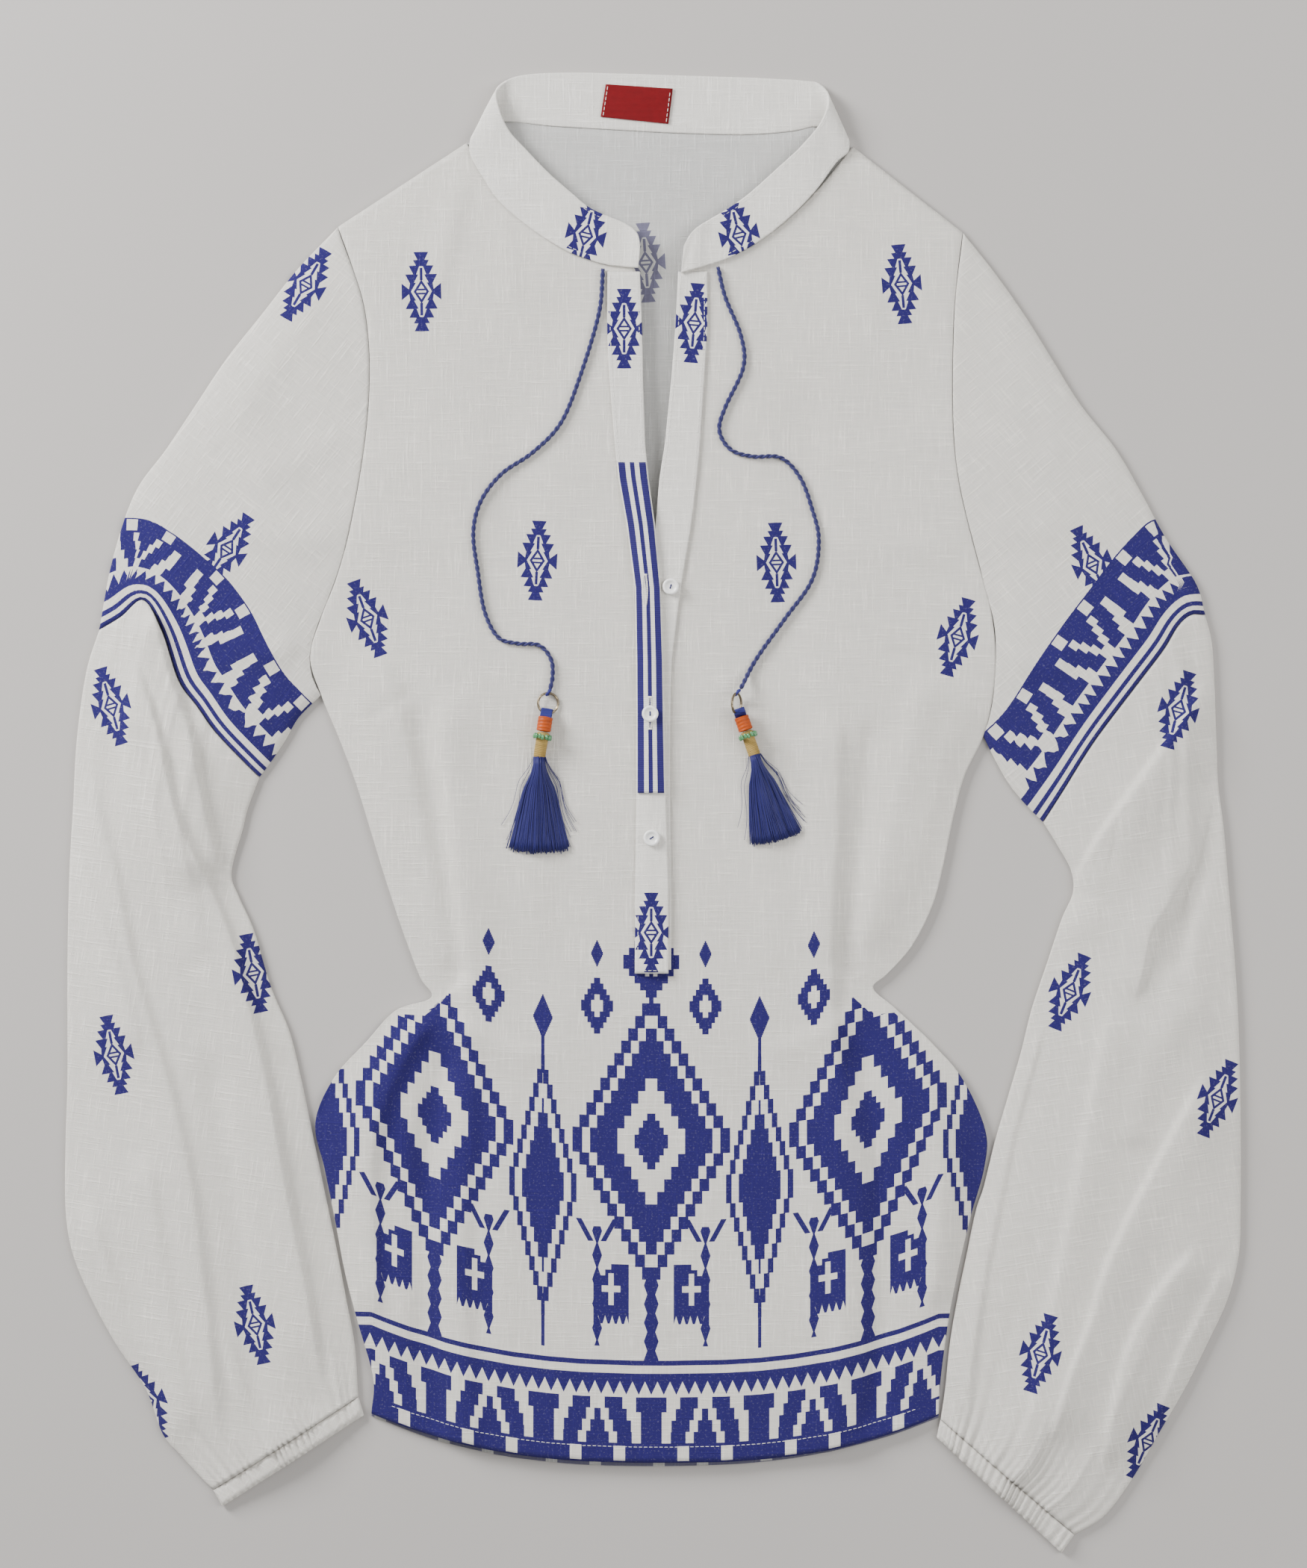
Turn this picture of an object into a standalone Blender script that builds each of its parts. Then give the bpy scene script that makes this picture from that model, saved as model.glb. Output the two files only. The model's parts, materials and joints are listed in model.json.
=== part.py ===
"""A cotton tunic laid flat, front up: body panels, stand collar, slit with placket bands and striped tape,
full two-part sleeves with gathered cuffs, two neck cords with rings and tassels, buttons and label.

X runs to the viewer's right, Y towards the collar and Z up from the surface the tunic lies on.
Tables and sizes are in millimetres; meshes are made in metres.
"""

import math

import bmesh
import bpy
import numpy as np
from mathutils import Matrix, Vector
from mathutils.bvhtree import BVHTree

MM = 0.001
CLOTH = 1.2
SEAM = 0.3
COLLAR_THICK = 1.6
TAPE_THICK = 1.0
RIM_TOP = 2 * CLOTH + SEAM
EDGE_RADIUS = RIM_TOP / 2
BODY_LOFT = 3.4
SLEEVE_LOFT = 5.4
LOFT_REACH = 24.0
CORD_RADIUS = 1.1
CORD_STEP = 6.6
CUFF_WAVES = 12
CUFF_WAVE_HEIGHT = 1.5
CUFF_WAVE_REACH = 34.0
ARMHOLE_STEPS = 12
BUTTON_RADIUS = 4.4
RING_RADIUS = 5.4
RING_WIRE = 0.65

# Plan outlines, each from the shoulder or armhole downwards.
ARMHOLE = {
    "left": [(-169, 314), (-154, 267), (-153, 211), (-165, 141), (-182, 93), (-183, 75), (-178, 63)],
    "right": [(166, 311), (161, 263), (162, 189), (176, 127), (183, 97), (182, 62), (177, 41)],
}
SLEEVE_SEAM = {
    "left": [(-297, 98), (-285, 105), (-273, 114), (-263, 98), (-254, 71), (-244, 57), (-234, 43), (-218, 26), (-211, 19)],
    "right": [(296, 106), (288, 106), (281, 100), (273, 87), (257, 66), (236, 38), (219, 11), (209, -5)],
}
UPPER_OUTER = {
    "left": [(-169, 314), (-191, 291), (-210, 267), (-229, 243), (-245, 219), (-261, 195), (-278, 171), (-290, 135), (-297, 98)],
    "right": [(166, 311), (182, 291), (199, 267), (214, 243), (229, 219), (248, 195), (262, 171), (275, 147), (291, 123), (296, 106)],
}
UPPER_INNER = {
    "left": [(-178, 63), (-190, 51), (-197, 39), (-205, 27), (-211, 19)],
    "right": [(177, 41), (184, 27), (191, 15), (200, 4), (209, -5)],
}
LOWER_OUTER = {
    "left": [
        (-297, 98), (-304, 75), (-309, 39), (-311, 3), (-313, -33), (-314, -81), (-314, -141), (-315, -177), (-315, -213),
        (-311, -237), (-301, -261), (-288, -285), (-272, -309), (-263, -333), (-253, -345), (-242, -357), (-236, -363),
    ],
    "right": [
        (296, 106), (300, 87), (302, 39), (303, 15), (306, -9), (309, -45), (312, -81), (314, -117), (315, -165),
        (315, -213), (314, -237), (308, -261), (297, -285), (285, -309), (271, -333), (257, -357), (242, -377), (226, -387),
    ],
}
LOWER_INNER = {
    "left": [
        (-211, 19), (-217, 3), (-220, -9), (-226, -32), (-222, -45), (-214, -63), (-205, -93), (-195, -117), (-189, -141),
        (-184, -165), (-179, -189), (-174, -213), (-169, -237), (-164.5, -261), (-160, -285), (-158, -313),
    ],
    "right": [
        (209, -5), (217, -18), (224, -31), (225, -43), (219, -57), (211, -81), (203, -105), (197, -129), (190, -153),
        (183, -177), (177, -201), (173, -213), (168, -237), (163, -261), (159, -285), (156.5, -309), (154, -325),
    ],
}
CUFF_LOWER = {"left": [(-231, -372), (-155, -323)], "right": [(219, -397), (152, -335)]}

# Front panel: where the sides, the slit and the hem run, one row for each section below the armholes.
# Columns: left edge x, y, right edge x, y, height of the row at the centre.
SIDE_ROWS = [
    (-168, 39, 167, 20, 32),
    (-159, 15, 161, -2, 8),
    (-151, -11, 156, -26, -18),
    (-143, -37, 150, -49, -42),
    (-134, -64, 139, -71, -65),
    (-125, -88, 126, -86, -84),
    (-119, -99, 118, -94, -98),
    (-138, -106, 130, -105, -111),
    (-154, -123, 150, -124, -128),
    (-171, -142, 166, -143, -149),
    (-181, -166, 178, -170, -174),
    (-176, -191, 177.5, -190, -199),
    (-170.5, -218, 170, -217, -226),
    (-165, -247, 163, -247, -256),
    (-158, -274, 158, -274, -285),
    (-150, -303, 154, -304, -320),
    (-151, -322, 153, -323, -348),
]
HEM_BEND = 2.5
NECK = {
    "left": [(-100, 359), (-95, 349), (-89, 341), (-80, 329), (-64, 315), (-46, 303), (-28, 297), (-11, 293)],
    "right": [(107, 357), (102, 347), (95, 341), (85.5, 331), (71, 317), (55, 304.5), (39, 297), (18, 290)],
}
NECK_ROWS = 4
SLIT_ROWS_Y = [264, 235, 206, 178, 150, 118, 87, 56]
SLIT_END_ROW = 9

# Placket lines by height: y, over band's seam, over band's free edge, under band's free edge, under band's seam.
PLACKET_ROWS = [
    (293, -24.6, -7.2, 13.6, 29.0),
    (258, -24.6, -5.8, 11.8, 29.0),
    (233, -23.4, -5.4, 9.8, 27.4),
    (197, -20.5, -4.2, 6.2, 25.0),
    (179, -18.6, -2.4, 3.4, 23.4),
    (154, -14.2, 1.0, 1.2, 20.4),
    (120, -9.8, 4.2, -3.0, 14.8),
    (82, -9.2, 5.4, -3.6, 10.0),
    (53, -9.0, 5.8, -3.4, 9.2),
    (11, -9.0, 6.6, -3.0, 9.0),
    (-37, -9.6, 8.2, -3.0, 9.6),
    (-86, -9.8, 8.2, -3.0, 9.6),
]
PLACKET_TOP = 289.5
PLACKET_END = -86.0
UNDER_END = -84.0
TAPE_TOP = 187.5
TAPE_END = 10.6
TAPE_INSET = 0.4
LAP_START, LAP_FULL = 178.0, 160.0
LAP_RISE = CLOTH + SEAM
LAP_SHARE = 0.36
SLIT_INSET = 4.0
CENTRE_STRIP = (34.0, 56.0)

# Back of the neck, shared by the back panel's edge and the collar's back seam: x, y.
BACK_SEAM = [(-81, 370.6), (-54, 368.2), (-27, 366.6), (10, 364.6), (48, 363.6), (74, 365.4), (87, 367.8)]
BACK_SEAM_TOP = [(-67, 396), (-46, 397), (-22, 396.6), (10, 395.6), (48, 394.4), (71, 393.4), (81, 392.6)]
BACK_CORNERS = {"left": [(-134, 336.5), (-101, 358), (-91, 363.4)], "right": [(97, 362.4), (107, 355.6), (137, 331)]}

# Collar band on the front, end to shoulder: seam x, y, top edge x, y, height of the top edge above the seam.
COLLAR_FRONT = {
    "left": [
        (-8, 291.4, -7, 303, 0.0), (-11, 291.6, -8.5, 310, 0.0), (-17, 292.2, -15, 315.4, 0.0), (-25, 293.2, -26, 320, 0.1),
        (-34, 295.8, -35, 324.5, 0.2), (-48, 301.4, -44, 332, 0.4), (-66, 313, -56, 342.5, 0.8), (-82, 327, -68, 355, 1.6),
        (-91, 340, -77, 365, 2.8), (-98, 353, -82, 376, 4.2),
    ],
    "right": [
        (15, 288.6, 16.3, 303, 0.0), (18, 289.6, 19.5, 309, 0.0), (23, 291, 24, 313.5, 0.0), (30, 293.2, 31, 318, 0.1),
        (41, 297, 41, 324, 0.2), (57, 306, 52, 332, 0.4), (73, 318.6, 66, 344.5, 0.8), (87, 333, 78, 355.5, 1.6),
        (98, 348, 88, 367, 2.8), (104.5, 354, 92.5, 376, 4.2),
    ],
}
# The roll at each shoulder: seam x, y, z, top edge x, y, z.
COLLAR_ROLL = {
    "left": [(-97, 361.4, 4.2, -83.5, 386.5, 6.0), (-91, 366.4, 1.2, -78, 393, 1.8)],
    "right": [(103.8, 361.2, 4.2, 93.2, 384.5, 6.0), (96.5, 366, 1.2, 88.6, 391.2, 1.8)],
}
COLLAR_ACROSS = 3

LABEL_CORNERS = [(-25.4, 390.6), (10.6, 388.2), (8.2, 369.2), (-28.2, 373.0)]
LABEL_THICK = 0.6

CORD_ROUTE = {
    "left": [
        (-26.8, 291.2), (-29, 267.4), (-39, 233.8), (-49.4, 208.6), (-64.2, 193), (-81, 181.4), (-92.2, 166.6), (-96.2, 149.8),
        (-93.8, 129), (-90.2, 107.8), (-83, 94), (-72.6, 90.6), (-61, 89.6), (-54.6, 82), (-53.8, 73), (-55.2, 65.6),
    ],
    "right": [
        (34.6, 292.2), (38.6, 275.8), (47, 255), (48.2, 238.2), (38.6, 217), (35.4, 204.6), (41.4, 194.4), (53.4, 190.6),
        (68.2, 190), (78.6, 179.4), (85, 162.6), (88.6, 145.8), (85, 124.6), (70.2, 103.4), (55.4, 82.6), (46.6, 66.2),
    ],
}
# Each tassel: ring centre x, y, ring tilt in degrees, axis direction x, y, where each piece starts and ends on the axis.
TASSELS = {
    "left": {"ring": (-56.2, 58.6), "tilt": 8.0, "axis": (-0.16, -0.987), "skirt": (-0.01, -1.0), "fan": 16.5, "length": 48.5},
    "right": {"ring": (44.6, 58.4), "tilt": 62.0, "axis": (0.33, -0.944), "skirt": (0.25, -0.968), "fan": 15.5, "length": 45.0},
}
TASSEL_PIECES = [("wrap", 7.2, 15.4, 3.9), ("beads", 15.8, 20.6, 5.2), ("binding", 21.0, 29.6, 3.3)]
SKIRT_START = 31.2
SKIRT_HEAD = (7.2, 5.0, 4.4)
SKIRT_STRANDS = (9, 3)
SKIRT_SPANS = 3
BUTTONS = [("button_top", 9.4, 121.0), ("button_middle", -1.6, 53.0), ("button_bottom", -0.8, -13.4)]

# Largest folds: where, height, width to the left and to the right of the line as it runs, points.
FOLDS = [
    ("lower_left", 4.2, 22, 5, [(-275, 118), (-263, 98), (-254, 75), (-247, 52), (-242, 24), (-234, -8), (-228, -46)]),
    ("lower_left", 4.0, 5, 24, [(-255, 28), (-240, -4), (-228, -47), (-213, -108), (-203, -157), (-191, -200), (-182, -261), (-170, -318)]),
    ("lower_left", -3.2, 12, 12, [(-262, -120), (-254, -167), (-251, -200), (-237, -231), (-231, -277), (-222, -345)]),
    ("lower_left", 3.2, 16, 12, [(-284, 30), (-292, -26), (-282, -96), (-276, -150)]),
    ("lower_left", 3.0, 14, 14, [(-285, -160), (-276, -215), (-262, -265), (-246, -325)]),
    ("lower_right", 4.2, 6, 22, [(306, 64), (289, 45), (270, 25), (254, 6), (239, -19), (227, -43), (217, -64)]),
    ("lower_right", 3.4, 12, 14, [(297, 16), (292, -21), (286, -63), (284, -105)]),
    ("lower_right", -3.0, 12, 12, [(294, -140), (262, -197), (245, -240), (222, -285), (203, -345)]),
    ("lower_right", 3.4, 14, 12, [(236, -140), (225, -206), (214, -245), (201, -301), (186, -352)]),
    ("lower_right", 3.0, 12, 14, [(310, -205), (279, -273), (251, -310), (226, -366)]),
    ("lower_right", 2.6, 14, 10, [(207, -112), (189, -189), (176, -259), (163, -332)]),
    ("body", 2.6, 12, 22, [(-122, 105), (-116, 59), (-110, 15), (-103, -28), (-101, -57), (-100, -91), (-106, -135)]),
    ("body", 2.4, 18, 8, [(-147, 95), (-137, 59), (-128, 18), (-119, -36), (-110, -80)]),
    ("body", 2.8, 14, 20, [(96, 60), (97, -27), (95, -80), (96, -110), (104, -150)]),
    ("body", 4.0, 12, 12, [(-112, -96), (-135, -140), (-148, -190), (-146, -260)]),
    ("body", 4.0, 12, 12, [(112, -92), (138, -140), (150, -190), (146, -260)]),
    ("body", -2.0, 12, 14, [(-104, -118), (-112, -180), (-116, -260), (-112, -345)]),
    ("body", -2.0, 14, 12, [(106, -118), (114, -180), (118, -260), (112, -345)]),
]
FOLD_FADE = 0.16

COLOURS = {
    "cloth": ((0.74, 0.72, 0.69), 0.85, 0.0),
    "band": ((0.86, 0.85, 0.82), 0.8, 0.0),
    "tape": ((0.10, 0.14, 0.45), 0.75, 0.0),
    "label": ((0.45, 0.02, 0.04), 0.6, 0.0),
    "button": ((0.85, 0.84, 0.82), 0.25, 0.0),
    "navy": ((0.02, 0.02, 0.14), 0.7, 0.0),
    "orange": ((0.72, 0.16, 0.04), 0.6, 0.0),
    "green": ((0.10, 0.34, 0.14), 0.2, 0.0),
    "beige": ((0.60, 0.43, 0.17), 0.7, 0.0),
    "brass": ((0.12, 0.10, 0.06), 0.4, 1.0),
}


def clear_scene():
    for thing in list(bpy.data.objects):
        bpy.data.objects.remove(thing, do_unlink=True)


def make_material(name):
    colour, roughness, metallic = COLOURS[name]
    material = bpy.data.materials.new(name)
    material.use_nodes = True
    shader = material.node_tree.nodes["Principled BSDF"]
    shader.inputs["Base Color"].default_value = (*colour, 1.0)
    shader.inputs["Roughness"].default_value = roughness
    shader.inputs["Metallic"].default_value = metallic
    return material


def smooth_line(points, per_span=14):
    """A Catmull-Rom curve through the points, as a dense polyline."""
    knots = np.array(points, float)
    padded = np.vstack([2 * knots[0] - knots[1], knots, 2 * knots[-1] - knots[-2]])
    t = np.linspace(0, 1, per_span, endpoint=False)[:, None]
    spans = []
    for p0, p1, p2, p3 in zip(padded, padded[1:], padded[2:], padded[3:]):
        bend = (2 * p0 - 5 * p1 + 4 * p2 - p3) * t**2 + (3 * p1 - p0 - 3 * p2 + p3) * t**3
        spans.append(p1 + 0.5 * ((p2 - p0) * t + bend))
    return np.vstack([*spans, knots[-1:]])


def along(points, shares):
    """Points at these shares of the length of the smooth curve through the points."""
    line = smooth_line(points)
    reach = np.concatenate([[0], np.cumsum(np.linalg.norm(np.diff(line, axis=0), axis=1))])
    return np.stack([np.interp(np.array(shares) * reach[-1], reach, axis) for axis in line.T], axis=-1)


def sideways(line):
    """Unit vectors to the right of a plan line at each of its points."""
    run = np.gradient(np.array(line, float), axis=0)
    run /= np.linalg.norm(run, axis=1, keepdims=True)
    return np.stack([run[:, 1], -run[:, 0]], axis=-1)


def nearest_on(x, y, line):
    """For each plan point: signed distance to the line, left positive, and the share of its length there."""
    starts, ends = line[:-1], line[1:]
    lengths = np.linalg.norm(ends - starts, axis=1)
    before = np.concatenate([[0], np.cumsum(lengths)[:-1]])
    best = np.full(np.shape(x), np.inf)
    side = np.zeros(np.shape(x))
    share = np.zeros(np.shape(x))
    for (ax, ay), (bx, by), length, gone in zip(starts, ends, lengths, before):
        ux, uy = (bx - ax) / length, (by - ay) / length
        run = np.clip((x - ax) * ux + (y - ay) * uy, 0, length)
        across = ux * (y - ay) - uy * (x - ax)
        distance = np.hypot(x - ax - run * ux, y - ay - run * uy)
        closer = distance < best
        best = np.where(closer, distance, best)
        side = np.where(closer, np.sign(across), side)
        share = np.where(closer, (gone + run) / lengths.sum(), share)
    return best * np.where(side < 0, -1, 1), share


def ease(value):
    value = np.clip(value, 0, 1)
    return value * value * (3 - 2 * value)


def outline_edges():
    """Every real edge of the laid garment from the neck to the cuffs and the hem's corners."""
    edges = []
    for side, column in (("left", 0), ("right", 2)):
        seams = [NECK[side][0], *UPPER_OUTER[side], *LOWER_OUTER[side][1:]]
        edges.append(np.array(seams, float))
        edges.append(np.array([*UPPER_INNER[side], *LOWER_INNER[side][1:]], float))
        body = [ARMHOLE[side][-1], *[(row[column], row[column + 1]) for row in SIDE_ROWS]]
        edges.append(np.array(body, float))
    return edges


def cloth_top(x, y, where, loft):
    """Height of the laid cloth: a rim at the garment's edges, a soft rise inwards, and the folds."""
    x, y = np.asarray(x, float), np.asarray(y, float)
    inside = np.min([np.abs(nearest_on(x, y, edge)[0]) for edge in outline_edges()], axis=0)
    height = RIM_TOP + loft * (1 - np.exp(-inside / LOFT_REACH))
    folds = np.zeros(x.shape)
    for piece, rise, left, right, points in FOLDS:
        if piece != where:
            continue
        distance, share = nearest_on(x, y, smooth_line(points, 4))
        width = np.where(distance > 0, left, right)
        fade = ease(share / FOLD_FADE) * ease((1 - share) / FOLD_FADE)
        folds += rise * fade * np.exp(-((distance / width) ** 2))
    calm = ease((np.abs(x - 1.0) - CENTRE_STRIP[0]) / (CENTRE_STRIP[1] - CENTRE_STRIP[0]))
    folds *= np.where(where == "body", calm, 1.0) * (1 - np.exp(-inside / 9.0))
    return np.maximum(height + folds, RIM_TOP)


def under_side(x, y, top, where, loft):
    """The wall's lower face: deeper on slopes, so that the wall keeps its thickness, and clear of the layer below."""
    step = 1.0
    slope_x = (cloth_top(x + step, y, where, loft) - cloth_top(x - step, y, where, loft)) / (2 * step)
    slope_y = (cloth_top(x, y + step, where, loft) - cloth_top(x, y - step, where, loft)) / (2 * step)
    depth = CLOTH * np.minimum(np.sqrt(1 + slope_x**2 + slope_y**2), 1.8)
    return np.maximum(top - depth, CLOTH + SEAM)


def add_object(name, points, faces, material):
    mesh = bpy.data.meshes.new(name)
    mesh.from_pydata([tuple(point) for point in np.asarray(points) * MM], [], faces)
    work = bmesh.new()
    work.from_mesh(mesh)
    bmesh.ops.recalc_face_normals(work, faces=work.faces)
    work.to_mesh(mesh)
    work.free()
    mesh.materials.append(material)
    mesh.shade_smooth()
    mesh.set_sharp_from_angle(angle=math.radians(50))
    thing = bpy.data.objects.new(name, mesh)
    GARMENT.objects.link(thing)
    return thing


def sheet_solid(name, upper, lower, material, cells=None):
    """A closed wall between two grids of points; cells says which squares of the grid are cloth."""
    rows, columns = upper.shape[:2]
    cells = np.ones((rows - 1, columns - 1), bool) if cells is None else cells
    number = np.arange(rows * columns).reshape(rows, columns)
    below = rows * columns
    faces = []
    walls = {}
    for i, j in np.argwhere(cells):
        a, b, c, d = number[i, j], number[i, j + 1], number[i + 1, j + 1], number[i + 1, j]
        faces += [(a, b, c), (a, c, d), (a + below, c + below, b + below), (a + below, d + below, c + below)]
        for start, end in ((a, b), (b, c), (c, d), (d, a)):
            if walls.pop((end, start), None) is None:
                walls[(start, end)] = True
    for start, end in walls:
        faces += [(end, start, start + below), (end, start + below, end + below)]
    points = np.vstack([upper.reshape(-1, 3), lower.reshape(-1, 3)])
    used = sorted({int(index) for face in faces for index in face})
    renumber = {old: new for new, old in enumerate(used)}
    return add_object(name, points[used], [[renumber[int(k)] for k in face] for face in faces], material)


def tube_solid(name, outer, inner, material):
    """An open-ended tube between an outer and an inner stack of rings."""
    rings, count = outer.shape[:2]
    number = np.arange(rings * count).reshape(rings, count)
    below = rings * count
    faces = []
    for j in range(count):
        k = (j + 1) % count
        for i in range(rings - 1):
            a, b, c, d = number[i, j], number[i, k], number[i + 1, k], number[i + 1, j]
            faces += [(a, b, c), (a, c, d), (a + below, c + below, b + below), (a + below, d + below, c + below)]
        for i in (0, rings - 1):
            a, b = number[i, j], number[i, k]
            faces += [(a, b, b + below), (a, b + below, a + below)]
    points = np.vstack([outer.reshape(-1, 3), inner.reshape(-1, 3)])
    return add_object(name, points, faces, material)


def coons(start, finish, outer, inner, shares, across):
    """A plan grid between two cross lines (start, finish) and two side lines (outer, inner)."""
    s = np.array(shares)[:, None, None]
    j = np.array(across)[None, :, None]
    cross = (1 - s) * start[None] + s * finish[None]
    side = (1 - j) * outer[:, None] + j * inner[:, None]
    corner = (1 - s) * ((1 - j) * start[0] + j * start[-1]) + s * ((1 - j) * finish[0] + j * finish[-1])
    return cross + side - corner


def flat_tube_rings(plan, top, where, loft, floor_columns):
    """Outer and inner rings of a sleeve pressed flat: round edges, folded top, floor side flat."""
    outer, inner = [], []
    for line, heights, row_loft in zip(plan, top, loft):
        under = under_side(line[:, 0], line[:, 1], heights, where, row_loft)
        first, last = line[0], line[-1]
        from_first = (line[1] - first) / np.linalg.norm(line[1] - first)
        from_last = (line[-2] - last) / np.linalg.norm(line[-2] - last)
        near_first, near_last = first + EDGE_RADIUS * from_first, last + EDGE_RADIUS * from_last
        middle = [(*p, z) for p, z in zip(line[1:-1], heights[1:-1])]
        middle_in = [(*p, z) for p, z in zip(line[1:-1], under[1:-1])]
        floor = [(*line[k], 0.0) for k in reversed(floor_columns)]
        outer.append([
            (*first, EDGE_RADIUS), (*near_first, RIM_TOP), *middle, (*near_last, RIM_TOP), (*last, EDGE_RADIUS),
            (*near_last, 0.0), *floor, (*near_first, 0.0),
        ])
        floor_in = [(x, y, CLOTH) for x, y, _ in floor]
        inner.append([
            (*(first + CLOTH * from_first), EDGE_RADIUS), (*near_first, CLOTH + SEAM), *middle_in,
            (*near_last, CLOTH + SEAM), (*(last + CLOTH * from_last), EDGE_RADIUS),
            (*near_last, CLOTH), *floor_in, (*near_first, CLOTH),
        ])
    return np.array(outer), np.array(inner)


def seam_lines(side):
    """Plan points of the armhole and of the seam between the sleeve's two parts, and their right-hand sides."""
    shares = np.linspace(0, 1, ARMHOLE_STEPS + 1)
    armhole = along(ARMHOLE[side], shares)
    seam = along(SLEEVE_SEAM[side], shares)
    return armhole, sideways(armhole), seam, sideways(seam)


def make_upper_sleeve(side, material):
    armhole, armhole_out, seam, seam_out = seam_lines(side)
    outward = 1 if side == "left" else -1
    shares = np.array([0, 0.05, 0.14, 0.25, 0.36, 0.47, 0.58, 0.69, 0.8, 0.9, 1.0])
    across = np.linspace(0, 1, ARMHOLE_STEPS + 1)
    start = armhole + outward * armhole_out * SEAM / 2
    finish = seam - outward * seam_out * SEAM * 0.8
    outer = along(UPPER_OUTER[side], shares)
    inner = along(UPPER_INNER[side], shares)
    outer[0], inner[0], outer[-1], inner[-1] = start[0], start[-1], finish[0], finish[-1]
    plan = coons(start, finish, outer, inner, shares, across)
    loft = BODY_LOFT + (SLEEVE_LOFT - BODY_LOFT) * ease(shares / 0.5)
    where = "upper_" + side
    top = np.array([cloth_top(line[:, 0], line[:, 1], where, row) for line, row in zip(plan, loft)])
    rings = flat_tube_rings(plan, top, where, loft, [3, 6, 9])
    tube_solid("sleeve_upper_" + side, *rings, material)


def halved(line):
    """The same polyline with a point added at the middle of each of its runs."""
    full = np.empty((2 * len(line) - 1, line.shape[1]))
    full[::2] = line
    full[1::2] = (line[:-1] + line[1:]) / 2
    return full


def cuff_line(side, lower):
    """The cuff's upper or lower edge in plan, from the outer side of the sleeve to the inner."""
    ends = CUFF_LOWER[side] if lower else [LOWER_OUTER[side][-1], LOWER_INNER[side][-1]]
    share = np.linspace(0, 1, 2 * ARMHOLE_STEPS + 1)[:, None]
    return (1 - share) * np.array(ends[0], float) + share * np.array(ends[1], float)


def gather_wave(distance):
    """Ripple drawn in by the elastic, as a row of heights across the sleeve, fading away from the cuff."""
    across = np.linspace(0, 1, 2 * ARMHOLE_STEPS + 1)
    uneven = 1 + 0.35 * np.sin(2 * math.pi * 2.3 * across)
    ripple = np.cos(2 * math.pi * CUFF_WAVES * across) * uneven * np.sin(math.pi * across) ** 0.3
    return CUFF_WAVE_HEIGHT * ripple * np.exp(-distance / CUFF_WAVE_REACH)


def make_lower_sleeve(side, material):
    _, _, seam, seam_out = seam_lines(side)
    outward = 1 if side == "left" else -1
    shares = np.array([0, 0.04, 0.1, 0.17, 0.24, 0.31, 0.38, 0.45, 0.52, 0.59, 0.66, 0.73, 0.8, 0.86, 0.91, 0.96, 1.0])
    across = np.linspace(0, 1, 2 * ARMHOLE_STEPS + 1)
    start = halved(seam + outward * seam_out * SEAM * 0.8)
    finish = cuff_line(side, False)
    outer = along(LOWER_OUTER[side], shares)
    inner = along(LOWER_INNER[side], shares)
    outer[0], inner[0] = start[0], start[-1]
    plan = coons(start, finish, outer, inner, shares, across)
    where = "lower_" + side
    loft = np.full(len(shares), SLEEVE_LOFT)
    length = np.linalg.norm(np.diff(outer, axis=0), axis=1).sum()
    top = []
    for line, share in zip(plan, shares):
        heights = cloth_top(line[:, 0], line[:, 1], where, SLEEVE_LOFT) + gather_wave((1 - share) * length)
        top.append(np.maximum(heights, RIM_TOP))
    rings = flat_tube_rings(plan, np.array(top), where, loft, [6, 12, 18])
    tube_solid("sleeve_lower_" + side, *rings, material)


def make_cuff(side, material):
    upper, lower = cuff_line(side, False), cuff_line(side, True)
    away = (lower - upper) / np.linalg.norm(lower - upper, axis=1, keepdims=True)
    shares = np.array([0.0, 0.4, 0.8, 1.0])[:, None, None]
    plan = (upper + away * SEAM)[None] * (1 - shares) + lower[None] * shares
    drop = np.array([0.0, 0.4, 0.9, 2.6])
    top = [
        np.maximum(cloth_top(line[:, 0], line[:, 1], "cuff", SLEEVE_LOFT) + gather_wave(4.0) - fall, RIM_TOP)
        for line, fall in zip(plan, drop)
    ]
    rings = flat_tube_rings(plan, np.array(top), "cuff", np.full(4, SLEEVE_LOFT), [6, 12, 18])
    tube_solid("cuff_" + side, *rings, material)


def placket_x(y, column):
    """Plan x of one of the placket's lines at height y."""
    table = np.array(PLACKET_ROWS[::-1], float)
    return np.interp(y, table[:, 0], table[:, column])


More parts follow.
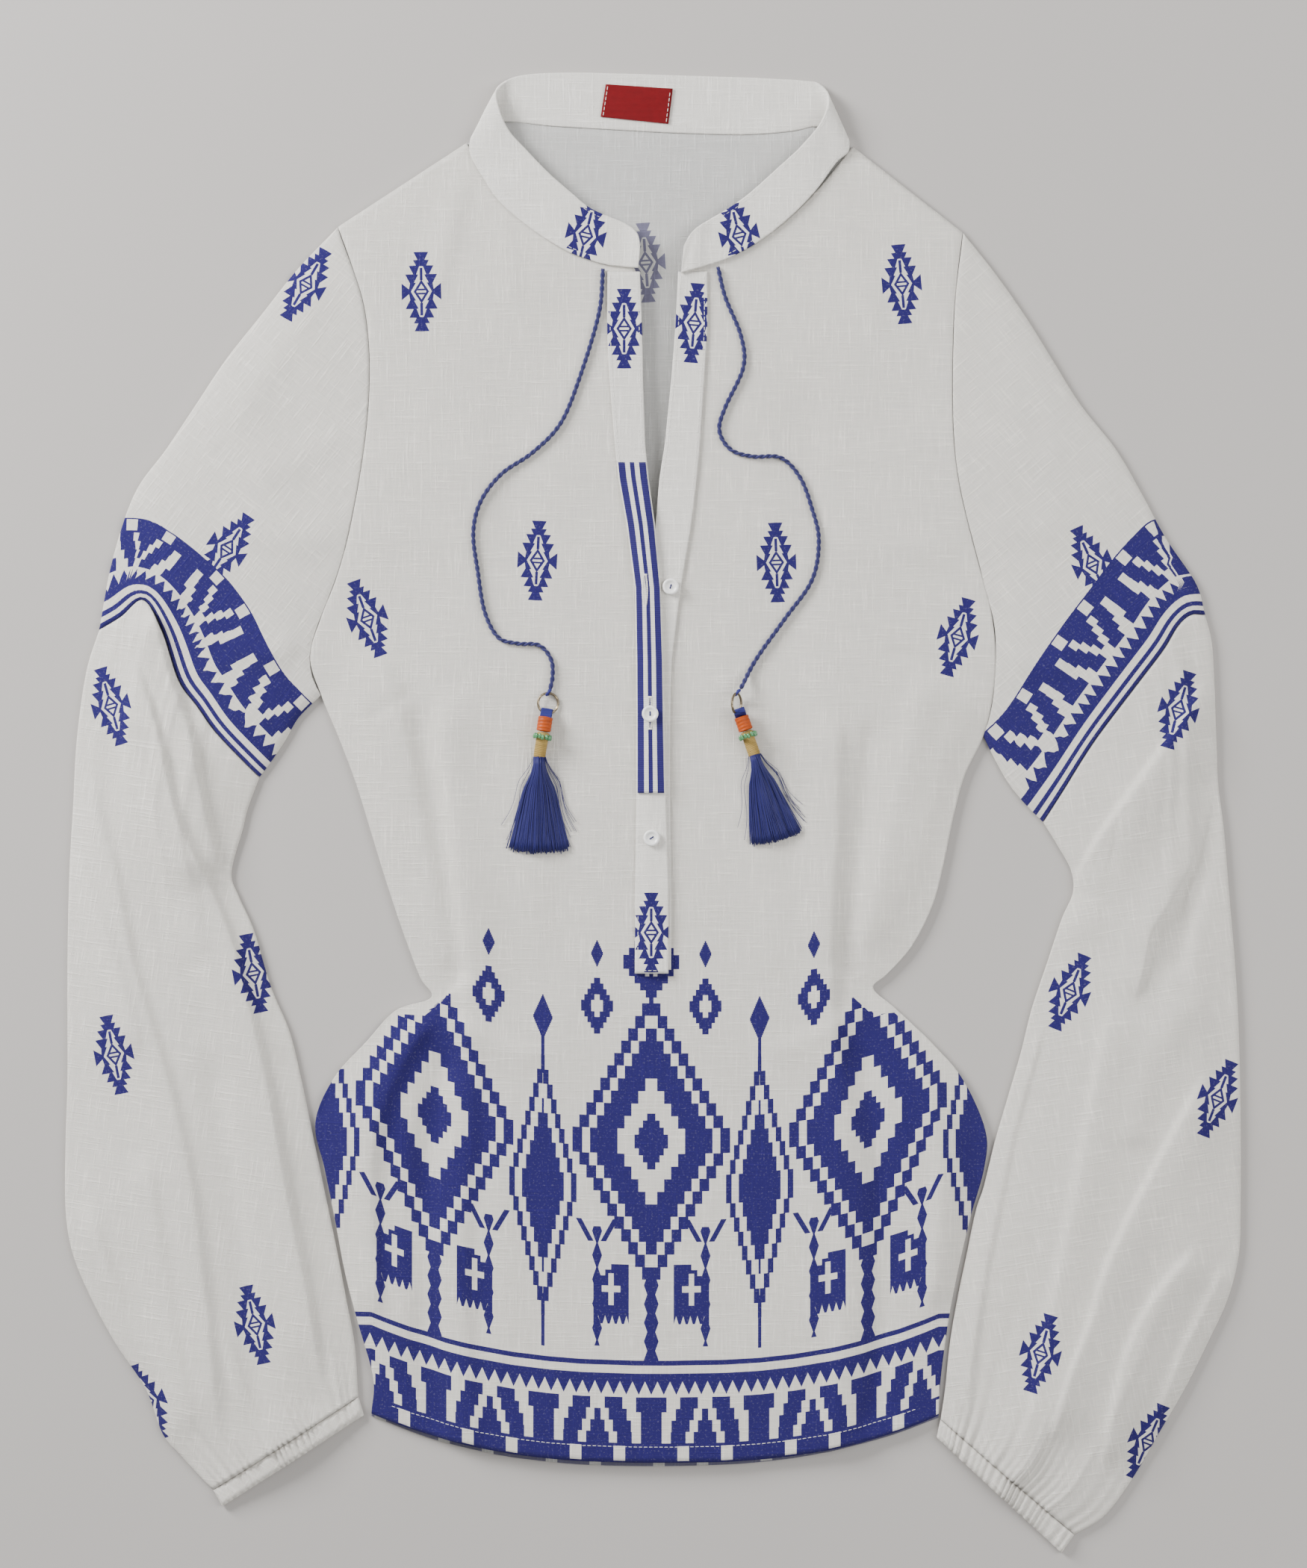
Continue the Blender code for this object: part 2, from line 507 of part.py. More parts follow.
def panel_row_ends():
    """For every row of the front panel: its left end, its slit edges and its right end, in plan."""
    shares = np.linspace(0, 1, ARMHOLE_STEPS + 1)
    arm = {side: seam_lines(side)[0] for side in ("left", "right")}
    arm_side = {side: seam_lines(side)[1] for side in ("left", "right")}
    left = arm["left"] - arm_side["left"] * SEAM / 2
    right = arm["right"] + arm_side["right"] * SEAM / 2
    neck_left = along(NECK["left"], np.linspace(0, 1, NECK_ROWS + 1))
    neck_right = along(NECK["right"], np.linspace(0, 1, NECK_ROWS + 1))
    rows = []
    for k in range(len(shares)):
        if k <= NECK_ROWS:
            rows.append((left[k], neck_left[k], neck_right[k], right[k]))
        else:
            y = SLIT_ROWS_Y[k - NECK_ROWS - 1]
            cut_left = (placket_x(y, 2) - SLIT_INSET, y)
            far = max(placket_x(y, 3), placket_x(y, 2)) + SLIT_INSET
            cut_right = (min(far, placket_x(y, 4) - SLIT_INSET / 2), y)
            rows.append((left[k], np.array(cut_left), np.array(cut_right), right[k]))
    for left_x, left_y, right_x, right_y, middle_y in SIDE_ROWS:
        cut_left = np.array((placket_x(middle_y, 2) - SLIT_INSET, middle_y))
        cut_right = np.array((placket_x(middle_y, 4) - SLIT_INSET / 2, middle_y))
        rows.append((np.array((left_x, left_y)), cut_left, cut_right, np.array((right_x, right_y))))
    return rows


SIDE_COLUMNS = np.array([0, 0.05, 0.15, 0.28, 0.41, 0.54, 0.67, 0.8])


def panel_plan():
    """The front panel's grid of plan points, and which of its squares are cloth."""
    rows = panel_row_ends()
    plan = []
    for k, (left, cut_left, cut_right, right) in enumerate(rows):
        bend = np.interp(k, [0, SLIT_END_ROW, len(rows) - 1], [1.0, 1.5, HEM_BEND])
        line = []
        for end, cut, column in ((left, cut_left, 1), (right, cut_right, 4)):
            if k <= NECK_ROWS:
                seam_x = cut[0] + 0.1 * (end[0] - cut[0])
            else:
                seam_x = placket_x(cut[1], column)
            share = np.append(SIDE_COLUMNS, 1.0)
            x = end[0] + (seam_x - end[0]) * share
            x = np.append(x, cut[0])
            reach = np.abs((x - cut[0]) / (end[0] - cut[0]))
            line.append(np.stack([x, cut[1] + (end[1] - cut[1]) * reach**bend], axis=-1))
        plan.append(np.vstack([line[0], line[1][::-1]]))
    plan = np.array(plan)
    cells = np.ones((plan.shape[0] - 1, plan.shape[1] - 1), bool)
    cells[:SLIT_END_ROW, len(SIDE_COLUMNS) + 1] = False
    return plan, cells


def with_height(plan, height):
    return np.concatenate([plan, np.broadcast_to(height, plan.shape[:-1])[..., None]], axis=-1)


def make_front_panel(material):
    plan, cells = panel_plan()
    top = cloth_top(plan[..., 0], plan[..., 1], "body", BODY_LOFT)
    under = under_side(plan[..., 0], plan[..., 1], top, "body", BODY_LOFT)
    return sheet_solid("front_panel", with_height(plan, top), with_height(plan, under), material, cells)


def make_back_panel(material):
    """Flat on the surface, under the front; its top edge follows the shoulders and the back of the neck."""
    rows = panel_row_ends()
    picked = [*range(0, ARMHOLE_STEPS, 3), *range(ARMHOLE_STEPS, len(rows))]
    neck = np.array(BACK_SEAM, float) - (0, SEAM)
    left, right = rows[0][0], rows[0][3]
    top = np.vstack([left, BACK_CORNERS["left"], neck, BACK_CORNERS["right"], right])
    share = (top[:, 0] - left[0]) / (right[0] - left[0])
    chord = left[1] + (right[1] - left[1]) * share
    plan = []
    for k in picked:
        left, right = rows[k][0], rows[k][3]
        x = left[0] + (right[0] - left[0]) * share
        level = left[1] + (right[1] - left[1]) * share
        if k < ARMHOLE_STEPS:
            y = level + (top[:, 1] - chord) * (1 - k / ARMHOLE_STEPS) ** 1.5
        else:
            middle = rows[k][1][1] - (1.6 if k == len(rows) - 1 else 0.0)
            bend = np.interp(k, [SLIT_END_ROW, len(rows) - 1], [1.5, HEM_BEND])
            y = middle + (level - middle) * np.abs(2 * share - 1) ** bend
        plan.append(np.stack([x, y], axis=-1))
    plan = np.array(plan)
    return sheet_solid("back_panel", with_height(plan, CLOTH), with_height(plan, 0.0), material)


class Ground:
    """What has been laid so far: gives the height on which the next thing rests."""

    def __init__(self, things):
        points, faces = [], []
        for thing in things:
            first = len(points)
            points += [vertex.co / MM for vertex in thing.data.vertices]
            faces += [[first + index for index in face.vertices] for face in thing.data.polygons]
        self.tree = BVHTree.FromPolygons(points, faces)

    def height(self, x, y, radius=0.0):
        spots = [(x, y)]
        for turn in np.arange(8) * math.pi / 4 if radius else ():
            spots += [(x + r * math.cos(turn), y + r * math.sin(turn)) for r in (radius / 2, radius)]
        hits = [self.tree.ray_cast(Vector((*spot, 90.0)), Vector((0, 0, -1)))[0] for spot in spots]
        return max((hit.z for hit in hits if hit is not None), default=0.0)


def band_rows(first, last):
    """Heights down the placket at which its bands have points: the panel's own rows and the ends."""
    heights = [*SLIT_ROWS_Y, *[row[4] for row in SIDE_ROWS], LAP_START, LAP_FULL, TAPE_TOP, TAPE_END, first, last]
    return np.array(sorted({float(y) for y in heights if last <= y <= first}, reverse=True))


def lap(y):
    """How far the over band is lifted by the under band that it lies on."""
    return LAP_RISE * ease((LAP_START - np.asarray(y)) / (LAP_START - LAP_FULL))


def band_solid(name, y, lines, base, rise, thick, material):
    """A strip along the placket: lines are its columns' x, rise their height over base, the panel's face."""
    plan = np.stack([np.stack([x, y], axis=-1) for x in lines], axis=1)
    low = base[:, None] + rise
    return sheet_solid(name, with_height(plan, low + thick), with_height(plan, low), material)


def make_placket(ground, materials):
    y = band_rows(PLACKET_TOP, PLACKET_END)
    base = np.array([ground.height(-16.0, row) for row in y])
    seam, edge = placket_x(y, 1), placket_x(y, 2)
    middle = seam + LAP_SHARE * (edge - seam)
    rise = SEAM + np.stack([0 * y, lap(y), lap(y)], axis=1)
    over = band_solid("placket_over", y, [seam, middle, edge], base, rise, CLOTH, materials["band"])

    y = band_rows(PLACKET_TOP, UNDER_END)
    base = np.array([ground.height(-16.0, row) for row in y])
    free = placket_x(y, 3)
    clear = placket_x(y, 1) + LAP_SHARE * (placket_x(y, 2) - placket_x(y, 1)) + 1.0
    free = np.where(y < LAP_FULL, np.maximum(free, clear), free)
    lines = [free, placket_x(y, 4)]
    under = band_solid("placket_under", y, lines, base, SEAM + np.zeros((len(y), 2)), CLOTH, materials["band"])

    y = band_rows(TAPE_TOP, TAPE_END)
    base = np.array([ground.height(-16.0, row) for row in y])
    seam, edge = placket_x(y, 1), placket_x(y, 2)
    middle = seam + LAP_SHARE * (edge - seam)
    inset = TAPE_INSET / (middle - seam)
    rise = 2 * SEAM + CLOTH + np.stack([inset * lap(y), lap(y), lap(y)], axis=1)
    lines = [seam + TAPE_INSET, middle, edge - TAPE_INSET]
    tape = band_solid("stripe_tape", y, lines, base, rise, TAPE_THICK, materials["tape"])
    return [over, under, tape]


def make_collar(ground, material):
    """One band from end to end: over the front's neck edge, rolled at the shoulders, flat behind the neck."""
    sections = {"left": [], "right": []}
    for side, rows in COLLAR_FRONT.items():
        for seam_x, seam_y, top_x, top_y, lift in rows:
            z = ground.height(seam_x, seam_y, 2.5) + SEAM + COLLAR_THICK / 2
            sections[side].append((seam_x, seam_y, z, top_x, top_y, z + lift - 0.2))
        sections[side] += COLLAR_ROLL[side]
    flat = COLLAR_THICK / 2
    back = [(*seam, flat, *top, flat) for seam, top in zip(BACK_SEAM, BACK_SEAM_TOP)]
    table = np.array([*sections["left"], *back, *sections["right"][::-1]], float)
    share = np.linspace(0, 1, COLLAR_ACROSS + 1)[None, :, None]
    middle = table[:, None, :3] * (1 - share) + table[:, None, 3:] * share
    run = np.gradient(middle, axis=0)
    over = np.cross(run, table[:, None, 3:] - table[:, None, :3])
    over /= np.linalg.norm(over, axis=2, keepdims=True)
    return sheet_solid("collar", middle - over * flat, middle + over * flat, material)


def make_label(ground, material):
    corners = np.array(LABEL_CORNERS, float)[[0, 1, 3, 2]].reshape(2, 2, 2)
    height = max(ground.height(x, y) for x, y in LABEL_CORNERS) + SEAM
    sheet_solid("label", with_height(corners, height + LABEL_THICK), with_height(corners, height), material)


def make_button(name, x, y, ground, material):
    """A turned disc with a rim and a dished middle."""
    profile = [(0.0, 1.5), (2.6, 1.5), (3.1, 2.1), (3.9, 2.1), (BUTTON_RADIUS, 1.5), (BUTTON_RADIUS, 0.7), (3.7, 0.0), (0.0, 0.0)]
    mesh = bpy.data.meshes.new(name)
    edges = [(k, k + 1) for k in range(len(profile) - 1)]
    mesh.from_pydata([(r * MM, 0, z * MM) for r, z in profile], edges, [])
    mesh.materials.append(material)
    button = bpy.data.objects.new(name, mesh)
    GARMENT.objects.link(button)
    button.location = Vector((x, y, ground.height(x, y, BUTTON_RADIUS) + SEAM)) * MM
    turn = button.modifiers.new("turn", "SCREW")
    turn.steps = turn.render_steps = 16
    turn.use_merge_vertices = True
    turn.merge_threshold = 0.00001
    turn.use_normal_calculate = True


def make_cord(side, ground, material):
    rough = smooth_line(CORD_ROUTE[side])
    length = np.linalg.norm(np.diff(rough, axis=0), axis=1).sum()
    route = along(CORD_ROUTE[side], np.linspace(0, 1, int(length / CORD_STEP) + 1))
    curve = bpy.data.curves.new("cord_" + side, "CURVE")
    curve.dimensions = "3D"
    curve.bevel_depth = CORD_RADIUS * MM
    curve.bevel_resolution = 2
    curve.use_fill_caps = True
    line = curve.splines.new("POLY")
    line.points.add(len(route) - 1)
    for point, (x, y) in zip(line.points, route):
        z = ground.height(x, y, CORD_RADIUS) + SEAM + CORD_RADIUS
        point.co = (x * MM, y * MM, z * MM, 1)
    curve.materials.append(material)
    GARMENT.objects.link(bpy.data.objects.new("cord_" + side, curve))


def lying_frame(centre, axis):
    """Places a thing made round Z so that it lies along the axis in plan, at the centre."""
    run = Vector((*axis, 0)).normalized()
    across = Vector((0, 0, 1)).cross(run)
    turn = Matrix((across, Vector((0, 0, 1)), run)).transposed().to_4x4()
    return Matrix.Translation(Vector(centre) * MM) @ turn


def make_tassel_fittings(side, ground, materials):
    spec = TASSELS[side]
    ring_x, ring_y = spec["ring"]
    tilt = math.radians(spec["tilt"])
    rise = RING_RADIUS * math.sin(tilt) + RING_WIRE
    bpy.ops.mesh.primitive_torus_add(
        major_radius=RING_RADIUS * MM, minor_radius=RING_WIRE * MM, major_segments=18, minor_segments=6
    )
    ring = bpy.context.object
    ring.name = "ring_" + side
    keep_in_garment(ring, materials["brass"])
    height = ground.height(ring_x, ring_y, RING_RADIUS) + SEAM + rise
    turn = Matrix.Rotation(tilt, 4, "Y")
    ring.matrix_world = Matrix.Translation(Vector((ring_x, ring_y, height)) * MM) @ turn
    axis = np.array(spec["axis"])
    colours = {"wrap": "orange", "beads": "green", "binding": "beige"}
    for piece, start, end, radius in TASSEL_PIECES:
        x, y = np.array(spec["ring"]) + axis * (start + end) / 2
        bpy.ops.mesh.primitive_cylinder_add(vertices=16, radius=radius * MM, depth=(end - start) * MM)
        thing = bpy.context.object
        thing.name = "tassel_" + piece + "_" + side
        keep_in_garment(thing, materials[colours[piece]])
        z = ground.height(x, y, radius) + SEAM + radius
        thing.matrix_world = lying_frame((x, y, z), axis)


def keep_in_garment(thing, material):
    for collection in list(thing.users_collection):
        collection.objects.unlink(thing)
    GARMENT.objects.link(thing)
    thing.data.materials.clear()
    thing.data.materials.append(material)


def make_skirt(side, ground, material):
    """A short head whose front face is drawn out into strands that fan over the cloth in layers."""
    spec = TASSELS[side]
    width, length, depth = SKIRT_HEAD
    across_count, layers = SKIRT_STRANDS
    root = np.array(spec["ring"]) + np.array(spec["axis"]) * SKIRT_START
    run = np.array(spec["skirt"]) / np.linalg.norm(spec["skirt"])
    side_way = np.array((-run[1], run[0]))
    front = root + run * length
    floor = max(ground.height(*(root + run * d), width / 2) for d in (0, length)) + SEAM
    work = bmesh.new()
    grid = bmesh.ops.create_grid(work, x_segments=across_count, y_segments=layers, size=0.5)
    for vertex in grid["verts"]:
        u, v = vertex.co.x, vertex.co.y
        x, y = front + side_way * u * width
        vertex.co = Vector((x, y, floor + (v + 0.5) * depth)) * MM
    faces = list(work.faces)
    back = bmesh.ops.extrude_face_region(work, geom=faces, use_keep_orig=True)["geom"]
    for thing in back:
        if isinstance(thing, bmesh.types.BMVert):
            thing.co -= Vector((*(run * length), 0)) * MM
    bmesh.ops.inset_individual(work, faces=faces, thickness=0.14 * MM)
    order = sorted(faces, key=lambda face: (round(face.calc_center_median().z / MM, 2), face.calc_center_median().dot(Vector((*side_way, 0)))))
    wobble = np.random.default_rng(7 if side == "left" else 11).uniform(-1, 1, (len(order), 2))
    current = order
    for span in range(1, SKIRT_SPANS + 1):
        share = span / SKIRT_SPANS
        drawn = [bmesh.ops.extrude_discrete_faces(work, faces=[face])["faces"][0] for face in current]
        for index, face in enumerate(drawn):
            column, layer = index % across_count, index // across_count
            place = 2 * (column + 0.5) / across_count - 1
            spread = place * (width / 2 + (spec["fan"] - width / 2) * share**0.8) + wobble[index, 0] * 0.3 * share
            reach = share * (spec["length"] - length) * (1 - 0.10 * place**2 + 0.03 * wobble[index, 1])
            x, y = front + run * reach + side_way * spread
            low = ground.height(x, y, 1.0) + SEAM + (layer + 0.5) * depth / layers
            high = floor + (layer + 0.5) * depth / layers
            z = high + (low - high) * ease(share * 1.5)
            shift = Vector((x, y, z)) * MM - face.calc_center_median()
            for vertex in face.verts:
                vertex.co += shift
        current = drawn
    bmesh.ops.recalc_face_normals(work, faces=work.faces)
    mesh = bpy.data.meshes.new("tassel_skirt_" + side)
    work.to_mesh(mesh)
    work.free()
    mesh.materials.append(material)
    GARMENT.objects.link(bpy.data.objects.new("tassel_skirt_" + side, mesh))


clear_scene()
GARMENT = bpy.data.collections.new("tunic")
bpy.context.scene.collection.children.link(GARMENT)


def main():
    materials = {name: make_material(name) for name in COLOURS}
    cloth = materials["cloth"]
    make_back_panel(cloth)
    front = make_front_panel(cloth)
    for side in ("left", "right"):
        make_upper_sleeve(side, cloth)
        make_lower_sleeve(side, cloth)
        make_cuff(side, cloth)
    bands = make_placket(Ground([front]), materials)
    collar = make_collar(Ground([front, bands[0], bands[1]]), materials["band"])
    make_label(Ground([collar]), materials["label"])
    chest = Ground([front, *bands])
    for button in BUTTONS:
        make_button(*button, chest, materials["button"])
    for side in ("left", "right"):
        make_cord(side, chest, materials["navy"])
        make_tassel_fittings(side, chest, materials)
        make_skirt(side, chest, materials["navy"])


main()
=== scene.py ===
# %% [markdown]
# A loose cotton tunic, laid flat on its back on a pale floor and seen from straight above. Every real tunic
# is a handful of flat cuts sewn together, so the model keeps one mesh for each cut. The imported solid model
# is loaded first and stays as the frame: each soft piece below replaces the solid that has its place.

# %% Load the frame
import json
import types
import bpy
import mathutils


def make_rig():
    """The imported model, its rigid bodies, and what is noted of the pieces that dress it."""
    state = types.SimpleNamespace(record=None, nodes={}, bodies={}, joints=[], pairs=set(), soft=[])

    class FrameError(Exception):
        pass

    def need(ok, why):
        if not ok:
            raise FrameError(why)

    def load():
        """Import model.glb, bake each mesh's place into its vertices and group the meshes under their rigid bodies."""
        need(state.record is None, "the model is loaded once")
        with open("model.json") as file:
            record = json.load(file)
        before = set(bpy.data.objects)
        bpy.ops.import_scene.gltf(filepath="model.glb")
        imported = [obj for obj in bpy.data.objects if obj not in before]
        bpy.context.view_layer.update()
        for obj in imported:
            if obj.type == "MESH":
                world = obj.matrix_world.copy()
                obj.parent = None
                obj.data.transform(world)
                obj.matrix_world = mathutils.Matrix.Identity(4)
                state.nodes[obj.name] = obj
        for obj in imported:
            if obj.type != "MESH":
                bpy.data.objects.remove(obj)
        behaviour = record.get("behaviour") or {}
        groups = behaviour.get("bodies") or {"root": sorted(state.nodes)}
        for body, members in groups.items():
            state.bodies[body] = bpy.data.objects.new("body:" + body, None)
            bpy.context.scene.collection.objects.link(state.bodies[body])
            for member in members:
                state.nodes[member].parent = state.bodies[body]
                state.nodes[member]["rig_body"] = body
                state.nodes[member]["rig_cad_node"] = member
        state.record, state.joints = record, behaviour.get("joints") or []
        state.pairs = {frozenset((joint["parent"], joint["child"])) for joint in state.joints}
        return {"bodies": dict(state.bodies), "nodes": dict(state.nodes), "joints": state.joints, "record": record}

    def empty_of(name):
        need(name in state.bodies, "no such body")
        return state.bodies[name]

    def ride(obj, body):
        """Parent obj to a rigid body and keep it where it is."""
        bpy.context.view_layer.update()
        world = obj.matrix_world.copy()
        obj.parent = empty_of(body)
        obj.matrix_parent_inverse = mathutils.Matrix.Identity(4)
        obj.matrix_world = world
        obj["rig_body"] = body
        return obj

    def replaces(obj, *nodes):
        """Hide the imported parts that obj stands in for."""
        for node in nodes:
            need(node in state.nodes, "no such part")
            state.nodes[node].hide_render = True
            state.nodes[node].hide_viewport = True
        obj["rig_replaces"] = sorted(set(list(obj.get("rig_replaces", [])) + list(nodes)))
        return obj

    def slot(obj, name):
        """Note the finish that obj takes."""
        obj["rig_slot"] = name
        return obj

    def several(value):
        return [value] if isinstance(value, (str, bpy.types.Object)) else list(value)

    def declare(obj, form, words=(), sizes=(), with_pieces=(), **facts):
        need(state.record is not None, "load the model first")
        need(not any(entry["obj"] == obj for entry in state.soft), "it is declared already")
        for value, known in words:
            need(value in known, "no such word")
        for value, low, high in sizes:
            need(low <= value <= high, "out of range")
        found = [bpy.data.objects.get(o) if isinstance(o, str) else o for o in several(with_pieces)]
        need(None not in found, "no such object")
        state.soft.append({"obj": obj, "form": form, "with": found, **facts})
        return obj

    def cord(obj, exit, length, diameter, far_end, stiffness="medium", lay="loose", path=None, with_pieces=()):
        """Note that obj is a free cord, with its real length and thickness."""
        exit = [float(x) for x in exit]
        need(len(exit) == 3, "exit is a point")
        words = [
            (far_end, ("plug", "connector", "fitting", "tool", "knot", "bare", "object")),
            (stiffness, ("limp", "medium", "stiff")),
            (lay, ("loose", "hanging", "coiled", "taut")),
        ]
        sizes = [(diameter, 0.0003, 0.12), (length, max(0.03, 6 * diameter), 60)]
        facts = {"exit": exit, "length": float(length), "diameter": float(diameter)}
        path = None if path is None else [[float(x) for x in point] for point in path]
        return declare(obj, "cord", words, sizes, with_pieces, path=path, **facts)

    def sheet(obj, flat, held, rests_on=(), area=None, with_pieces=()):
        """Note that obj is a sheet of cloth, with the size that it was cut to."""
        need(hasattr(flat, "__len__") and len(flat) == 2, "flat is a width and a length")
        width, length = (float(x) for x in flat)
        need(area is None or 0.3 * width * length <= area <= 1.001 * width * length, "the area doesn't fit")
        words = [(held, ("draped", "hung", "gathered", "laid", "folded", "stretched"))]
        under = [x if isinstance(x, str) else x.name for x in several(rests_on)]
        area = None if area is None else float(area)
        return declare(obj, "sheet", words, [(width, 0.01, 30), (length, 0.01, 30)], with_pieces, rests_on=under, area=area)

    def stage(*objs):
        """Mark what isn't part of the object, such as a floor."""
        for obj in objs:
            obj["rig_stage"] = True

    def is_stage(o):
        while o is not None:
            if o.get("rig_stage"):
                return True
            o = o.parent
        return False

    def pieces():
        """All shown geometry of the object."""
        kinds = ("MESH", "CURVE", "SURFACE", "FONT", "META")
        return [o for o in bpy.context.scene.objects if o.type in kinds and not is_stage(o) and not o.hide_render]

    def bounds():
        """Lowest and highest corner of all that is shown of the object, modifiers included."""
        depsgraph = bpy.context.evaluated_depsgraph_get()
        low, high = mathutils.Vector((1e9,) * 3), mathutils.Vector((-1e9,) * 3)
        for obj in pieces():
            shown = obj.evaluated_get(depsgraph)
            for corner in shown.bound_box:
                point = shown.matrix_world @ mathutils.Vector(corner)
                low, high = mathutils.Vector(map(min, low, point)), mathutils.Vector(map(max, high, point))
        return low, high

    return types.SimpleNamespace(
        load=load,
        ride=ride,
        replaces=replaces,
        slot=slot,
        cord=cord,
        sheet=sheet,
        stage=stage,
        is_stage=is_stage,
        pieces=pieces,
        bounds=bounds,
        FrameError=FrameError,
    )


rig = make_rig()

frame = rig.load()

import functools
import json
import math

import bmesh
import bpy
import numpy as np

CAD_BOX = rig.bounds()
MM = 0.001
UP = np.array([0.0, 0.0, 1.0])
print("bodies", frame["bodies"], "nodes", len(frame["nodes"]))

# %% [markdown]
# The camera looks straight down. Its view is 700 mm by 840 mm on the cloth, and a long lens keeps the edges
# of the garment from being seen from the side. Three large soft lights and an even pale world give the
# gentle shading by which folds are read: the strongest comes from the upper left, low enough to rake the
# folds.

# %% Camera
VIEW_TALL = 840.0
VIEW_CENTRE = (0.2, 15.4)
CAMERA_HEIGHT = 2600.0
CLOTH_LEVEL = 4.0
MOST_DISTANT = 20.0


def add_camera():
    """A camera straight above; half the view's height over its distance is the tangent of half its angle."""
    camera = bpy.data.objects.new("camera", bpy.data.cameras.new("camera"))
    bpy.context.scene.collection.objects.link(camera)
    camera.data.sensor_fit = "VERTICAL"
    camera.data.angle_y = 2 * math.atan(VIEW_TALL / 2 / (CAMERA_HEIGHT - CLOTH_LEVEL))
    camera.location = (VIEW_CENTRE[0] * MM, VIEW_CENTRE[1] * MM, CAMERA_HEIGHT * MM)
    camera.data.clip_end = MOST_DISTANT
    bpy.context.scene.camera = camera
    return camera


print("camera", round(math.degrees(add_camera().data.angle_y), 2), "degrees tall")

# %% Floor, lights and world
FLOOR_HALF = 12.0
FLOOR_DROP = 0.0002
FLOOR_COLOUR, FLOOR_ROUGHNESS = (0.42, 0.40, 0.385, 1), 0.9
ROOM_COLOUR, ROOM_STRENGTH = (1.0, 0.99, 0.97, 1), 0.40
# Columns: name, place in metres, size, power.
LIGHTS = [
    ("key", (-1.7, 1.2, 0.95), 0.9, 112.0),
    ("fill", (1.8, 0.2, 1.7), 1.8, 50.0),
    ("top", (0.1, 0.2, 2.9), 2.2, 22.0),
]


def add_stage():
    """A plain square floor just below height 0, three square lights aimed at the cloth, and a pale world."""
    corners = [(-1, -1), (1, -1), (1, 1), (-1, 1)]
    mesh = bpy.data.meshes.new("floor")
    mesh.from_pydata([(x * FLOOR_HALF, y * FLOOR_HALF, -FLOOR_DROP) for x, y in corners], [], [(0, 1, 2, 3)])
    floor = bpy.data.objects.new("floor", mesh)
    bpy.context.scene.collection.objects.link(floor)
    paint = bpy.data.materials.new("floor_paint")
    paint.use_nodes = True
    shader = paint.node_tree.nodes["Principled BSDF"]
    shader.inputs["Base Color"].default_value = FLOOR_COLOUR
    shader.inputs["Roughness"].default_value = FLOOR_ROUGHNESS
    mesh.materials.append(paint)
    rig.stage(floor)
    for name, place, size, power in LIGHTS:
        lamp = bpy.data.lights.new(name, "AREA")
        lamp.size = size
        lamp.energy = power
        thing = bpy.data.objects.new(name, lamp)
        thing.location = place
        x, y, z = place
        thing.rotation_euler = (math.atan2(math.hypot(x, y), z), 0, math.atan2(-y, -x) - math.pi / 2)
        bpy.context.scene.collection.objects.link(thing)
    world = bpy.data.worlds.new("room")
    world.use_nodes = True
    light = world.node_tree.nodes["Background"]
    light.inputs["Color"].default_value = ROOM_COLOUR
    light.inputs["Strength"].default_value = ROOM_STRENGTH
    bpy.context.scene.world = world
    return len(LIGHTS)


print("lights", add_stage())

# %% [markdown]
# The plan of the garment: every table below is in millimetres, X to the viewer's right and Y towards the
# collar. They are the same lines as in the solid model, so each cloth shell lies where its solid lies. A
# tailor would call them the cutting lines of a garment already laid down.

# %% Sizes of the cloth
CLOTH = 1.2
SEAM = 0.3
COLLAR_THICK = 1.6
TAPE_THICK = 1.0
RIM_TOP = 2 * CLOTH + SEAM
EDGE_RADIUS = RIM_TOP / 2
BODY_LOFT = 3.4
SLEEVE_LOFT = 5.4
LOFT_REACH = 24.0
CORD_RADIUS = 1.1
print("a flat sleeve's edge is", RIM_TOP, "mm thick")

# %% Lines of the sleeves
ARMHOLE = {
    "left": [(-169, 314), (-154, 267), (-153, 211), (-165, 141), (-182, 93), (-183, 75), (-178, 63)],
    "right": [(166, 311), (161, 263), (162, 189), (176, 127), (183, 97), (182, 62), (177, 41)],
}
SLEEVE_SEAM = {
    "left": [
        (-297, 98), (-285, 105), (-273, 114), (-263, 98), (-254, 71), (-244, 57), (-234, 43), (-218, 26),
        (-211, 19)
    ],
    "right": [(296, 106), (288, 106), (281, 100), (273, 87), (257, 66), (236, 38), (219, 11), (209, -5)],
}
UPPER_OUTER = {
    "left": [
        (-169, 314), (-191, 291), (-210, 267), (-229, 243), (-245, 219), (-261, 195), (-278, 171),
        (-290, 135), (-297, 98)
    ],
    "right": [
        (166, 311), (182, 291), (199, 267), (214, 243), (229, 219), (248, 195), (262, 171), (275, 147),
        (291, 123), (296, 106)
    ],
}
UPPER_INNER = {
    "left": [(-178, 63), (-190, 51), (-197, 39), (-205, 27), (-211, 19)],
    "right": [(177, 41), (184, 27), (191, 15), (200, 4), (209, -5)],
}
LOWER_OUTER = {
    "left": [
        (-297, 98), (-304, 75), (-309, 39), (-311, 3), (-313, -33), (-314, -81), (-314, -141), (-315, -177),
        (-315, -213),
        (-311, -237), (-301, -261), (-288, -285), (-272, -309), (-263, -333), (-253, -345), (-242, -357),
        (-236, -363),
    ],
    "right": [
        (296, 106), (300, 87), (302, 39), (303, 15), (306, -9), (309, -45), (312, -81), (314, -117),
        (315, -165),
        (315, -213), (314, -237), (308, -261), (297, -285), (285, -309), (271, -333), (257, -357),
        (242, -377), (226, -387),
    ],
}
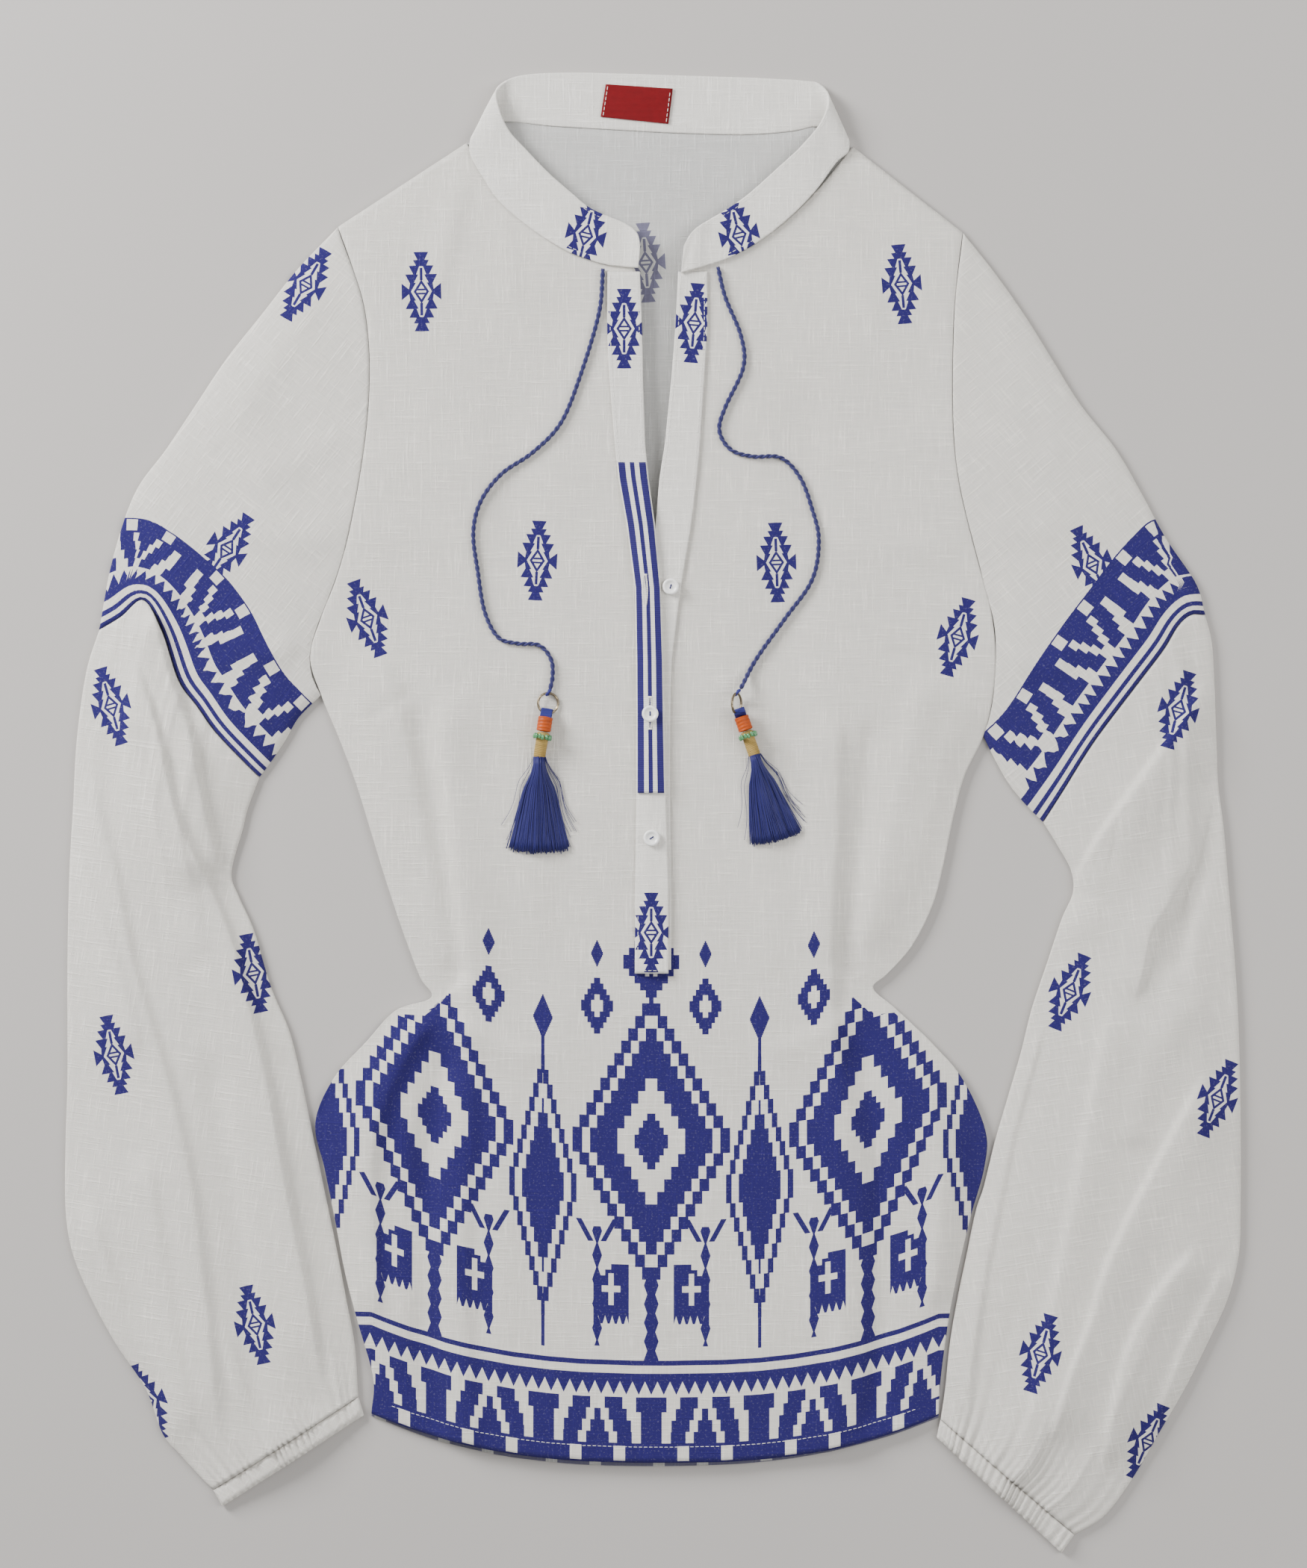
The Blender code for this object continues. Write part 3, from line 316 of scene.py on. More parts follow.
LOWER_INNER = {
    "left": [
        (-211, 19), (-217, 3), (-220, -9), (-226, -32), (-222, -45), (-214, -63), (-205, -93), (-195, -117),
        (-189, -141),
        (-184, -165), (-179, -189), (-174, -213), (-169, -237), (-164.5, -261), (-160, -285), (-158, -313),
    ],
    "right": [
        (209, -5), (217, -18), (224, -31), (225, -43), (219, -57), (211, -81), (203, -105), (197, -129),
        (190, -153),
        (183, -177), (177, -201), (173, -213), (168, -237), (163, -261), (159, -285), (156.5, -309),
        (154, -325),
    ],
}
CUFF_LOWER = {"left": [(-231, -372), (-155, -323)], "right": [(219, -397), (152, -335)]}
# The upper edge of the printed trim above each sleeve seam.
TRIM_EDGE = {
    "left": [
        (-296, 158), (-282, 158), (-272, 157), (-261, 152), (-246, 141), (-229, 126), (-216, 109), (-207, 91),
        (-198, 75), (-190, 66), (-178, 54)
    ],
    "right": [
        (282, 158), (268, 157), (260, 151), (247, 137), (234, 120), (221, 103), (205, 80), (189, 55),
        (175, 41)
    ],
}
print("sleeve lines for", ", ".join(ARMHOLE))

# %% Lines of the body, neck and placket
# Columns: left edge x, y, right edge x, y, height of the row at the centre.
SIDE_ROWS = [
    (-168, 39, 167, 20, 32),
    (-159, 15, 161, -2, 8),
    (-151, -11, 156, -26, -18),
    (-143, -37, 150, -49, -42),
    (-134, -64, 139, -71, -65),
    (-125, -88, 126, -86, -84),
    (-119, -99, 118, -94, -98),
    (-138, -106, 130, -105, -111),
    (-154, -123, 150, -124, -128),
    (-171, -142, 166, -143, -149),
    (-181, -166, 178, -170, -174),
    (-176, -191, 177.5, -190, -199),
    (-170.5, -218, 170, -217, -226),
    (-165, -247, 163, -247, -256),
    (-158, -274, 158, -274, -285),
    (-150, -303, 154, -304, -320),
    (-151, -322, 153, -323, -348),
]
HEM_BEND = 2.5
NECK = {
    "left": [(-100, 359), (-95, 349), (-89, 341), (-80, 329), (-64, 315), (-46, 303), (-28, 297), (-11, 293)],
    "right": [(107, 357), (102, 347), (95, 341), (85.5, 331), (71, 317), (55, 304.5), (39, 297), (18, 290)],
}
ARMHOLE_STEPS = 12
NECK_ROWS = 4
SLIT_ROWS_Y = [264, 235, 206, 178, 150, 118, 87, 56]
SLIT_END_ROW = 9
# Columns: y, over band's seam, over band's free edge, under band's free edge, under band's seam.
PLACKET_ROWS = [
    (293, -24.6, -7.2, 13.6, 29.0),
    (258, -24.6, -5.8, 11.8, 29.0),
    (233, -23.4, -5.4, 9.8, 27.4),
    (197, -20.5, -4.2, 6.2, 25.0),
    (179, -18.6, -2.4, 3.4, 23.4),
    (154, -14.2, 1.0, 1.2, 20.4),
    (120, -9.8, 4.2, -3.0, 14.8),
    (82, -9.2, 5.4, -3.6, 10.0),
    (53, -9.0, 5.8, -3.4, 9.2),
    (11, -9.0, 6.6, -3.0, 9.0),
    (-37, -9.6, 8.2, -3.0, 9.6),
    (-86, -9.8, 8.2, -3.0, 9.6),
]
PLACKET_TOP, PLACKET_END, UNDER_END = 289.5, -86.0, -84.0
TAPE_TOP, TAPE_END, TAPE_INSET = 187.5, 10.6, 0.4
LAP_START, LAP_FULL, LAP_SHARE = 178.0, 160.0, 0.36
LAP_RISE = CLOTH + SEAM
SLIT_INSET = 4.0
BESIDE_PLACKET = -16.0
CENTRE_STRIP = (34.0, 56.0)
BACK_SEAM = [(-81, 370.6), (-54, 368.2), (-27, 366.6), (10, 364.6), (48, 363.6), (74, 365.4), (87, 367.8)]
BACK_SEAM_TOP = [(-67, 396), (-46, 397), (-22, 396.6), (10, 395.6), (48, 394.4), (71, 393.4), (81, 392.6)]
BACK_CORNERS = {
    "left": [(-134, 336.5), (-101, 358), (-91, 363.4)], "right": [(97, 362.4), (107, 355.6), (137, 331)]
}
print("the placket runs", PLACKET_TOP - PLACKET_END, "mm")

# %% [markdown]
# The largest folds are named one by one, as a soft rise or trough along a drawn line. A fold has a
# steep side and a long side, so its width to the left and to the right of the line differ. The finer
# creases follow in a second table: they are what a hand leaves when it lays the cloth down.

# %% Folds
# Columns: height, width to the left and to the right of the line as it runs, points.
FOLDS = {
    "lower_left": [
        (4.6, 2.2, 24, [(-269, 116), (-259, 74), (-249, 46), (-242, 10), (-237, -12), (-229, -40)]),
        (4.2, 2.2, 17, [
            (-286, 96), (-271, 62), (-262, 29), (-254, -5), (-239, -36), (-226, -68), (-218, -97),
            (-208, -139), (-203, -165), (-194, -215), (-184, -265), (-176, -318)
        ]),
        (3.4, 4, 15, [
            (-306, 38), (-299, 3), (-289, -31), (-281, -75), (-271, -109), (-262, -139), (-255, -165),
            (-247, -205), (-240, -262), (-232, -345)
        ]),
        (2.2, 7, 9, [(-284, 64), (-275, 24), (-263, -11), (-252, -40), (-243, -84)]),
        (2.6, 4, 12, [(-311, -14), (-303, -42), (-294, -62), (-283, -97), (-274, -132)]),
        (-2.2, 7, 9, [(-236, -120), (-230, -170), (-222, -225), (-214, -290), (-206, -345)]),
        (3.2, 4, 14, [(-304, -205), (-292, -246), (-276, -285), (-258, -330), (-246, -352)]),
        (2.6, 5, 12, [(-272, -178), (-265, -232), (-258, -276), (-247, -338)]),
    ],
    "lower_right": [
        (4.8, 24, 2.2, [(298, 72), (271, 31), (252, 5), (239, -14), (226, -38), (217, -56), (211, -72)]),
        (-3.6, 6, 9, [(301, 30), (296, -12), (288, -46), (281, -70), (277, -92)]),
        (2.8, 2.2, 13, [(302, 18), (291, -20), (277, -47), (266, -64), (262, -82), (256, -104)]),
        (4.4, 20, 2.2, [
            (298, -138), (281, -168), (267, -194), (254, -219), (242, -246), (233, -276), (222, -304),
            (212, -340)
        ]),
        (3.2, 14, 2.2, [(292, -232), (270, -258), (256, -284), (249, -308), (240, -352)]),
        (2.6, 12, 2.2, [(308, -240), (294, -268), (283, -290), (273, -316), (258, -346)]),
        (3.4, 15, 4, [
            (248, -96), (238, -142), (231, -182), (224, -217), (217, -252), (207, -305), (196, -350)
        ]),
        (2.8, 2.2, 10, [
            (211, -104), (200, -143), (192, -172), (185, -206), (178, -240), (171, -286), (166, -330)
        ]),
        (2.2, 12, 10, [(290, -96), (272, -122), (262, -150), (256, -182)]),
    ],
    "body": [
        (2.4, 7, 16, [(-150, 96), (-139, 59), (-131, 24), (-124, -6), (-117, -40), (-111, -68), (-107, -92)]),
        (-2.2, 5, 7, [(-126, 64), (-121, 24), (-115, -14), (-109, -48), (-105, -78), (-104, -104)]),
        (3.0, 15, 4, [
            (-114, 70), (-110, 30), (-106, -10), (-103, -44), (-100, -72), (-99, -104), (-103, -140)
        ]),
        (2.4, 16, 7, [(148, 80), (138, 40), (130, 0), (122, -40), (112, -78)]),
        (-2.2, 7, 5, [(118, 56), (112, 10), (107, -30), (103, -70), (104, -100)]),
        (3.0, 4, 15, [(98, 60), (98, 0), (96, -40), (95, -80), (96, -112), (103, -150)]),
        (4.2, 5, 16, [(-114, -102), (-136, -134), (-150, -172), (-152, -215), (-148, -275)]),
        (4.2, 16, 5, [(114, -96), (138, -130), (152, -172), (153, -215), (149, -275)]),
        (-2.8, 7, 9, [(-107, -112), (-116, -160), (-122, -210), (-122, -270), (-116, -345)]),
        (-2.8, 9, 7, [(106, -112), (117, -160), (123, -210), (123, -270), (116, -345)]),
        (2.6, 6, 12, [(-100, -124), (-99, -170), (-103, -225), (-101, -290), (-96, -350)]),
        (2.4, 12, 6, [(97, -124), (98, -170), (102, -225), (100, -290), (95, -350)]),
    ],
}
FOLD_FADE = 0.12
CREASES = {
    "body": [
        (1.7, 3, 8, [(-122, -108), (-112, -101), (-103, -94), (-96, -84)]),
        (1.7, 8, 3, [(119, -105), (109, -97), (101, -89), (94, -79)]),
        (-1.3, 12, 16, [(86, 262), (83, 205), (79, 150), (74, 96), (72, 40)]),
        (-1.1, 16, 12, [(-84, 270), (-80, 215), (-76, 160), (-78, 100), (-82, 40)]),
        (1.4, 5, 9, [(-99, 352), (-104, 330), (-112, 296), (-118, 262)]),
        (0.7, 4, 7, [(-84, 329), (-76, 300), (-72, 268)]),
        (0.8, 6, 9, [(96, 342), (104, 312), (116, 280), (124, 250)]),
        (0.7, 8, 12, [(-166, 160), (-140, 150), (-112, 146), (-80, 150)]),
        (0.6, 8, 10, [(-160, 205), (-134, 190), (-104, 186), (-74, 192)]),
        (0.7, 9, 7, [(172, 150), (146, 142), (118, 144), (84, 152)]),
        (0.6, 8, 11, [(164, 208), (138, 196), (108, 190), (72, 196)]),
        (-0.8, 3, 3, [(-159, 47), (-140, 58), (-122, 69)]),
        (-0.7, 3, 3, [(120, 88), (133, 85), (146, 83)]),
        (1.2, 7, 12, [(-176, 88), (-158, 60), (-146, 20), (-132, -40)]),
        (1.0, 9, 7, [(178, 70), (160, 40), (146, -10), (132, -56)]),
        (1.4, 5, 9, [(-118, -101), (-96, -118), (-74, -128), (-50, -130)]),
        (1.3, 9, 5, [(118, -97), (98, -114), (76, -124), (54, -128)]),
        (1.1, 8, 8, [(-126, -110), (-132, -170), (-128, -240), (-134, -300)]),
        (1.0, 8, 8, [(84, -140), (88, -200), (86, -270), (92, -330)]),
        (0.9, 10, 8, [(-78, -150), (-82, -210), (-80, -280), (-84, -330)]),
        (0.8, 9, 9, [(-60, 40), (-64, -10), (-62, -60), (-66, -100)]),
        (0.8, 9, 9, [(64, 44), (60, -12), (66, -64), (62, -104)]),
    ],
    "upper_left": [
        (1.3, 9, 16, [(-172, 296), (-190, 262), (-214, 226), (-238, 196)]),
        (1.4, 8, 12, [(-160, 150), (-182, 146), (-206, 148), (-236, 160)]),
        (1.0, 10, 8, [(-158, 214), (-178, 196), (-202, 184), (-230, 180)]),
        (1.2, 6, 8, [(-184, 96), (-196, 88), (-212, 84), (-230, 96)]),
        (1.6, 5, 7, [(-290, 128), (-276, 120), (-262, 118), (-248, 112)]),
    ],
    "upper_right": [
        (1.2, 16, 9, [(170, 292), (190, 258), (212, 222), (236, 192)]),
        (1.3, 12, 8, [(166, 160), (186, 152), (208, 152), (236, 160)]),
        (1.0, 8, 9, [(164, 216), (184, 200), (206, 190), (232, 188)]),
        (1.1, 8, 6, [(184, 88), (198, 80), (214, 78), (232, 90)]),
    ],
}
print(*[sum(map(len, table.values())) for table in (FOLDS, CREASES)], "folds and creases")


# %% Curves and distances
def refine(points, per_span):
    """Catmull-Rom curve through the points along the first axis: on each span a cubic in t whose slope at a
    point is half the step between its neighbours.
    """
    knots = np.asarray(points, float)
    padded = np.concatenate([2 * knots[:1] - knots[1:2], knots, 2 * knots[-1:] - knots[-2:-1]])
    p0, p1, p2, p3 = (padded[k : len(padded) - 3 + k][:, None] for k in range(4))
    t = (np.arange(per_span) / per_span).reshape((1, per_span) + (1,) * (knots.ndim - 1))
    bend = (2 * p0 - 5 * p1 + 4 * p2 - p3) * t**2 + (3 * p1 - p0 - 3 * p2 + p3) * t**3
    curve = p1 + 0.5 * ((p2 - p0) * t + bend)
    return np.concatenate([curve.reshape((-1,) + knots.shape[1:]), knots[-1:]])


def reach_along(line):
    """Distance along a line at each of its points: the running sum of its steps."""
    return np.concatenate([[0], np.cumsum(np.linalg.norm(np.diff(line, axis=0), axis=1))])


def length_of(line):
    """Length of a line: the sum of its steps."""
    return float(reach_along(line)[-1])


def unit(vectors):
    """Each vector divided by its length."""
    return vectors / np.linalg.norm(vectors, axis=-1, keepdims=True)


def along(points, shares):
    """Points at these shares of the length of the smooth curve through the points."""
    line = refine(points, 14)
    reach = reach_along(line)
    return np.stack([np.interp(np.array(shares) * reach[-1], reach, axis) for axis in line.T], axis=-1)


def sideways(line):
    """Unit vectors to the right of a plan line: the line's direction turned a quarter clockwise."""
    run = unit(np.gradient(np.array(line, float), axis=0))
    return np.stack([run[:, 1], -run[:, 0]], axis=-1)


def nearest_on(x, y, line):
    """Distance from each plan point to a polyline, positive on its left, and the share of its length there:
    each segment is tried in turn and the closest kept.
    """
    x, y = np.asarray(x, float), np.asarray(y, float)
    lengths = np.linalg.norm(np.diff(line, axis=0), axis=1)
    before = np.concatenate([[0], np.cumsum(lengths)[:-1]])
    best, side, share = np.full(x.shape, np.inf), np.zeros(x.shape), np.zeros(x.shape)
    for (ax, ay), (bx, by), length, gone in zip(line[:-1], line[1:], lengths, before):
        ux, uy = (bx - ax) / length, (by - ay) / length
        run = np.clip((x - ax) * ux + (y - ay) * uy, 0, length)
        distance = np.hypot(x - ax - run * ux, y - ay - run * uy)
        closer = distance < best
        best = np.where(closer, distance, best)
        side = np.where(closer, np.sign(ux * (y - ay) - uy * (x - ax)), side)
        share = np.where(closer, (gone + run) / lengths.sum(), share)
    return best * np.where(side < 0, -1, 1), share


def ease(value):
    """Smooth step from 0 to 1: t squared times (3 - 2t)."""
    value = np.clip(value, 0, 1)
    return value * value * (3 - 2 * value)


print("armhole", round(length_of(refine(ARMHOLE["left"], 14))), "mm")


# %% Height of the laid cloth
def outline_edges():
    """The outer lines of the whole garment as it lies: each sleeve's two sides and each side of the body."""
    edges = []
    for side, column in (("left", 0), ("right", 2)):
        edges.append(np.array([NECK[side][0], *UPPER_OUTER[side], *LOWER_OUTER[side][1:]], float))
        edges.append(np.array([*UPPER_INNER[side], *LOWER_INNER[side][1:]], float))
        body = [(row[column], row[column + 1]) for row in SIDE_ROWS]
        edges.append(np.array([ARMHOLE[side][-1], *body], float))
    return edges


def fold_heights(x, y, where, table, fade_share):
    """Sum over the folds of height times exp(-(distance / width)^2), faded in and out along each line."""
    total = np.zeros(np.shape(x))
    for rise, left, right, points in table.get(where, []):
        distance, share = nearest_on(x, y, refine(points, 4))
        width = np.where(distance > 0, left, right)
        faded = rise * ease(share / fade_share) * ease((1 - share) / fade_share)
        total += faded * np.exp(-((distance / width) ** 2))
    return total


WAVES = [
    (0.0061, 0.0043, 0.4, 0.42), (0.0037, -0.0094, 1.9, 0.3), (-0.0102, 0.0066, 4.1, 0.22),
    (0.0171, 0.0083, 2.6, 0.1)
]


def cloth_top(x, y, where, loft):
    """Rim height, plus loft times (1 - exp(-distance to the edge / reach)), plus the folds, the creases and a
    slow uneven ripple.
    """
    x, y = np.asarray(x, float), np.asarray(y, float)
    inside = np.min([np.abs(nearest_on(x, y, edge)[0]) for edge in outline_edges()], axis=0)
    height = RIM_TOP + loft * (1 - np.exp(-inside / LOFT_REACH))
    folds = fold_heights(x, y, where, FOLDS, FOLD_FADE) + fold_heights(x, y, where, CREASES, 0.3)
    folds += sum(rise * np.sin(math.tau * (fx * x + fy * y) + turn) for fx, fy, turn, rise in WAVES)
    calm = ease((np.abs(x - 1.0) - CENTRE_STRIP[0]) / (CENTRE_STRIP[1] - CENTRE_STRIP[0]))
    folds *= np.where(where == "body", calm, 1.0) * (1 - np.exp(-inside / 9.0))
    return np.maximum(height + folds, RIM_TOP)


def under_side(x, y, top, where, loft):
    """The wall's lower face: the cloth's thickness below the top, more on a slope, and clear of the layer
    below.
    """
    step = 1.0
    slope_x = (cloth_top(x + step, y, where, loft) - cloth_top(x - step, y, where, loft)) / (2 * step)
    slope_y = (cloth_top(x, y + step, where, loft) - cloth_top(x, y - step, where, loft)) / (2 * step)
    depth = CLOTH * np.minimum(np.sqrt(1 + slope_x**2 + slope_y**2), 1.8)
    return np.maximum(top - depth, CLOTH + SEAM)


print("highest point on the chest line", round(float(cloth_top(60.0, 150.0, "body", BODY_LOFT)), 2), "mm")

# %% [markdown]
# A printed cloth needs its pattern to stay on the weave, so each mesh carries three flat maps in metres.
# "grain" is the thread direction. "trim" holds the distance along and away from the printed border. "motif"
# holds, on each face, the place seen from the nearest small diamond: one shader then draws them all.

# %% Mesh makers
MOTIFS = {
    "front_panel": [
        (-124, 279, 1), (-62, 135, -3), (66, 134, 2), (-153, 104, 20), (163, 94, -16), (133, 283, 5)
    ],
    "back_panel": [(-4, 295, 4), (-90, 180, 0), (92, 180, 0)],
    "placket_over": [(-15.5, 259, 0), (-1, -64, 0)],
    "placket_under": [(22, 262, -5)],
    "collar": [(-36, 309, -14), (46, 309, 14)],
    "sleeve_upper_left": [(-186, 283, -30), (-228, 141, -34)],
    "sleeve_upper_right": [(235, 133, 24)],
    "sleeve_lower_left": [
        (-290, 57, 16), (-288.5, -129.5, 11), (-214, -86, 11), (-213, -274, 13), (-271, -316, 22)
    ],
    "sleeve_lower_right": [
        (281, 55, -17), (223, -96, -22), (302, -153, -22), (207, -289, -15), (265, -337, -23)
    ],
}
NO_MOTIF = [(2000, 2000, 0)]


def grid_faces(rows, columns, wrap=False, cells=None):
    """Four-cornered faces of a grid of points; with wrap the last column joins the first."""
    i, j = np.meshgrid(np.arange(rows - 1), np.arange(columns if wrap else columns - 1), indexing="ij")
    k = (j + 1) % columns
    quads = np.stack(
        [i * columns + j, i * columns + k, (i + 1) * columns + k, (i + 1) * columns + j], axis=-1
    )
    return quads.reshape(-1, 4) if cells is None else quads[cells].reshape(-1, 4)


def motif_map(plan, corners, placements):
    """For each face the nearest placement is chosen by the face's middle; a corner's map is its place from
    that centre, turned back by the motif's tilt.
    """
    table = np.array(placements, float)
    middle = plan[corners].mean(axis=1)
    chosen = table[np.argmin(np.linalg.norm(middle[:, None] - table[None, :, :2], axis=2), axis=1)]
    offset = plan[corners] - chosen[:, None, :2]
    turn = np.radians(chosen[:, 2])[:, None]
    x = offset[..., 0] * np.cos(turn) + offset[..., 1] * np.sin(turn)
    y = offset[..., 1] * np.cos(turn) - offset[..., 0] * np.sin(turn)
    return np.stack([x, y], axis=-1)


def add_mesh(name, points, faces, material, maps=None, smooth=True):
    """Writes whole arrays into a mesh: points in millimetres, faces as rows of 3 or 4, maps as one row a
    corner in millimetres. The volume is a sixth of the sum of a . (b x c) over the fans; where it is
    negative the faces are turned.
    """
    points, faces = np.asarray(points, float), np.asarray(faces)
    fan = points - points[faces].reshape(-1, 3).mean(axis=0)
    tips = [fan[faces[:, k]] for k in range(faces.shape[1])]
    volume = sum(
        np.einsum("ij,ij->", tips[0], np.cross(tips[k], tips[k + 1])) for k in range(1, len(tips) - 1)
    )
    if volume < 0:
        faces = faces[:, ::-1]
        maps = {
            title: np.asarray(values).reshape(len(faces), -1, 2)[:, ::-1]
            for title, values in (maps or {}).items()
        }
    used = np.unique(faces)
    renumber = np.zeros(len(points), int)
    renumber[used] = np.arange(len(used))
    mesh = bpy.data.meshes.new(name)
    mesh.vertices.add(len(used))
    mesh.vertices.foreach_set("co", (points[used] * MM).astype(np.float32).ravel())
    size = faces.shape[1]
    mesh.loops.add(faces.size)
    mesh.loops.foreach_set("vertex_index", renumber[faces].astype(np.int32).ravel())
    mesh.polygons.add(len(faces))
    mesh.polygons.foreach_set("loop_start", np.arange(0, faces.size, size, dtype=np.int32))
    mesh.polygons.foreach_set("use_smooth", np.full(len(faces), smooth))
    mesh.update(calc_edges=True)
    for title, values in (maps or {}).items():
        layer = mesh.uv_layers.new(name=title)
        layer.uv.foreach_set("vector", (np.asarray(values).reshape(-1, 2) * MM).astype(np.float32).ravel())
    mesh.materials.append(material)
    mesh.validate()
    thing = bpy.data.objects.new(name, mesh)
    bpy.context.scene.collection.objects.link(thing)
    return thing


print("motif places", sum(len(places) for places in MOTIFS.values()))

# %% [markdown]
# The finishes. Thread, print and trim are used on many pieces, so each is a node group that puts out a
# colour factor, a mask or a height, and each material mixes them with its own colours. A block print is
# charted here as a cutter of printing blocks would: widths given tier by tier from the middle outwards.

# %% Wiring helper
class Wires:
    """Adds nodes to one tree: numbers go to a socket's value and sockets are linked. Words for Math nodes
    follow it.
    """

    def __init__(self, tree):
        self.tree = tree

    def node(self, kind, inputs=None, **settings):
        node = self.tree.nodes.new(kind)
        for name, value in settings.items():
            setattr(node, name, value)
        for key, value in (inputs or {}).items():
            self.put(node.inputs[key], value)
        return node

    def put(self, socket, value):
        if isinstance(value, bpy.types.NodeSocket):
            self.tree.links.new(value, socket)
        else:
            socket.default_value = value

    def calc(self, operation, *values):
        """One Math node."""
        node = self.tree.nodes.new("ShaderNodeMath")
        node.operation = operation
        for socket, value in zip(node.inputs, values):
            self.put(socket, value)
        return node.outputs[0]

    def all(self, *masks):
        """Where every mask is 1."""
        return functools.reduce(self.times, masks)

    def any(self, *masks):
        """Where at least one mask is 1."""
        return functools.reduce(self.higher, masks)

    def without(self, mask, hole):
        """A mask with a hole cut in it."""
        return self.times(mask, self.minus(1.0, hole))

    def between(self, value, low, high):
        """Where a value lies between two levels."""
        return self.all(self.more(value, low), self.less(value, high))

    def in_mm(self, metres):
        return self.times(metres, PER_METRE)

    def uv(self, name):
        return self.node("ShaderNodeUVMap", uv_map=name).outputs[0]

    def place(self):
        return self.node("ShaderNodeTexCoord").outputs["Object"]

    def axes(self, place):
        return self.node("ShaderNodeSeparateXYZ", {"Vector": place}).outputs

    def noise(self, place, scale, detail, roughness=0.5):
        inputs = {"Vector": place, "Scale": scale, "Detail": detail, "Roughness": roughness}
        return self.node("ShaderNodeTexNoise", inputs).outputs[0]

    def window(self, value, low, high, least=0.0, most=1.0):
        """The part of a value between low and high, stretched from least to most."""
        inputs = {"Value": value, "From Min": low, "From Max": high, "To Min": least, "To Max": most}
        return self.node("ShaderNodeMapRange", inputs).outputs[0]

    def bump(self, shader, strength, distance, height):
        node = self.node("ShaderNodeBump", {"Strength": strength, "Distance": distance, "Height": height})
        self.put(shader.inputs["Normal"], node.outputs[0])

    def chart(self, value, tiers, reach):
        """A charted width: tiers are rows of (low, width there, high, width there), read from 0 to reach."""
        node = self.node("ShaderNodeFloatCurve", {"Value": self.over(value, reach)})
        curve = node.mapping.curves[0]
        dots = [
            dot for low, width_low, high, width_high in tiers
            for dot in ((low + 0.02, width_low), (high - 0.02, width_high))
        ]
        dots += [(tiers[-1][2] + 0.02, 0.0), (reach, 0.0)]
        curve.points[0].location = (0.0, dots[0][1] / reach)
        curve.points[1].location = (1.0, 0.0)
        for x, y in dots[1:-1]:
            curve.points.new(x / reach, y / reach)
        for point in curve.points:
            point.handle_type = "VECTOR"
        node.mapping.update()
        return self.times(node.outputs[0], reach)


def new_group(name, inputs, outputs):
    """A shader node group with named number or vector inputs and outputs; gives its wires and its input
    sockets.
    """
    tree = bpy.data.node_groups.new(name, "ShaderNodeTree")
    for title, kind in inputs:
        tree.interface.new_socket(title, in_out="INPUT", socket_type=kind)
    for title, kind in outputs:
        tree.interface.new_socket(title, in_out="OUTPUT", socket_type=kind)
    wires = Wires(tree)
    entry = tree.nodes.new("NodeGroupInput")
    leave = tree.nodes.new("NodeGroupOutput")
    return tree, wires, entry.outputs, leave.inputs


NUMBER, VECTOR = "NodeSocketFloat", "NodeSocketVector"
PER_METRE = 1000.0
MATHS = {
    "plus": "ADD", "minus": "SUBTRACT", "times": "MULTIPLY", "over": "DIVIDE", "scaled": "MULTIPLY_ADD",
    "size": "ABSOLUTE",
    "less": "LESS_THAN", "more": "GREATER_THAN", "higher": "MAXIMUM", "floor": "FLOOR", "zigzag": "PINGPONG",
    "sine": "SINE",
}
for word, operation in MATHS.items():
    setattr(Wires, word, functools.partialmethod(Wires.calc, operation))
print(len(MATHS), "words for Math nodes")

# %% Slub cloth: thick and thin threads both ways
def make_slub_group():
    """Two noises, each drawn out along one thread direction, make the slubs. Above a level they count as
    thick threads. Two crossed sines make the weave.
    """
    tree, w, given, out = new_group(
        "slub_cloth", [("Place", VECTOR), ("Pitch", NUMBER)], [("Shade", NUMBER), ("Height", NUMBER)]
    )
    streaks = []
    for stretch, detail in (((42.0, 900.0, 1.0), 2.0), ((820.0, 48.0, 1.0), 2.0)):
        place = w.node(
            "ShaderNodeMapping", {"Vector": given["Place"], "Scale": stretch}, vector_type="POINT"
        ).outputs[0]
        streaks.append(w.noise(place, 1.0, detail, 0.6))
    thick = [w.window(streak, 0.57, 0.68) for streak in streaks]
    blotch = w.noise(given["Place"], 26.0, 3.0)
    axes = w.axes(given["Place"])
    turns = w.over(math.tau, given["Pitch"])
    warp = w.sine(w.times(axes[0], turns))
    weft = w.sine(w.times(axes[1], turns))
    weave = w.times(warp, weft)
    mean = w.plus(streaks[0], streaks[1])
    shade = w.scaled(mean, 0.22, 0.745)
    shade = w.scaled(w.plus(thick[0], thick[1]), 0.10, shade)
    shade = w.scaled(w.minus(blotch, 0.5), 0.05, shade)
    shade = w.scaled(weave, 0.02, shade)
    w.put(out["Shade"], shade)
    rise = w.scaled(weave, 0.35, w.times(mean, 0.9))
    w.put(out["Height"], w.plus(rise, w.times(w.plus(thick[0], thick[1]), 0.5)))
    return tree


SLUB = make_slub_group()
print("group", SLUB.name)

# %% Small serrated diamond of the block print
DIAMOND_TIERS = [
    (0, 6.9, 4.6, 6.1), (4.6, 6.2, 9.3, 8.6), (9.3, 4.3, 14, 6.7), (14, 2.8, 17, 4.3), (17, 1.9, 21.3, 4.0)
]
CHANNEL_TIERS = [(0, 5.6, 4.8, 2.9), (4.8, 3.9, 9.2, 1.6), (9.2, 2.7, 13.6, 1.0)]


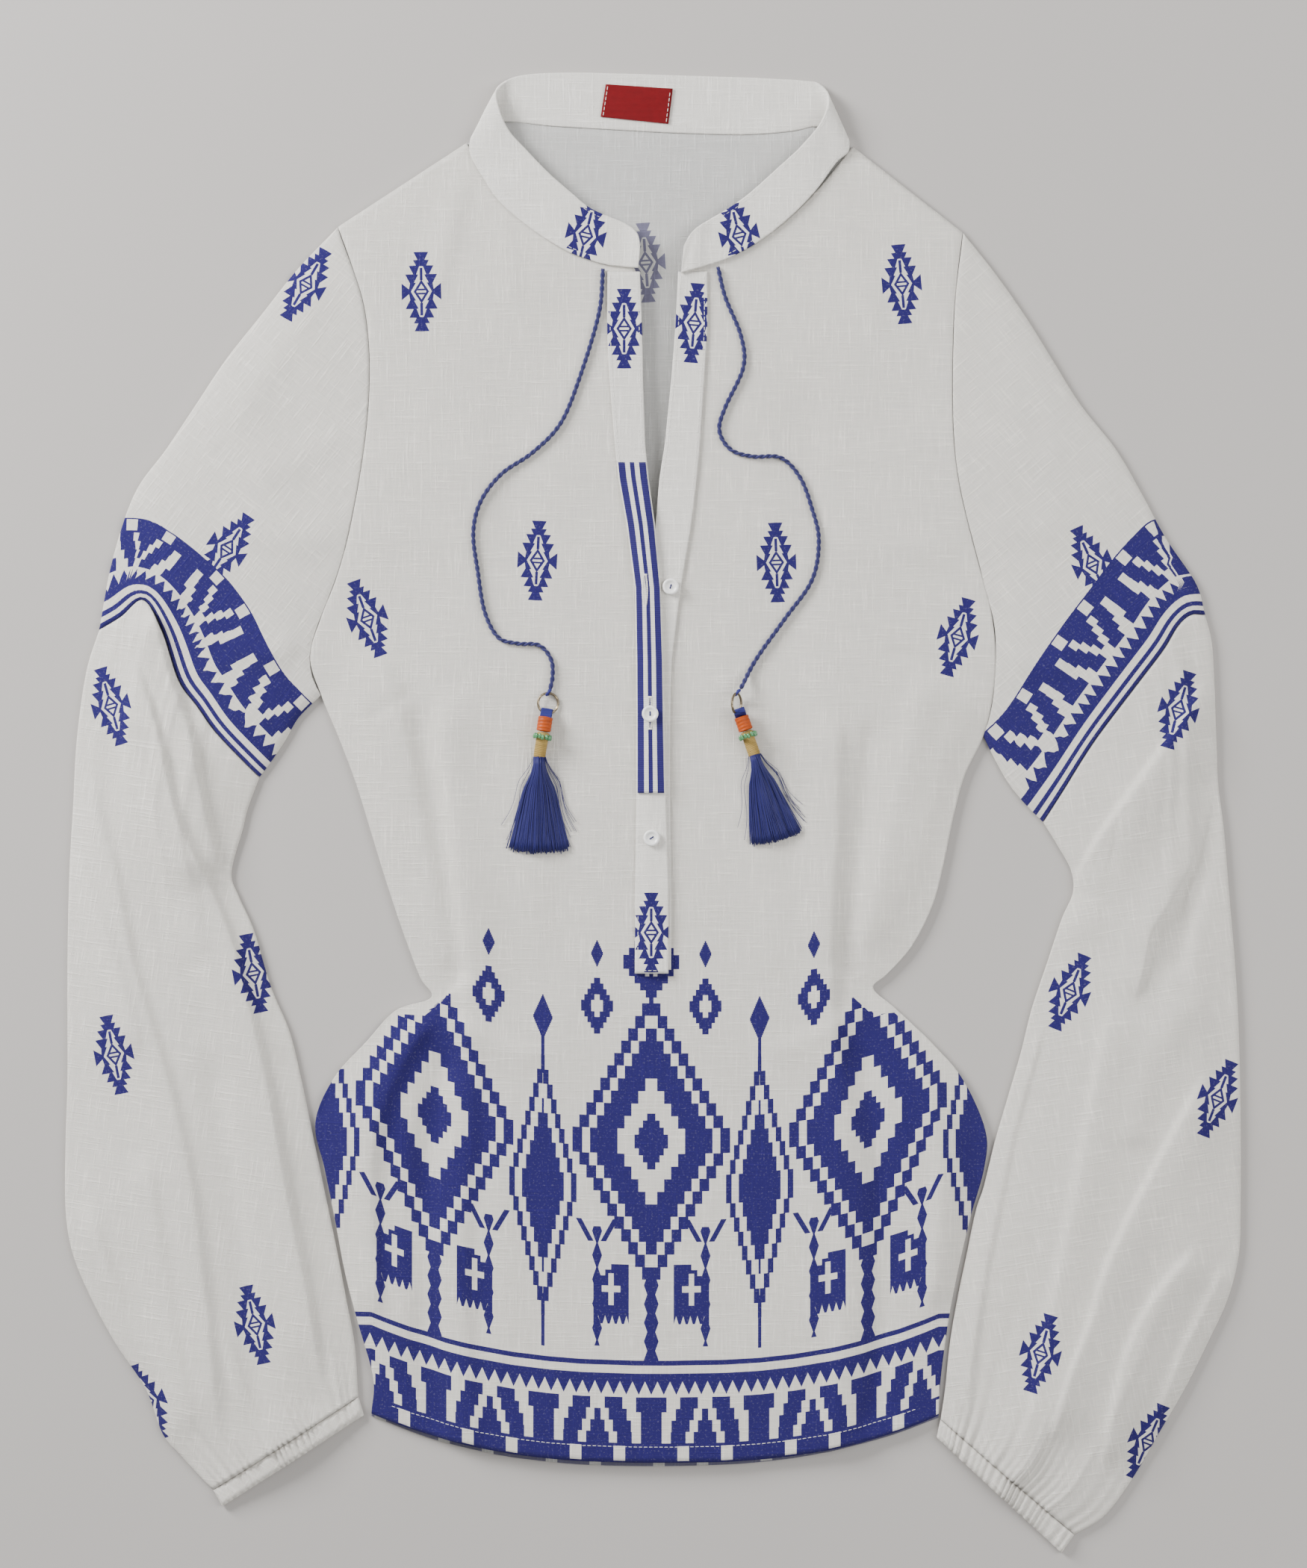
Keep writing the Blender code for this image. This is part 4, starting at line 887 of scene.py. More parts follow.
def make_diamond_group():
    """The mask is 1 where |x| is less than the charted width at |y|. An inner channel is cut out, and a small
    lozenge, its bars and two stems stand in it.
    """
    tree, w, given, out = new_group("serrated_diamond", [("Place", VECTOR)], [("Mask", NUMBER)])
    axes = w.axes(given["Place"])
    x = w.size(w.in_mm(axes[0]))
    y = w.size(w.in_mm(axes[1]))
    body = w.less(x, w.chart(y, DIAMOND_TIERS, 24.0))
    wing_height = w.scaled(w.minus(x, 6.6), 0.8, 1.3)
    wing = w.all(w.between(x, 6.0, 10.6), w.less(y, wing_height))
    channel = w.less(x, w.chart(y, CHANNEL_TIERS, 24.0))
    lozenge = w.plus(w.over(x, 4.1), w.over(y, 6.3))
    rim = w.between(lozenge, 0.66, 1.02)
    bars = w.all(w.between(y, 0.6, 1.6), w.less(lozenge, 0.7))
    stem = w.all(w.less(x, 0.75), w.between(y, 6.0, 12.8))
    w.put(out["Mask"], w.any(w.without(w.any(body, wing), channel), rim, bars, stem))
    return tree


DIAMOND = make_diamond_group()
print("group", DIAMOND.name)

# %% Stepped trim along the hem and above each sleeve seam
TRIM_HALF_REPEAT = 28.8
TRIM_DEPTH = 54.7
TOOTH = 3.35


def make_trim_group():
    """Away 0 is the trim's outer edge: small squares, stepped keys, saw teeth on a solid band, and a thin
    line.
    """
    tree, w, given, out = new_group("stepped_trim", [("Along", NUMBER), ("Away", NUMBER)], [("Mask", NUMBER)])
    along_mm, away = given["Along"], given["Away"]
    mirror = w.zigzag(along_mm, TRIM_HALF_REPEAT)
    step = w.floor(w.over(w.minus(35.0, away), 6.2))
    head = w.scaled(w.more(away, 27.0), 2.6, 5.6)
    first_end = w.higher(w.scaled(step, -2.3, 15.4), 10.4)
    first = w.all(w.more(mirror, head), w.less(mirror, first_end))
    second_start = w.scaled(step, -2.2, 25.0)
    second = w.all(w.more(mirror, second_start), w.less(mirror, w.plus(second_start, 4.3)))
    keys = w.all(w.any(first, second), w.between(away, 10.4, 35.0))
    squares = w.all(w.between(mirror, 14.0, 20.2), w.between(away, 0.9, 8.8))
    ground = w.without(w.less(away, 35.0), w.any(keys, squares))
    tooth = w.over(w.zigzag(along_mm, TOOTH), TOOTH)
    teeth = w.all(w.less(tooth, w.over(w.minus(away, 36.3), 7.2)), w.between(away, 36.3, 43.6))
    w.put(out["Mask"], w.any(ground, teeth, w.between(away, 43.5, 47.7), w.between(away, 52.0, TRIM_DEPTH)))
    return tree


TRIM = make_trim_group()
print("group", TRIM.name)

# %% [markdown]
# Above the hem stand tall figures in the manner of a woven rug. Their layout was made for this model: great
# stepped diamonds on posts, spindles between them, and small fringed flags. Every edge climbs in whole
# steps, as on a loom, because a height is cut down to whole steps before it is compared with a width.

# %% Woven-rug figures above the hem
FIGURE_REPEAT = 116.0


def stepped(w, x, y, half_wide, half_tall, steps):
    """A stepped diamond's measure: |x| / half width plus |y| / half height cut down to whole steps; 1 on its
    edge.
    """
    level = w.floor(w.times(w.over(w.size(y), half_tall), float(steps)))
    return w.plus(w.over(w.size(x), half_wide), w.over(level, float(steps)))


def make_figure_group():
    """Each figure repeats along the hem: the great diamonds at its middle, the spindles half a repeat away,
    and the flags and stars a quarter away.
    """
    tree, w, given, out = new_group("rug_figures", [("Along", NUMBER), ("Up", NUMBER)], [("Mask", NUMBER)])
    half = FIGURE_REPEAT / 2
    first = w.calc("WRAP", given["Along"], half, -half)
    second = w.calc("WRAP", w.plus(given["Along"], half), half, -half)
    quarter = w.minus(w.size(first), half / 2)
    up = given["Up"]

    def rise(level):
        return w.minus(up, level)

    great = stepped(w, first, rise(172.0), 41.0, 74.0, 11)
    masks = [w.between(great, 0.9, 1.03), w.between(great, 0.44, 0.8)]
    masks.append(w.less(stepped(w, first, rise(172.0), 9.0, 15.0, 4), 1.0))
    foot = w.less(w.size(first), w.scaled(w.zigzag(up, 5.0), 0.35, 2.2))
    foot = w.all(foot, w.between(up, TRIM_DEPTH, 98.0))
    masks.append(foot)
    block = w.all(w.between(w.size(first), 12.0, 31.0), w.between(up, 74.0, 106.0))
    jag = w.scaled(w.zigzag(first, 1.9), 3.4, 72.0)
    cross_x = w.minus(w.size(first), 21.5)
    cross = w.any(
        w.all(w.less(w.size(cross_x), 1.4), w.between(up, 84.0, 101.0)),
        w.all(w.less(w.size(cross_x), 5.0), w.between(up, 91.0, 94.4)),
    )
    shoulder = w.less(w.plus(up, w.times(w.floor(w.over(cross_x, 3.2)), 3.2)), 103.0)
    masks.append(w.without(w.all(block, w.more(up, jag), shoulder), cross))
    crown = stepped(w, first, rise(268.0), 15.0, 19.0, 5)
    masks.append(w.between(crown, 0.42, 1.0))
    mast = w.all(w.less(w.size(first), 1.1), w.between(up, 244.0, 306.0))
    masks += [mast, w.less(stepped(w, first, rise(309.0), 5.0, 9.0, 3), 1.0)]
    tall = stepped(w, second, rise(146.0), 17.0, 62.0, 8)
    masks += [w.between(tall, 0.88, 1.06), w.less(tall, 0.66)]
    pole = w.all(w.less(w.size(second), 0.9), w.any(w.between(up, 60.0, 88.0), w.between(up, 206.0, 228.0)))
    masks += [pole, w.less(stepped(w, second, rise(236.0), 5.2, 12.0, 12), 1.0)]
    link = w.less(w.size(quarter), w.scaled(w.zigzag(up, 6.5), 0.34, 0.5))
    masks.append(w.all(link, w.between(up, 62.0, 126.0)))
    prong = w.size(w.minus(w.times(rise(112.0), 0.55), w.size(quarter)))
    masks.append(w.all(w.less(prong, 1.5), w.between(up, 118.0, 130.0)))
    masks.append(w.between(stepped(w, quarter, rise(244.0), 8.6, 15.0, 5), 0.36, 1.0))
    masks.append(w.less(stepped(w, quarter, rise(272.0), 3.2, 7.0, 7), 1.0))
    w.put(out["Mask"], w.all(w.any(*masks), w.more(up, TRIM_DEPTH)))
    return tree


FIGURES = make_figure_group()
print("group", FIGURES.name)

# %% Cloth materials
OFF_WHITE = (0.78, 0.75, 0.695)
BAND_WHITE = (0.87, 0.845, 0.795)
PRINT_BLUE = (0.0175, 0.0115, 0.125)
# The back panel shows its wrong side, where the print is paler. Its white is darker than the front's: a painted shade
# for where it lies in shade under the collar and inside the neck.
BACK_WHITE_PAINTED_SHADE, SHOWS_THROUGH = (0.60, 0.595, 0.58), 0.75
CLOTH_PITCH, TAPE_PITCH = 0.0006, 0.0004
CLOTH_ROUGHNESS, CLOTH_SHEEN = 0.88, 0.03
FIGURES_TOP = 335.0
SLEEVE_TRIM_TOP = 57.4


def start_material(name, roughness, sheen=0.0):
    """A Principled material with its fixed values on its own sockets; gives the wires, the shader and the
    material.
    """
    material = bpy.data.materials.new(name)
    material.use_nodes = True
    shader = material.node_tree.nodes["Principled BSDF"]
    shader.inputs["Roughness"].default_value = roughness
    shader.inputs["Specular IOR Level"].default_value = 0.25
    if sheen:
        shader.inputs["Sheen Weight"].default_value = sheen
        shader.inputs["Sheen Roughness"].default_value = 0.5
    return Wires(material.node_tree), shader, material


def use_group(w, tree, inputs):
    """Places a node group in a material and feeds its inputs."""
    node = w.node("ShaderNodeGroup", node_tree=tree)
    for key, value in inputs.items():
        w.put(node.inputs[key], value)
    return node.outputs


def paint(w, shader, base, print_colour, mask, shade):
    """Base colour: the cloth's colour where the mask is 0 and the print's where it is 1, times the thread's
    shade.
    """
    mixed = w.node("ShaderNodeMix", {"Factor": mask}, data_type="RGBA")
    mixed.inputs["A"].default_value = (*base, 1)
    mixed.inputs["B"].default_value = (*print_colour, 1)
    scaled = w.node("ShaderNodeVectorMath", operation="SCALE")
    w.put(scaled.inputs[0], mixed.outputs["Result"])
    w.put(scaled.inputs["Scale"], shade)
    w.put(shader.inputs["Base Color"], scaled.outputs[0])


def printed_cloth(name, colour, border=None, fade=1.0):
    """Slub cloth with the small diamonds, and the trim where border is trim or hem."""
    w, shader, material = start_material(name, CLOTH_ROUGHNESS, CLOTH_SHEEN)
    grain = w.uv("grain")
    cloth = use_group(w, SLUB, {"Place": grain, "Pitch": CLOTH_PITCH})
    motif = w.uv("motif")
    mask = use_group(w, DIAMOND, {"Place": motif})["Mask"]
    if border:
        trim = w.uv("trim")
        axes = w.axes(trim)
        run, away = w.in_mm(axes[0]), w.in_mm(axes[1])
        edge = use_group(w, TRIM, {"Along": run, "Away": away})["Mask"]
        if border == "hem":
            edge = w.any(edge, use_group(w, FIGURES, {"Along": run, "Up": away})["Mask"])
            free = w.more(away, FIGURES_TOP)
        else:
            edge = w.any(edge, w.more(away, SLEEVE_TRIM_TOP))
            edge = w.all(edge, w.more(away, 0.0))
            free = w.less(away, 0.0)
        mask = w.any(w.all(mask, free), edge)
    worn = w.noise(grain, 900.0, 2.0)
    mask = w.times(mask, w.times(w.window(worn, 0.3, 0.42, 0.93, 1.0), fade))
    paint(w, shader, colour, PRINT_BLUE, mask, cloth["Shade"])
    w.bump(shader, 0.8, 0.0005, cloth["Height"])
    return material


FINISH = {
    "body": printed_cloth("body_cloth", OFF_WHITE, "hem"),
    # The back's darker white is a painted shade.
    "back": printed_cloth("back_cloth", BACK_WHITE_PAINTED_SHADE, "hem", SHOWS_THROUGH),
    "sleeve": printed_cloth("sleeve_cloth", OFF_WHITE, "trim"),
    "plain": printed_cloth("sleeve_plain_cloth", OFF_WHITE),
    "band": printed_cloth("band_cloth", BAND_WHITE),
}
print("cloth finishes", ", ".join(FINISH))

# %% [markdown]
# The two body panels. The front is one cut with a slit at the centre: a grid of points runs from the
# shoulders to the hem and from side to side, and the squares over the slit are left out. The back lies flat
# under it and shows in the neck and the slit. A grid was chosen over sculpting because its rows follow the
# same cutting lines as the tables.

# %% Body grids
SIDE_COLUMNS = np.array([0, 0.05, 0.15, 0.28, 0.41, 0.54, 0.67, 0.8])
ROW_SPLIT, COLUMN_SPLIT = 9, 8


def placket_x(y, column):
    """Plan x of one of the placket's lines at height y."""
    table = np.array(PLACKET_ROWS[::-1], float)
    return np.interp(y, table[:, 0], table[:, column])


def panel_row_ends():
    """For every row of the front panel: its left end, its slit edges and its right end."""
    shares = np.linspace(0, 1, ARMHOLE_STEPS + 1)
    left, right = along(ARMHOLE["left"], shares), along(ARMHOLE["right"], shares)
    left = left - sideways(left) * SEAM / 2
    right = right + sideways(right) * SEAM / 2
    neck = {side: along(NECK[side], np.linspace(0, 1, NECK_ROWS + 1)) for side in NECK}
    rows = []
    for k in range(len(shares)):
        if k <= NECK_ROWS:
            rows.append((left[k], neck["left"][k], neck["right"][k], right[k]))
        else:
            y = SLIT_ROWS_Y[k - NECK_ROWS - 1]
            far = min(max(placket_x(y, 3), placket_x(y, 2)) + SLIT_INSET, placket_x(y, 4) - SLIT_INSET / 2)
            rows.append((left[k], np.array((placket_x(y, 2) - SLIT_INSET, y)), np.array((far, y)), right[k]))
    for left_x, left_y, right_x, right_y, y in SIDE_ROWS:
        cuts = [np.array((placket_x(y, 2) - SLIT_INSET, y)), np.array((placket_x(y, 4) - SLIT_INSET / 2, y))]
        rows.append((np.array((left_x, left_y)), *cuts, np.array((right_x, right_y))))
    return rows


def panel_halves():
    """Coarse plan grids of the panel's left and right halves, side seam to slit: each row bends from the slit
    towards its end by a power of the reach.
    """
    rows = panel_row_ends()
    halves = ([], [])
    for k, (left, cut_left, cut_right, right) in enumerate(rows):
        bend = np.interp(k, [0, SLIT_END_ROW, len(rows) - 1], [1.0, 1.5, HEM_BEND])
        for half, end, cut, column in ((halves[0], left, cut_left, 1), (halves[1], right, cut_right, 4)):
            seam_x = cut[0] + 0.1 * (end[0] - cut[0]) if k <= NECK_ROWS else placket_x(cut[1], column)
            x = np.append(end[0] + (seam_x - end[0]) * np.append(SIDE_COLUMNS, 1.0), cut[0])
            reach = np.abs((x - cut[0]) / (end[0] - cut[0]))
            half.append(np.stack([x, cut[1] + (end[1] - cut[1]) * reach**bend], axis=-1))
    return [np.array(half) for half in halves]


def split_grid(plan, rows, columns):
    """The same grid on smooth curves, with each row step and each column step divided."""
    fine = refine(plan, rows)
    return np.swapaxes(refine(np.swapaxes(fine, 0, 1), columns), 0, 1)


def hem_height(x):
    """Height of the front hem at each x, from the last row of the panel."""
    last = np.concatenate([panel_halves()[0][-1], panel_halves()[1][-1][::-1]])
    return np.interp(x, last[:, 0], last[:, 1])


def with_height(plan, height):
    """A plan grid with a height added to every point."""
    return np.concatenate([plan, np.broadcast_to(height, plan.shape[:-1])[..., None]], axis=-1)


def shell(name, upper, lower, material, maps, cells=None):
    """A closed wall between two grids: both faces, and a strip along every edge that only one square has."""
    rows, columns = upper.shape[:2]
    cells = np.ones((rows - 1, columns - 1), bool) if cells is None else cells
    top = grid_faces(rows, columns, cells=cells)[:, ::-1]
    edges = np.concatenate([top[:, [k, (k + 1) % 4]] for k in range(4)])
    low, high = edges.min(axis=1), edges.max(axis=1)
    _, first, count = np.unique(low * rows * columns + high, return_index=True, return_counts=True)
    rim = edges[first[count == 1]]
    below = rows * columns
    walls = np.stack([rim[:, 1], rim[:, 0], rim[:, 0] + below, rim[:, 1] + below], axis=-1)
    faces = np.concatenate([top, top[:, ::-1] + below, walls])
    points = np.concatenate([upper.reshape(-1, 3), lower.reshape(-1, 3)])
    return add_mesh(name, points, faces, material, {key: make(points, faces) for key, make in maps.items()})


def plan_maps(placements, trim=None, turn=0.0):
    """Makers of the three maps: grain is the plan turned by the thread's angle, motif the nearest diamond's,
    trim as given.
    """
    angle = math.radians(turn)
    turned = np.array([[math.cos(angle), math.sin(angle)], [-math.sin(angle), math.cos(angle)]])
    makers = {
        "grain": lambda points, faces: (points[:, :2] @ turned.T)[faces],
        "motif": lambda points, faces: motif_map(points[:, :2], faces, placements),
    }
    if trim is not None:
        makers["trim"] = trim
    return makers


# The plain side layers above the waist: height of the waist, and the fold's x there and 80 mm higher.
WAIST_Y = -108.0
PLAIN_FROM = {"left": (-99.0, -100.5), "right": (96.5, 98.5)}
ABOVE_BORDER = 340.0


def hem_trim(points, faces):
    """The run along the hem and the height above it; faces of the plain side layers are put above the whole
    border.
    """
    plan = np.stack([points[:, 0] + 1.0, points[:, 1] - hem_height(points[:, 0])], axis=-1)[faces]
    middle = points[faces].mean(axis=1)
    lines = {
        side: np.interp(middle[:, 1], [WAIST_Y, WAIST_Y + 80.0], ends) for side, ends in PLAIN_FROM.items()
    }
    outside = (middle[:, 0] < lines["left"]) | (middle[:, 0] > lines["right"])
    inward = np.minimum(middle[:, 0] + 122.0, 118.0 - middle[:, 0])
    plan[outside & (middle[:, 1] > WAIST_Y + 0.85 * np.maximum(inward, 0.0)), :, 1] = ABOVE_BORDER
    return plan


def seam_dip(x, y, lines):
    """A shallow groove along sewn lines, with the pucker that stitches draw in."""
    dip = np.zeros(np.shape(x))
    for line in lines:
        distance, share = nearest_on(x, y, refine(line, 5))
        pucker = 0.12 * np.sin(math.tau * share * length_of(refine(line, 5)) / 8.5)
        dip += -0.42 * np.exp(-((distance / 1.7) ** 2)) + pucker * np.exp(-((distance / 6.0) ** 2))
    return dip


def add_trim(thing, slot):
    """Small trim rides on the garment and has a finish, and takes no solid's place."""
    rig.ride(thing, "root")
    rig.slot(thing, slot)
    return thing


def dress(thing, node, slot="cloth"):
    """A garment piece rides on the garment, has a finish and takes its solid's place."""
    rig.replaces(add_trim(thing, slot), node)
    return thing


def lay_sheet(thing, width, length, rests_on):
    """Declares a sheet laid flat; its area is half the closed wall's surface, which holds both faces of the
    cloth.
    """
    areas = np.zeros(len(thing.data.polygons))
    thing.data.polygons.foreach_get("area", areas)
    share = areas.sum() / 2 / (width * length)
    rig.sheet(
        thing, flat=(width, length), held="laid", rests_on=rests_on,
        area=min(round(share, 2), 1.0) * width * length
    )
    print(thing.name, "is", round(areas.sum() / 2, 4), "square metres,", round(share, 2), "of its flat size")


print("panel rows", len(panel_row_ends()))


# %% Front panel
def make_front_panel():
    """The two halves side by side, less the squares over the slit. Height is the laid cloth's plus the
    grooves of the armhole seams.
    """
    left, right = (split_grid(half, ROW_SPLIT, COLUMN_SPLIT) for half in panel_halves())
    share = np.linspace(0, 1, COLUMN_SPLIT + 1)[None, :, None]
    for half in (left, right):
        half[:, -COLUMN_SPLIT - 1 :] = half[:, [-COLUMN_SPLIT - 1]] * (1 - share) + half[:, [-1]] * share
    plan = np.concatenate([left, right[:, ::-1]], axis=1)
    cells = np.ones((plan.shape[0] - 1, plan.shape[1] - 1), bool)
    cells[: SLIT_END_ROW * ROW_SPLIT, left.shape[1] - 1] = False
    x, y = plan[..., 0], plan[..., 1]
    top = cloth_top(x, y, "body", BODY_LOFT)
    low = under_side(x, y, top, "body", BODY_LOFT)
    dip = seam_dip(x, y, [ARMHOLE["left"], ARMHOLE["right"]])
    top = np.maximum(top + dip, low + 0.5)
    thing = shell(
        "front_panel_cloth", with_height(plan, top), with_height(plan, low), FINISH["body"],
        plan_maps(MOTIFS["front_panel"], hem_trim), cells
    )
    return dress(thing, "front_panel")


FRONT = make_front_panel()
lay_sheet(FRONT, 0.366, 0.72, ["back_panel"])


# %% Back panel
BACK_HEM_LOWER = 2.4
BACK_PRINT_SHIFT = np.array([13.0, 4.0, 0.0])


def back_trim(points, faces):
    """The same border, moved along and down, because the back hem lies a little lower."""
    return hem_trim(points + BACK_PRINT_SHIFT, faces)


def make_back_panel():
    """The same rows from side seam to side seam without the slit; its top row is the shoulders and the back
    of the neck.
    """
    rows = panel_row_ends()
    neck = np.array(BACK_SEAM, float) - (0, SEAM)
    top = np.vstack([rows[0][0], BACK_CORNERS["left"], neck, BACK_CORNERS["right"], rows[0][3]])
    share = (top[:, 0] - top[0, 0]) / (top[-1, 0] - top[0, 0])
    chord = top[0, 1] + (top[-1, 1] - top[0, 1]) * share
    plan = []
    for k, (left, cut, _, right) in enumerate(rows):
        x = left[0] + (right[0] - left[0]) * share
        level = left[1] + (right[1] - left[1]) * share
        if k < ARMHOLE_STEPS:
            y = level + (top[:, 1] - chord) * (1 - k / ARMHOLE_STEPS) ** 1.5
        else:
            peeking = BACK_HEM_LOWER if k == len(rows) - 1 else 0.0
            middle, level = cut[1] - peeking, level - 0.6 * peeking
            bend = np.interp(k, [SLIT_END_ROW, len(rows) - 1], [1.5, HEM_BEND])
            y = middle + (level - middle) * np.abs(2 * share - 1) ** bend
        plan.append(np.stack([x, y], axis=-1))
    plan = split_grid(np.array(plan), 7, 7)
    x, y = plan[..., 0], plan[..., 1]
    shown = np.exp(-(((x - 2) / 46) ** 2) - (((y - 338) / 26) ** 2))
    ripple = 0.5 + 0.3 * np.sin(x / 9.0 + y / 23.0) + 0.2 * np.sin(x / 21.0 - y / 11.0)
    high = CLOTH + 0.9 * shown * ripple
    low = np.maximum(high - CLOTH, 0.0)
    thing = shell(
        "back_panel_cloth", with_height(plan, high), with_height(plan, low), FINISH["back"],
        plan_maps(MOTIFS["back_panel"], back_trim)
    )
    return dress(thing, "back_panel")


BACK = make_back_panel()
lay_sheet(BACK, 0.366, 0.72, [])

# %% [markdown]
# Each sleeve part is a tube pressed flat: a folded top face, two rounded edges and a floor face that lies
# on the surface. One ring of points goes round it and the rings are carried along the arm. The gathers are
# pleats, each with its own place, width, height and length, fading out from the seam or from the elastic.

# %% Flattened tubes
EDGE_ARC = np.radians([60, 30, 0, -30, -60])
OUTWARD = {"left": 1, "right": -1}
# How far each part's thread direction is turned from upright, in degrees.
GRAIN_TURN = {
    "upper": {"left": -38.0, "right": 40.0},
    "lower": {"left": -8.0, "right": 10.0},
    "cuff": {"left": -30.0, "right": 34.0},
}


def coons(start, finish, outer, inner, shares, across):
    """A plan grid between two cross lines and two side lines: the sum of both blends less the blend of the
    corners.
    """
    s, j = np.array(shares)[:, None, None], np.array(across)[None, :, None]
    cross = (1 - s) * start[None] + s * finish[None]
    side = (1 - j) * outer[:, None] + j * inner[:, None]
    corner = (1 - s) * ((1 - j) * start[0] + j * start[-1]) + s * ((1 - j) * finish[0] + j * finish[-1])
    return cross + side - corner


def tube_rings(plan, top, under):
    """Outer and inner rings: the plan's inner points at their heights, a half circle round each edge, and the
    floor.
    """
    first, last = plan[:, 0], plan[:, -1]
    inward = [unit(plan[:, 2] - first), unit(plan[:, -3] - last)]
    rings = []
    for radius, heights, floor_z in ((EDGE_RADIUS, top, 0.0), (EDGE_RADIUS - CLOTH, under, CLOTH)):
        arcs = []
        for end, way in ((first, inward[0]), (last, inward[1])):
            centre = end + way * EDGE_RADIUS
            swing = EDGE_ARC if end is last else EDGE_ARC[::-1]
            flat = centre[:, None] - way[:, None] * radius * np.cos(swing)[None, :, None]
            arcs.append(with_height(flat, EDGE_RADIUS + radius * np.sin(swing)[None]))
        face = with_height(plan[:, 1:-1], heights[:, 1:-1])
        floor = with_height(plan[:, -2:0:-3], floor_z)
        rings.append(np.concatenate([face, arcs[1], floor, arcs[0]], axis=1))
    return rings


def tube(name, outer, inner, material, maps):
    """An open tube with a wall: the outer and inner stacks of rings, joined by a strip at each mouth."""
    rows, count = outer.shape[:2]
    skin = grid_faces(rows, count, wrap=True)[:, ::-1]
    below = rows * count
    ring = np.arange(count)
    after = (ring + 1) % count
    mouth = np.stack([after, ring, ring + below, after + below], axis=-1)
    far = (rows - 1) * count
    end = np.stack([ring + far, after + far, after + far + below, ring + far + below], axis=-1)
    faces = np.concatenate([skin, skin[:, ::-1] + below, mouth[:, ::-1], end[:, ::-1]])
    points = np.concatenate([outer.reshape(-1, 3), inner.reshape(-1, 3)])
    return add_mesh(name, points, faces, material, {key: make(points, faces) for key, make in maps.items()})


def pleats(share, across, seed, count, tallest, reach, from_end):
    """Sum of ridges: height times exp(-(offset / width)^2), each fading over its own length from the gathered
    end.
    """
    rng = np.random.default_rng(seed)
    run = 1 - share if from_end else share
    places = (np.arange(count) + rng.uniform(0.15, 0.85, count)) / count
    table = zip(
        places, rng.uniform(0.35, 0.62, count) / count, rng.uniform(0.35, 1.0, count),
        rng.uniform(0.35, 1.0, count), rng.uniform(-0.05, 0.05, count)
    )
    total = np.zeros(share.shape)
    for place, width, rise, length, drift in table:
        fade = np.exp(-((run / (reach * length)) ** 1.5))
        total += tallest * rise * fade * np.exp(-(
            ((across - place - drift * run) / (width * (1 + 0.9 * run))) ** 2
        ))
    return total


def seam_lines(side):
    """Points along the armhole and along the sleeve's seam, with the direction to the right of each."""
    shares = np.linspace(0, 1, 4 * ARMHOLE_STEPS + 1)
    armhole, seam = along(ARMHOLE[side], shares), along(SLEEVE_SEAM[side], shares)
    return armhole, sideways(armhole), seam, sideways(seam)


def sleeve_trim(side):
    """Maps a point to its run along the printed band and its depth below the band's upper edge, as a share of
    the way to the seam.
    """
    upper, seam = refine(TRIM_EDGE[side], 5), refine(SLEEVE_SEAM[side], 5)

    def to_trim(points, faces):
        edge, share = nearest_on(points[:, 0], points[:, 1], upper)
        below = np.abs(nearest_on(points[:, 0], points[:, 1], seam)[0])
        inside = -edge * OUTWARD[side]
        depth = np.where(inside > 0, 60.0 * inside / np.maximum(inside + below, 0.1), inside)
        return np.stack([share * length_of(upper), depth], axis=-1)[faces]

    return to_trim


print("tube edge radius", EDGE_RADIUS, "mm")


# %% Upper sleeves
def make_upper_sleeve(side):
    """A Coons patch between the armhole and the seam, pressed flat: its loft grows from the body's at the
    armhole to the sleeve's.
    """
    armhole, armhole_out, seam, seam_out = seam_lines(side)
    outward = OUTWARD[side]
    shares, across = np.linspace(0, 1, 91), np.linspace(0, 1, len(armhole))
    start = armhole + outward * armhole_out * SEAM / 2
    finish = seam - outward * seam_out * SEAM * 0.8
    outer, inner = along(UPPER_OUTER[side], shares), along(UPPER_INNER[side], shares)
    outer[0], inner[0], outer[-1], inner[-1] = start[0], start[-1], finish[0], finish[-1]
    plan = coons(start, finish, outer, inner, shares, across)
    where = "upper_" + side
    loft = (BODY_LOFT + (SLEEVE_LOFT - BODY_LOFT) * ease(shares / 0.5))[:, None]
    x, y = plan[..., 0], plan[..., 1]
    top = cloth_top(x, y, where, loft)
    low = under_side(x, y, top, where, loft)
    top = np.maximum(top + seam_dip(x, y, [ARMHOLE[side], SLEEVE_SEAM[side]]), low + 0.5)
    maps = plan_maps(MOTIFS["sleeve_upper_" + side], sleeve_trim(side), GRAIN_TURN["upper"][side])
    thing = tube("sleeve_upper_cloth_" + side, *tube_rings(plan, top, low), FINISH["sleeve"], maps)
    return dress(thing, "sleeve_upper_" + side)


UPPER = {side: make_upper_sleeve(side) for side in ARMHOLE}
for thing in UPPER.values():
    lay_sheet(thing, 0.52, 0.25, [])

# %% [markdown]
# The lower sleeve is the fullest piece: it is gathered into the seam above and by elastic below. Gathers
# are added to the height of the laid cloth instead of being simulated, so that each fold stays where it is
# drawn.

# %% Lower sleeves and cuffs
LOWER_ACROSS = 97
CUFF_WAVES = 24
# Columns: count, tallest, reach as a share of the sleeve, whether they start at the cuff.
PLEATS = [(13, 1.5, 0.42, False), (17, 1.3, 0.34, True), (6, 1.2, 1.4, True)]
PLEAT_SEED = {"left": 3, "right": 8}


def cuff_line(side, lower):
    """Evenly spaced points on the straight line across the cuff's upper or lower edge."""
    ends = CUFF_LOWER[side] if lower else [LOWER_OUTER[side][-1], LOWER_INNER[side][-1]]
    share = np.linspace(0, 1, LOWER_ACROSS)[:, None]
    return (1 - share) * np.array(ends[0], float) + share * np.array(ends[1], float)


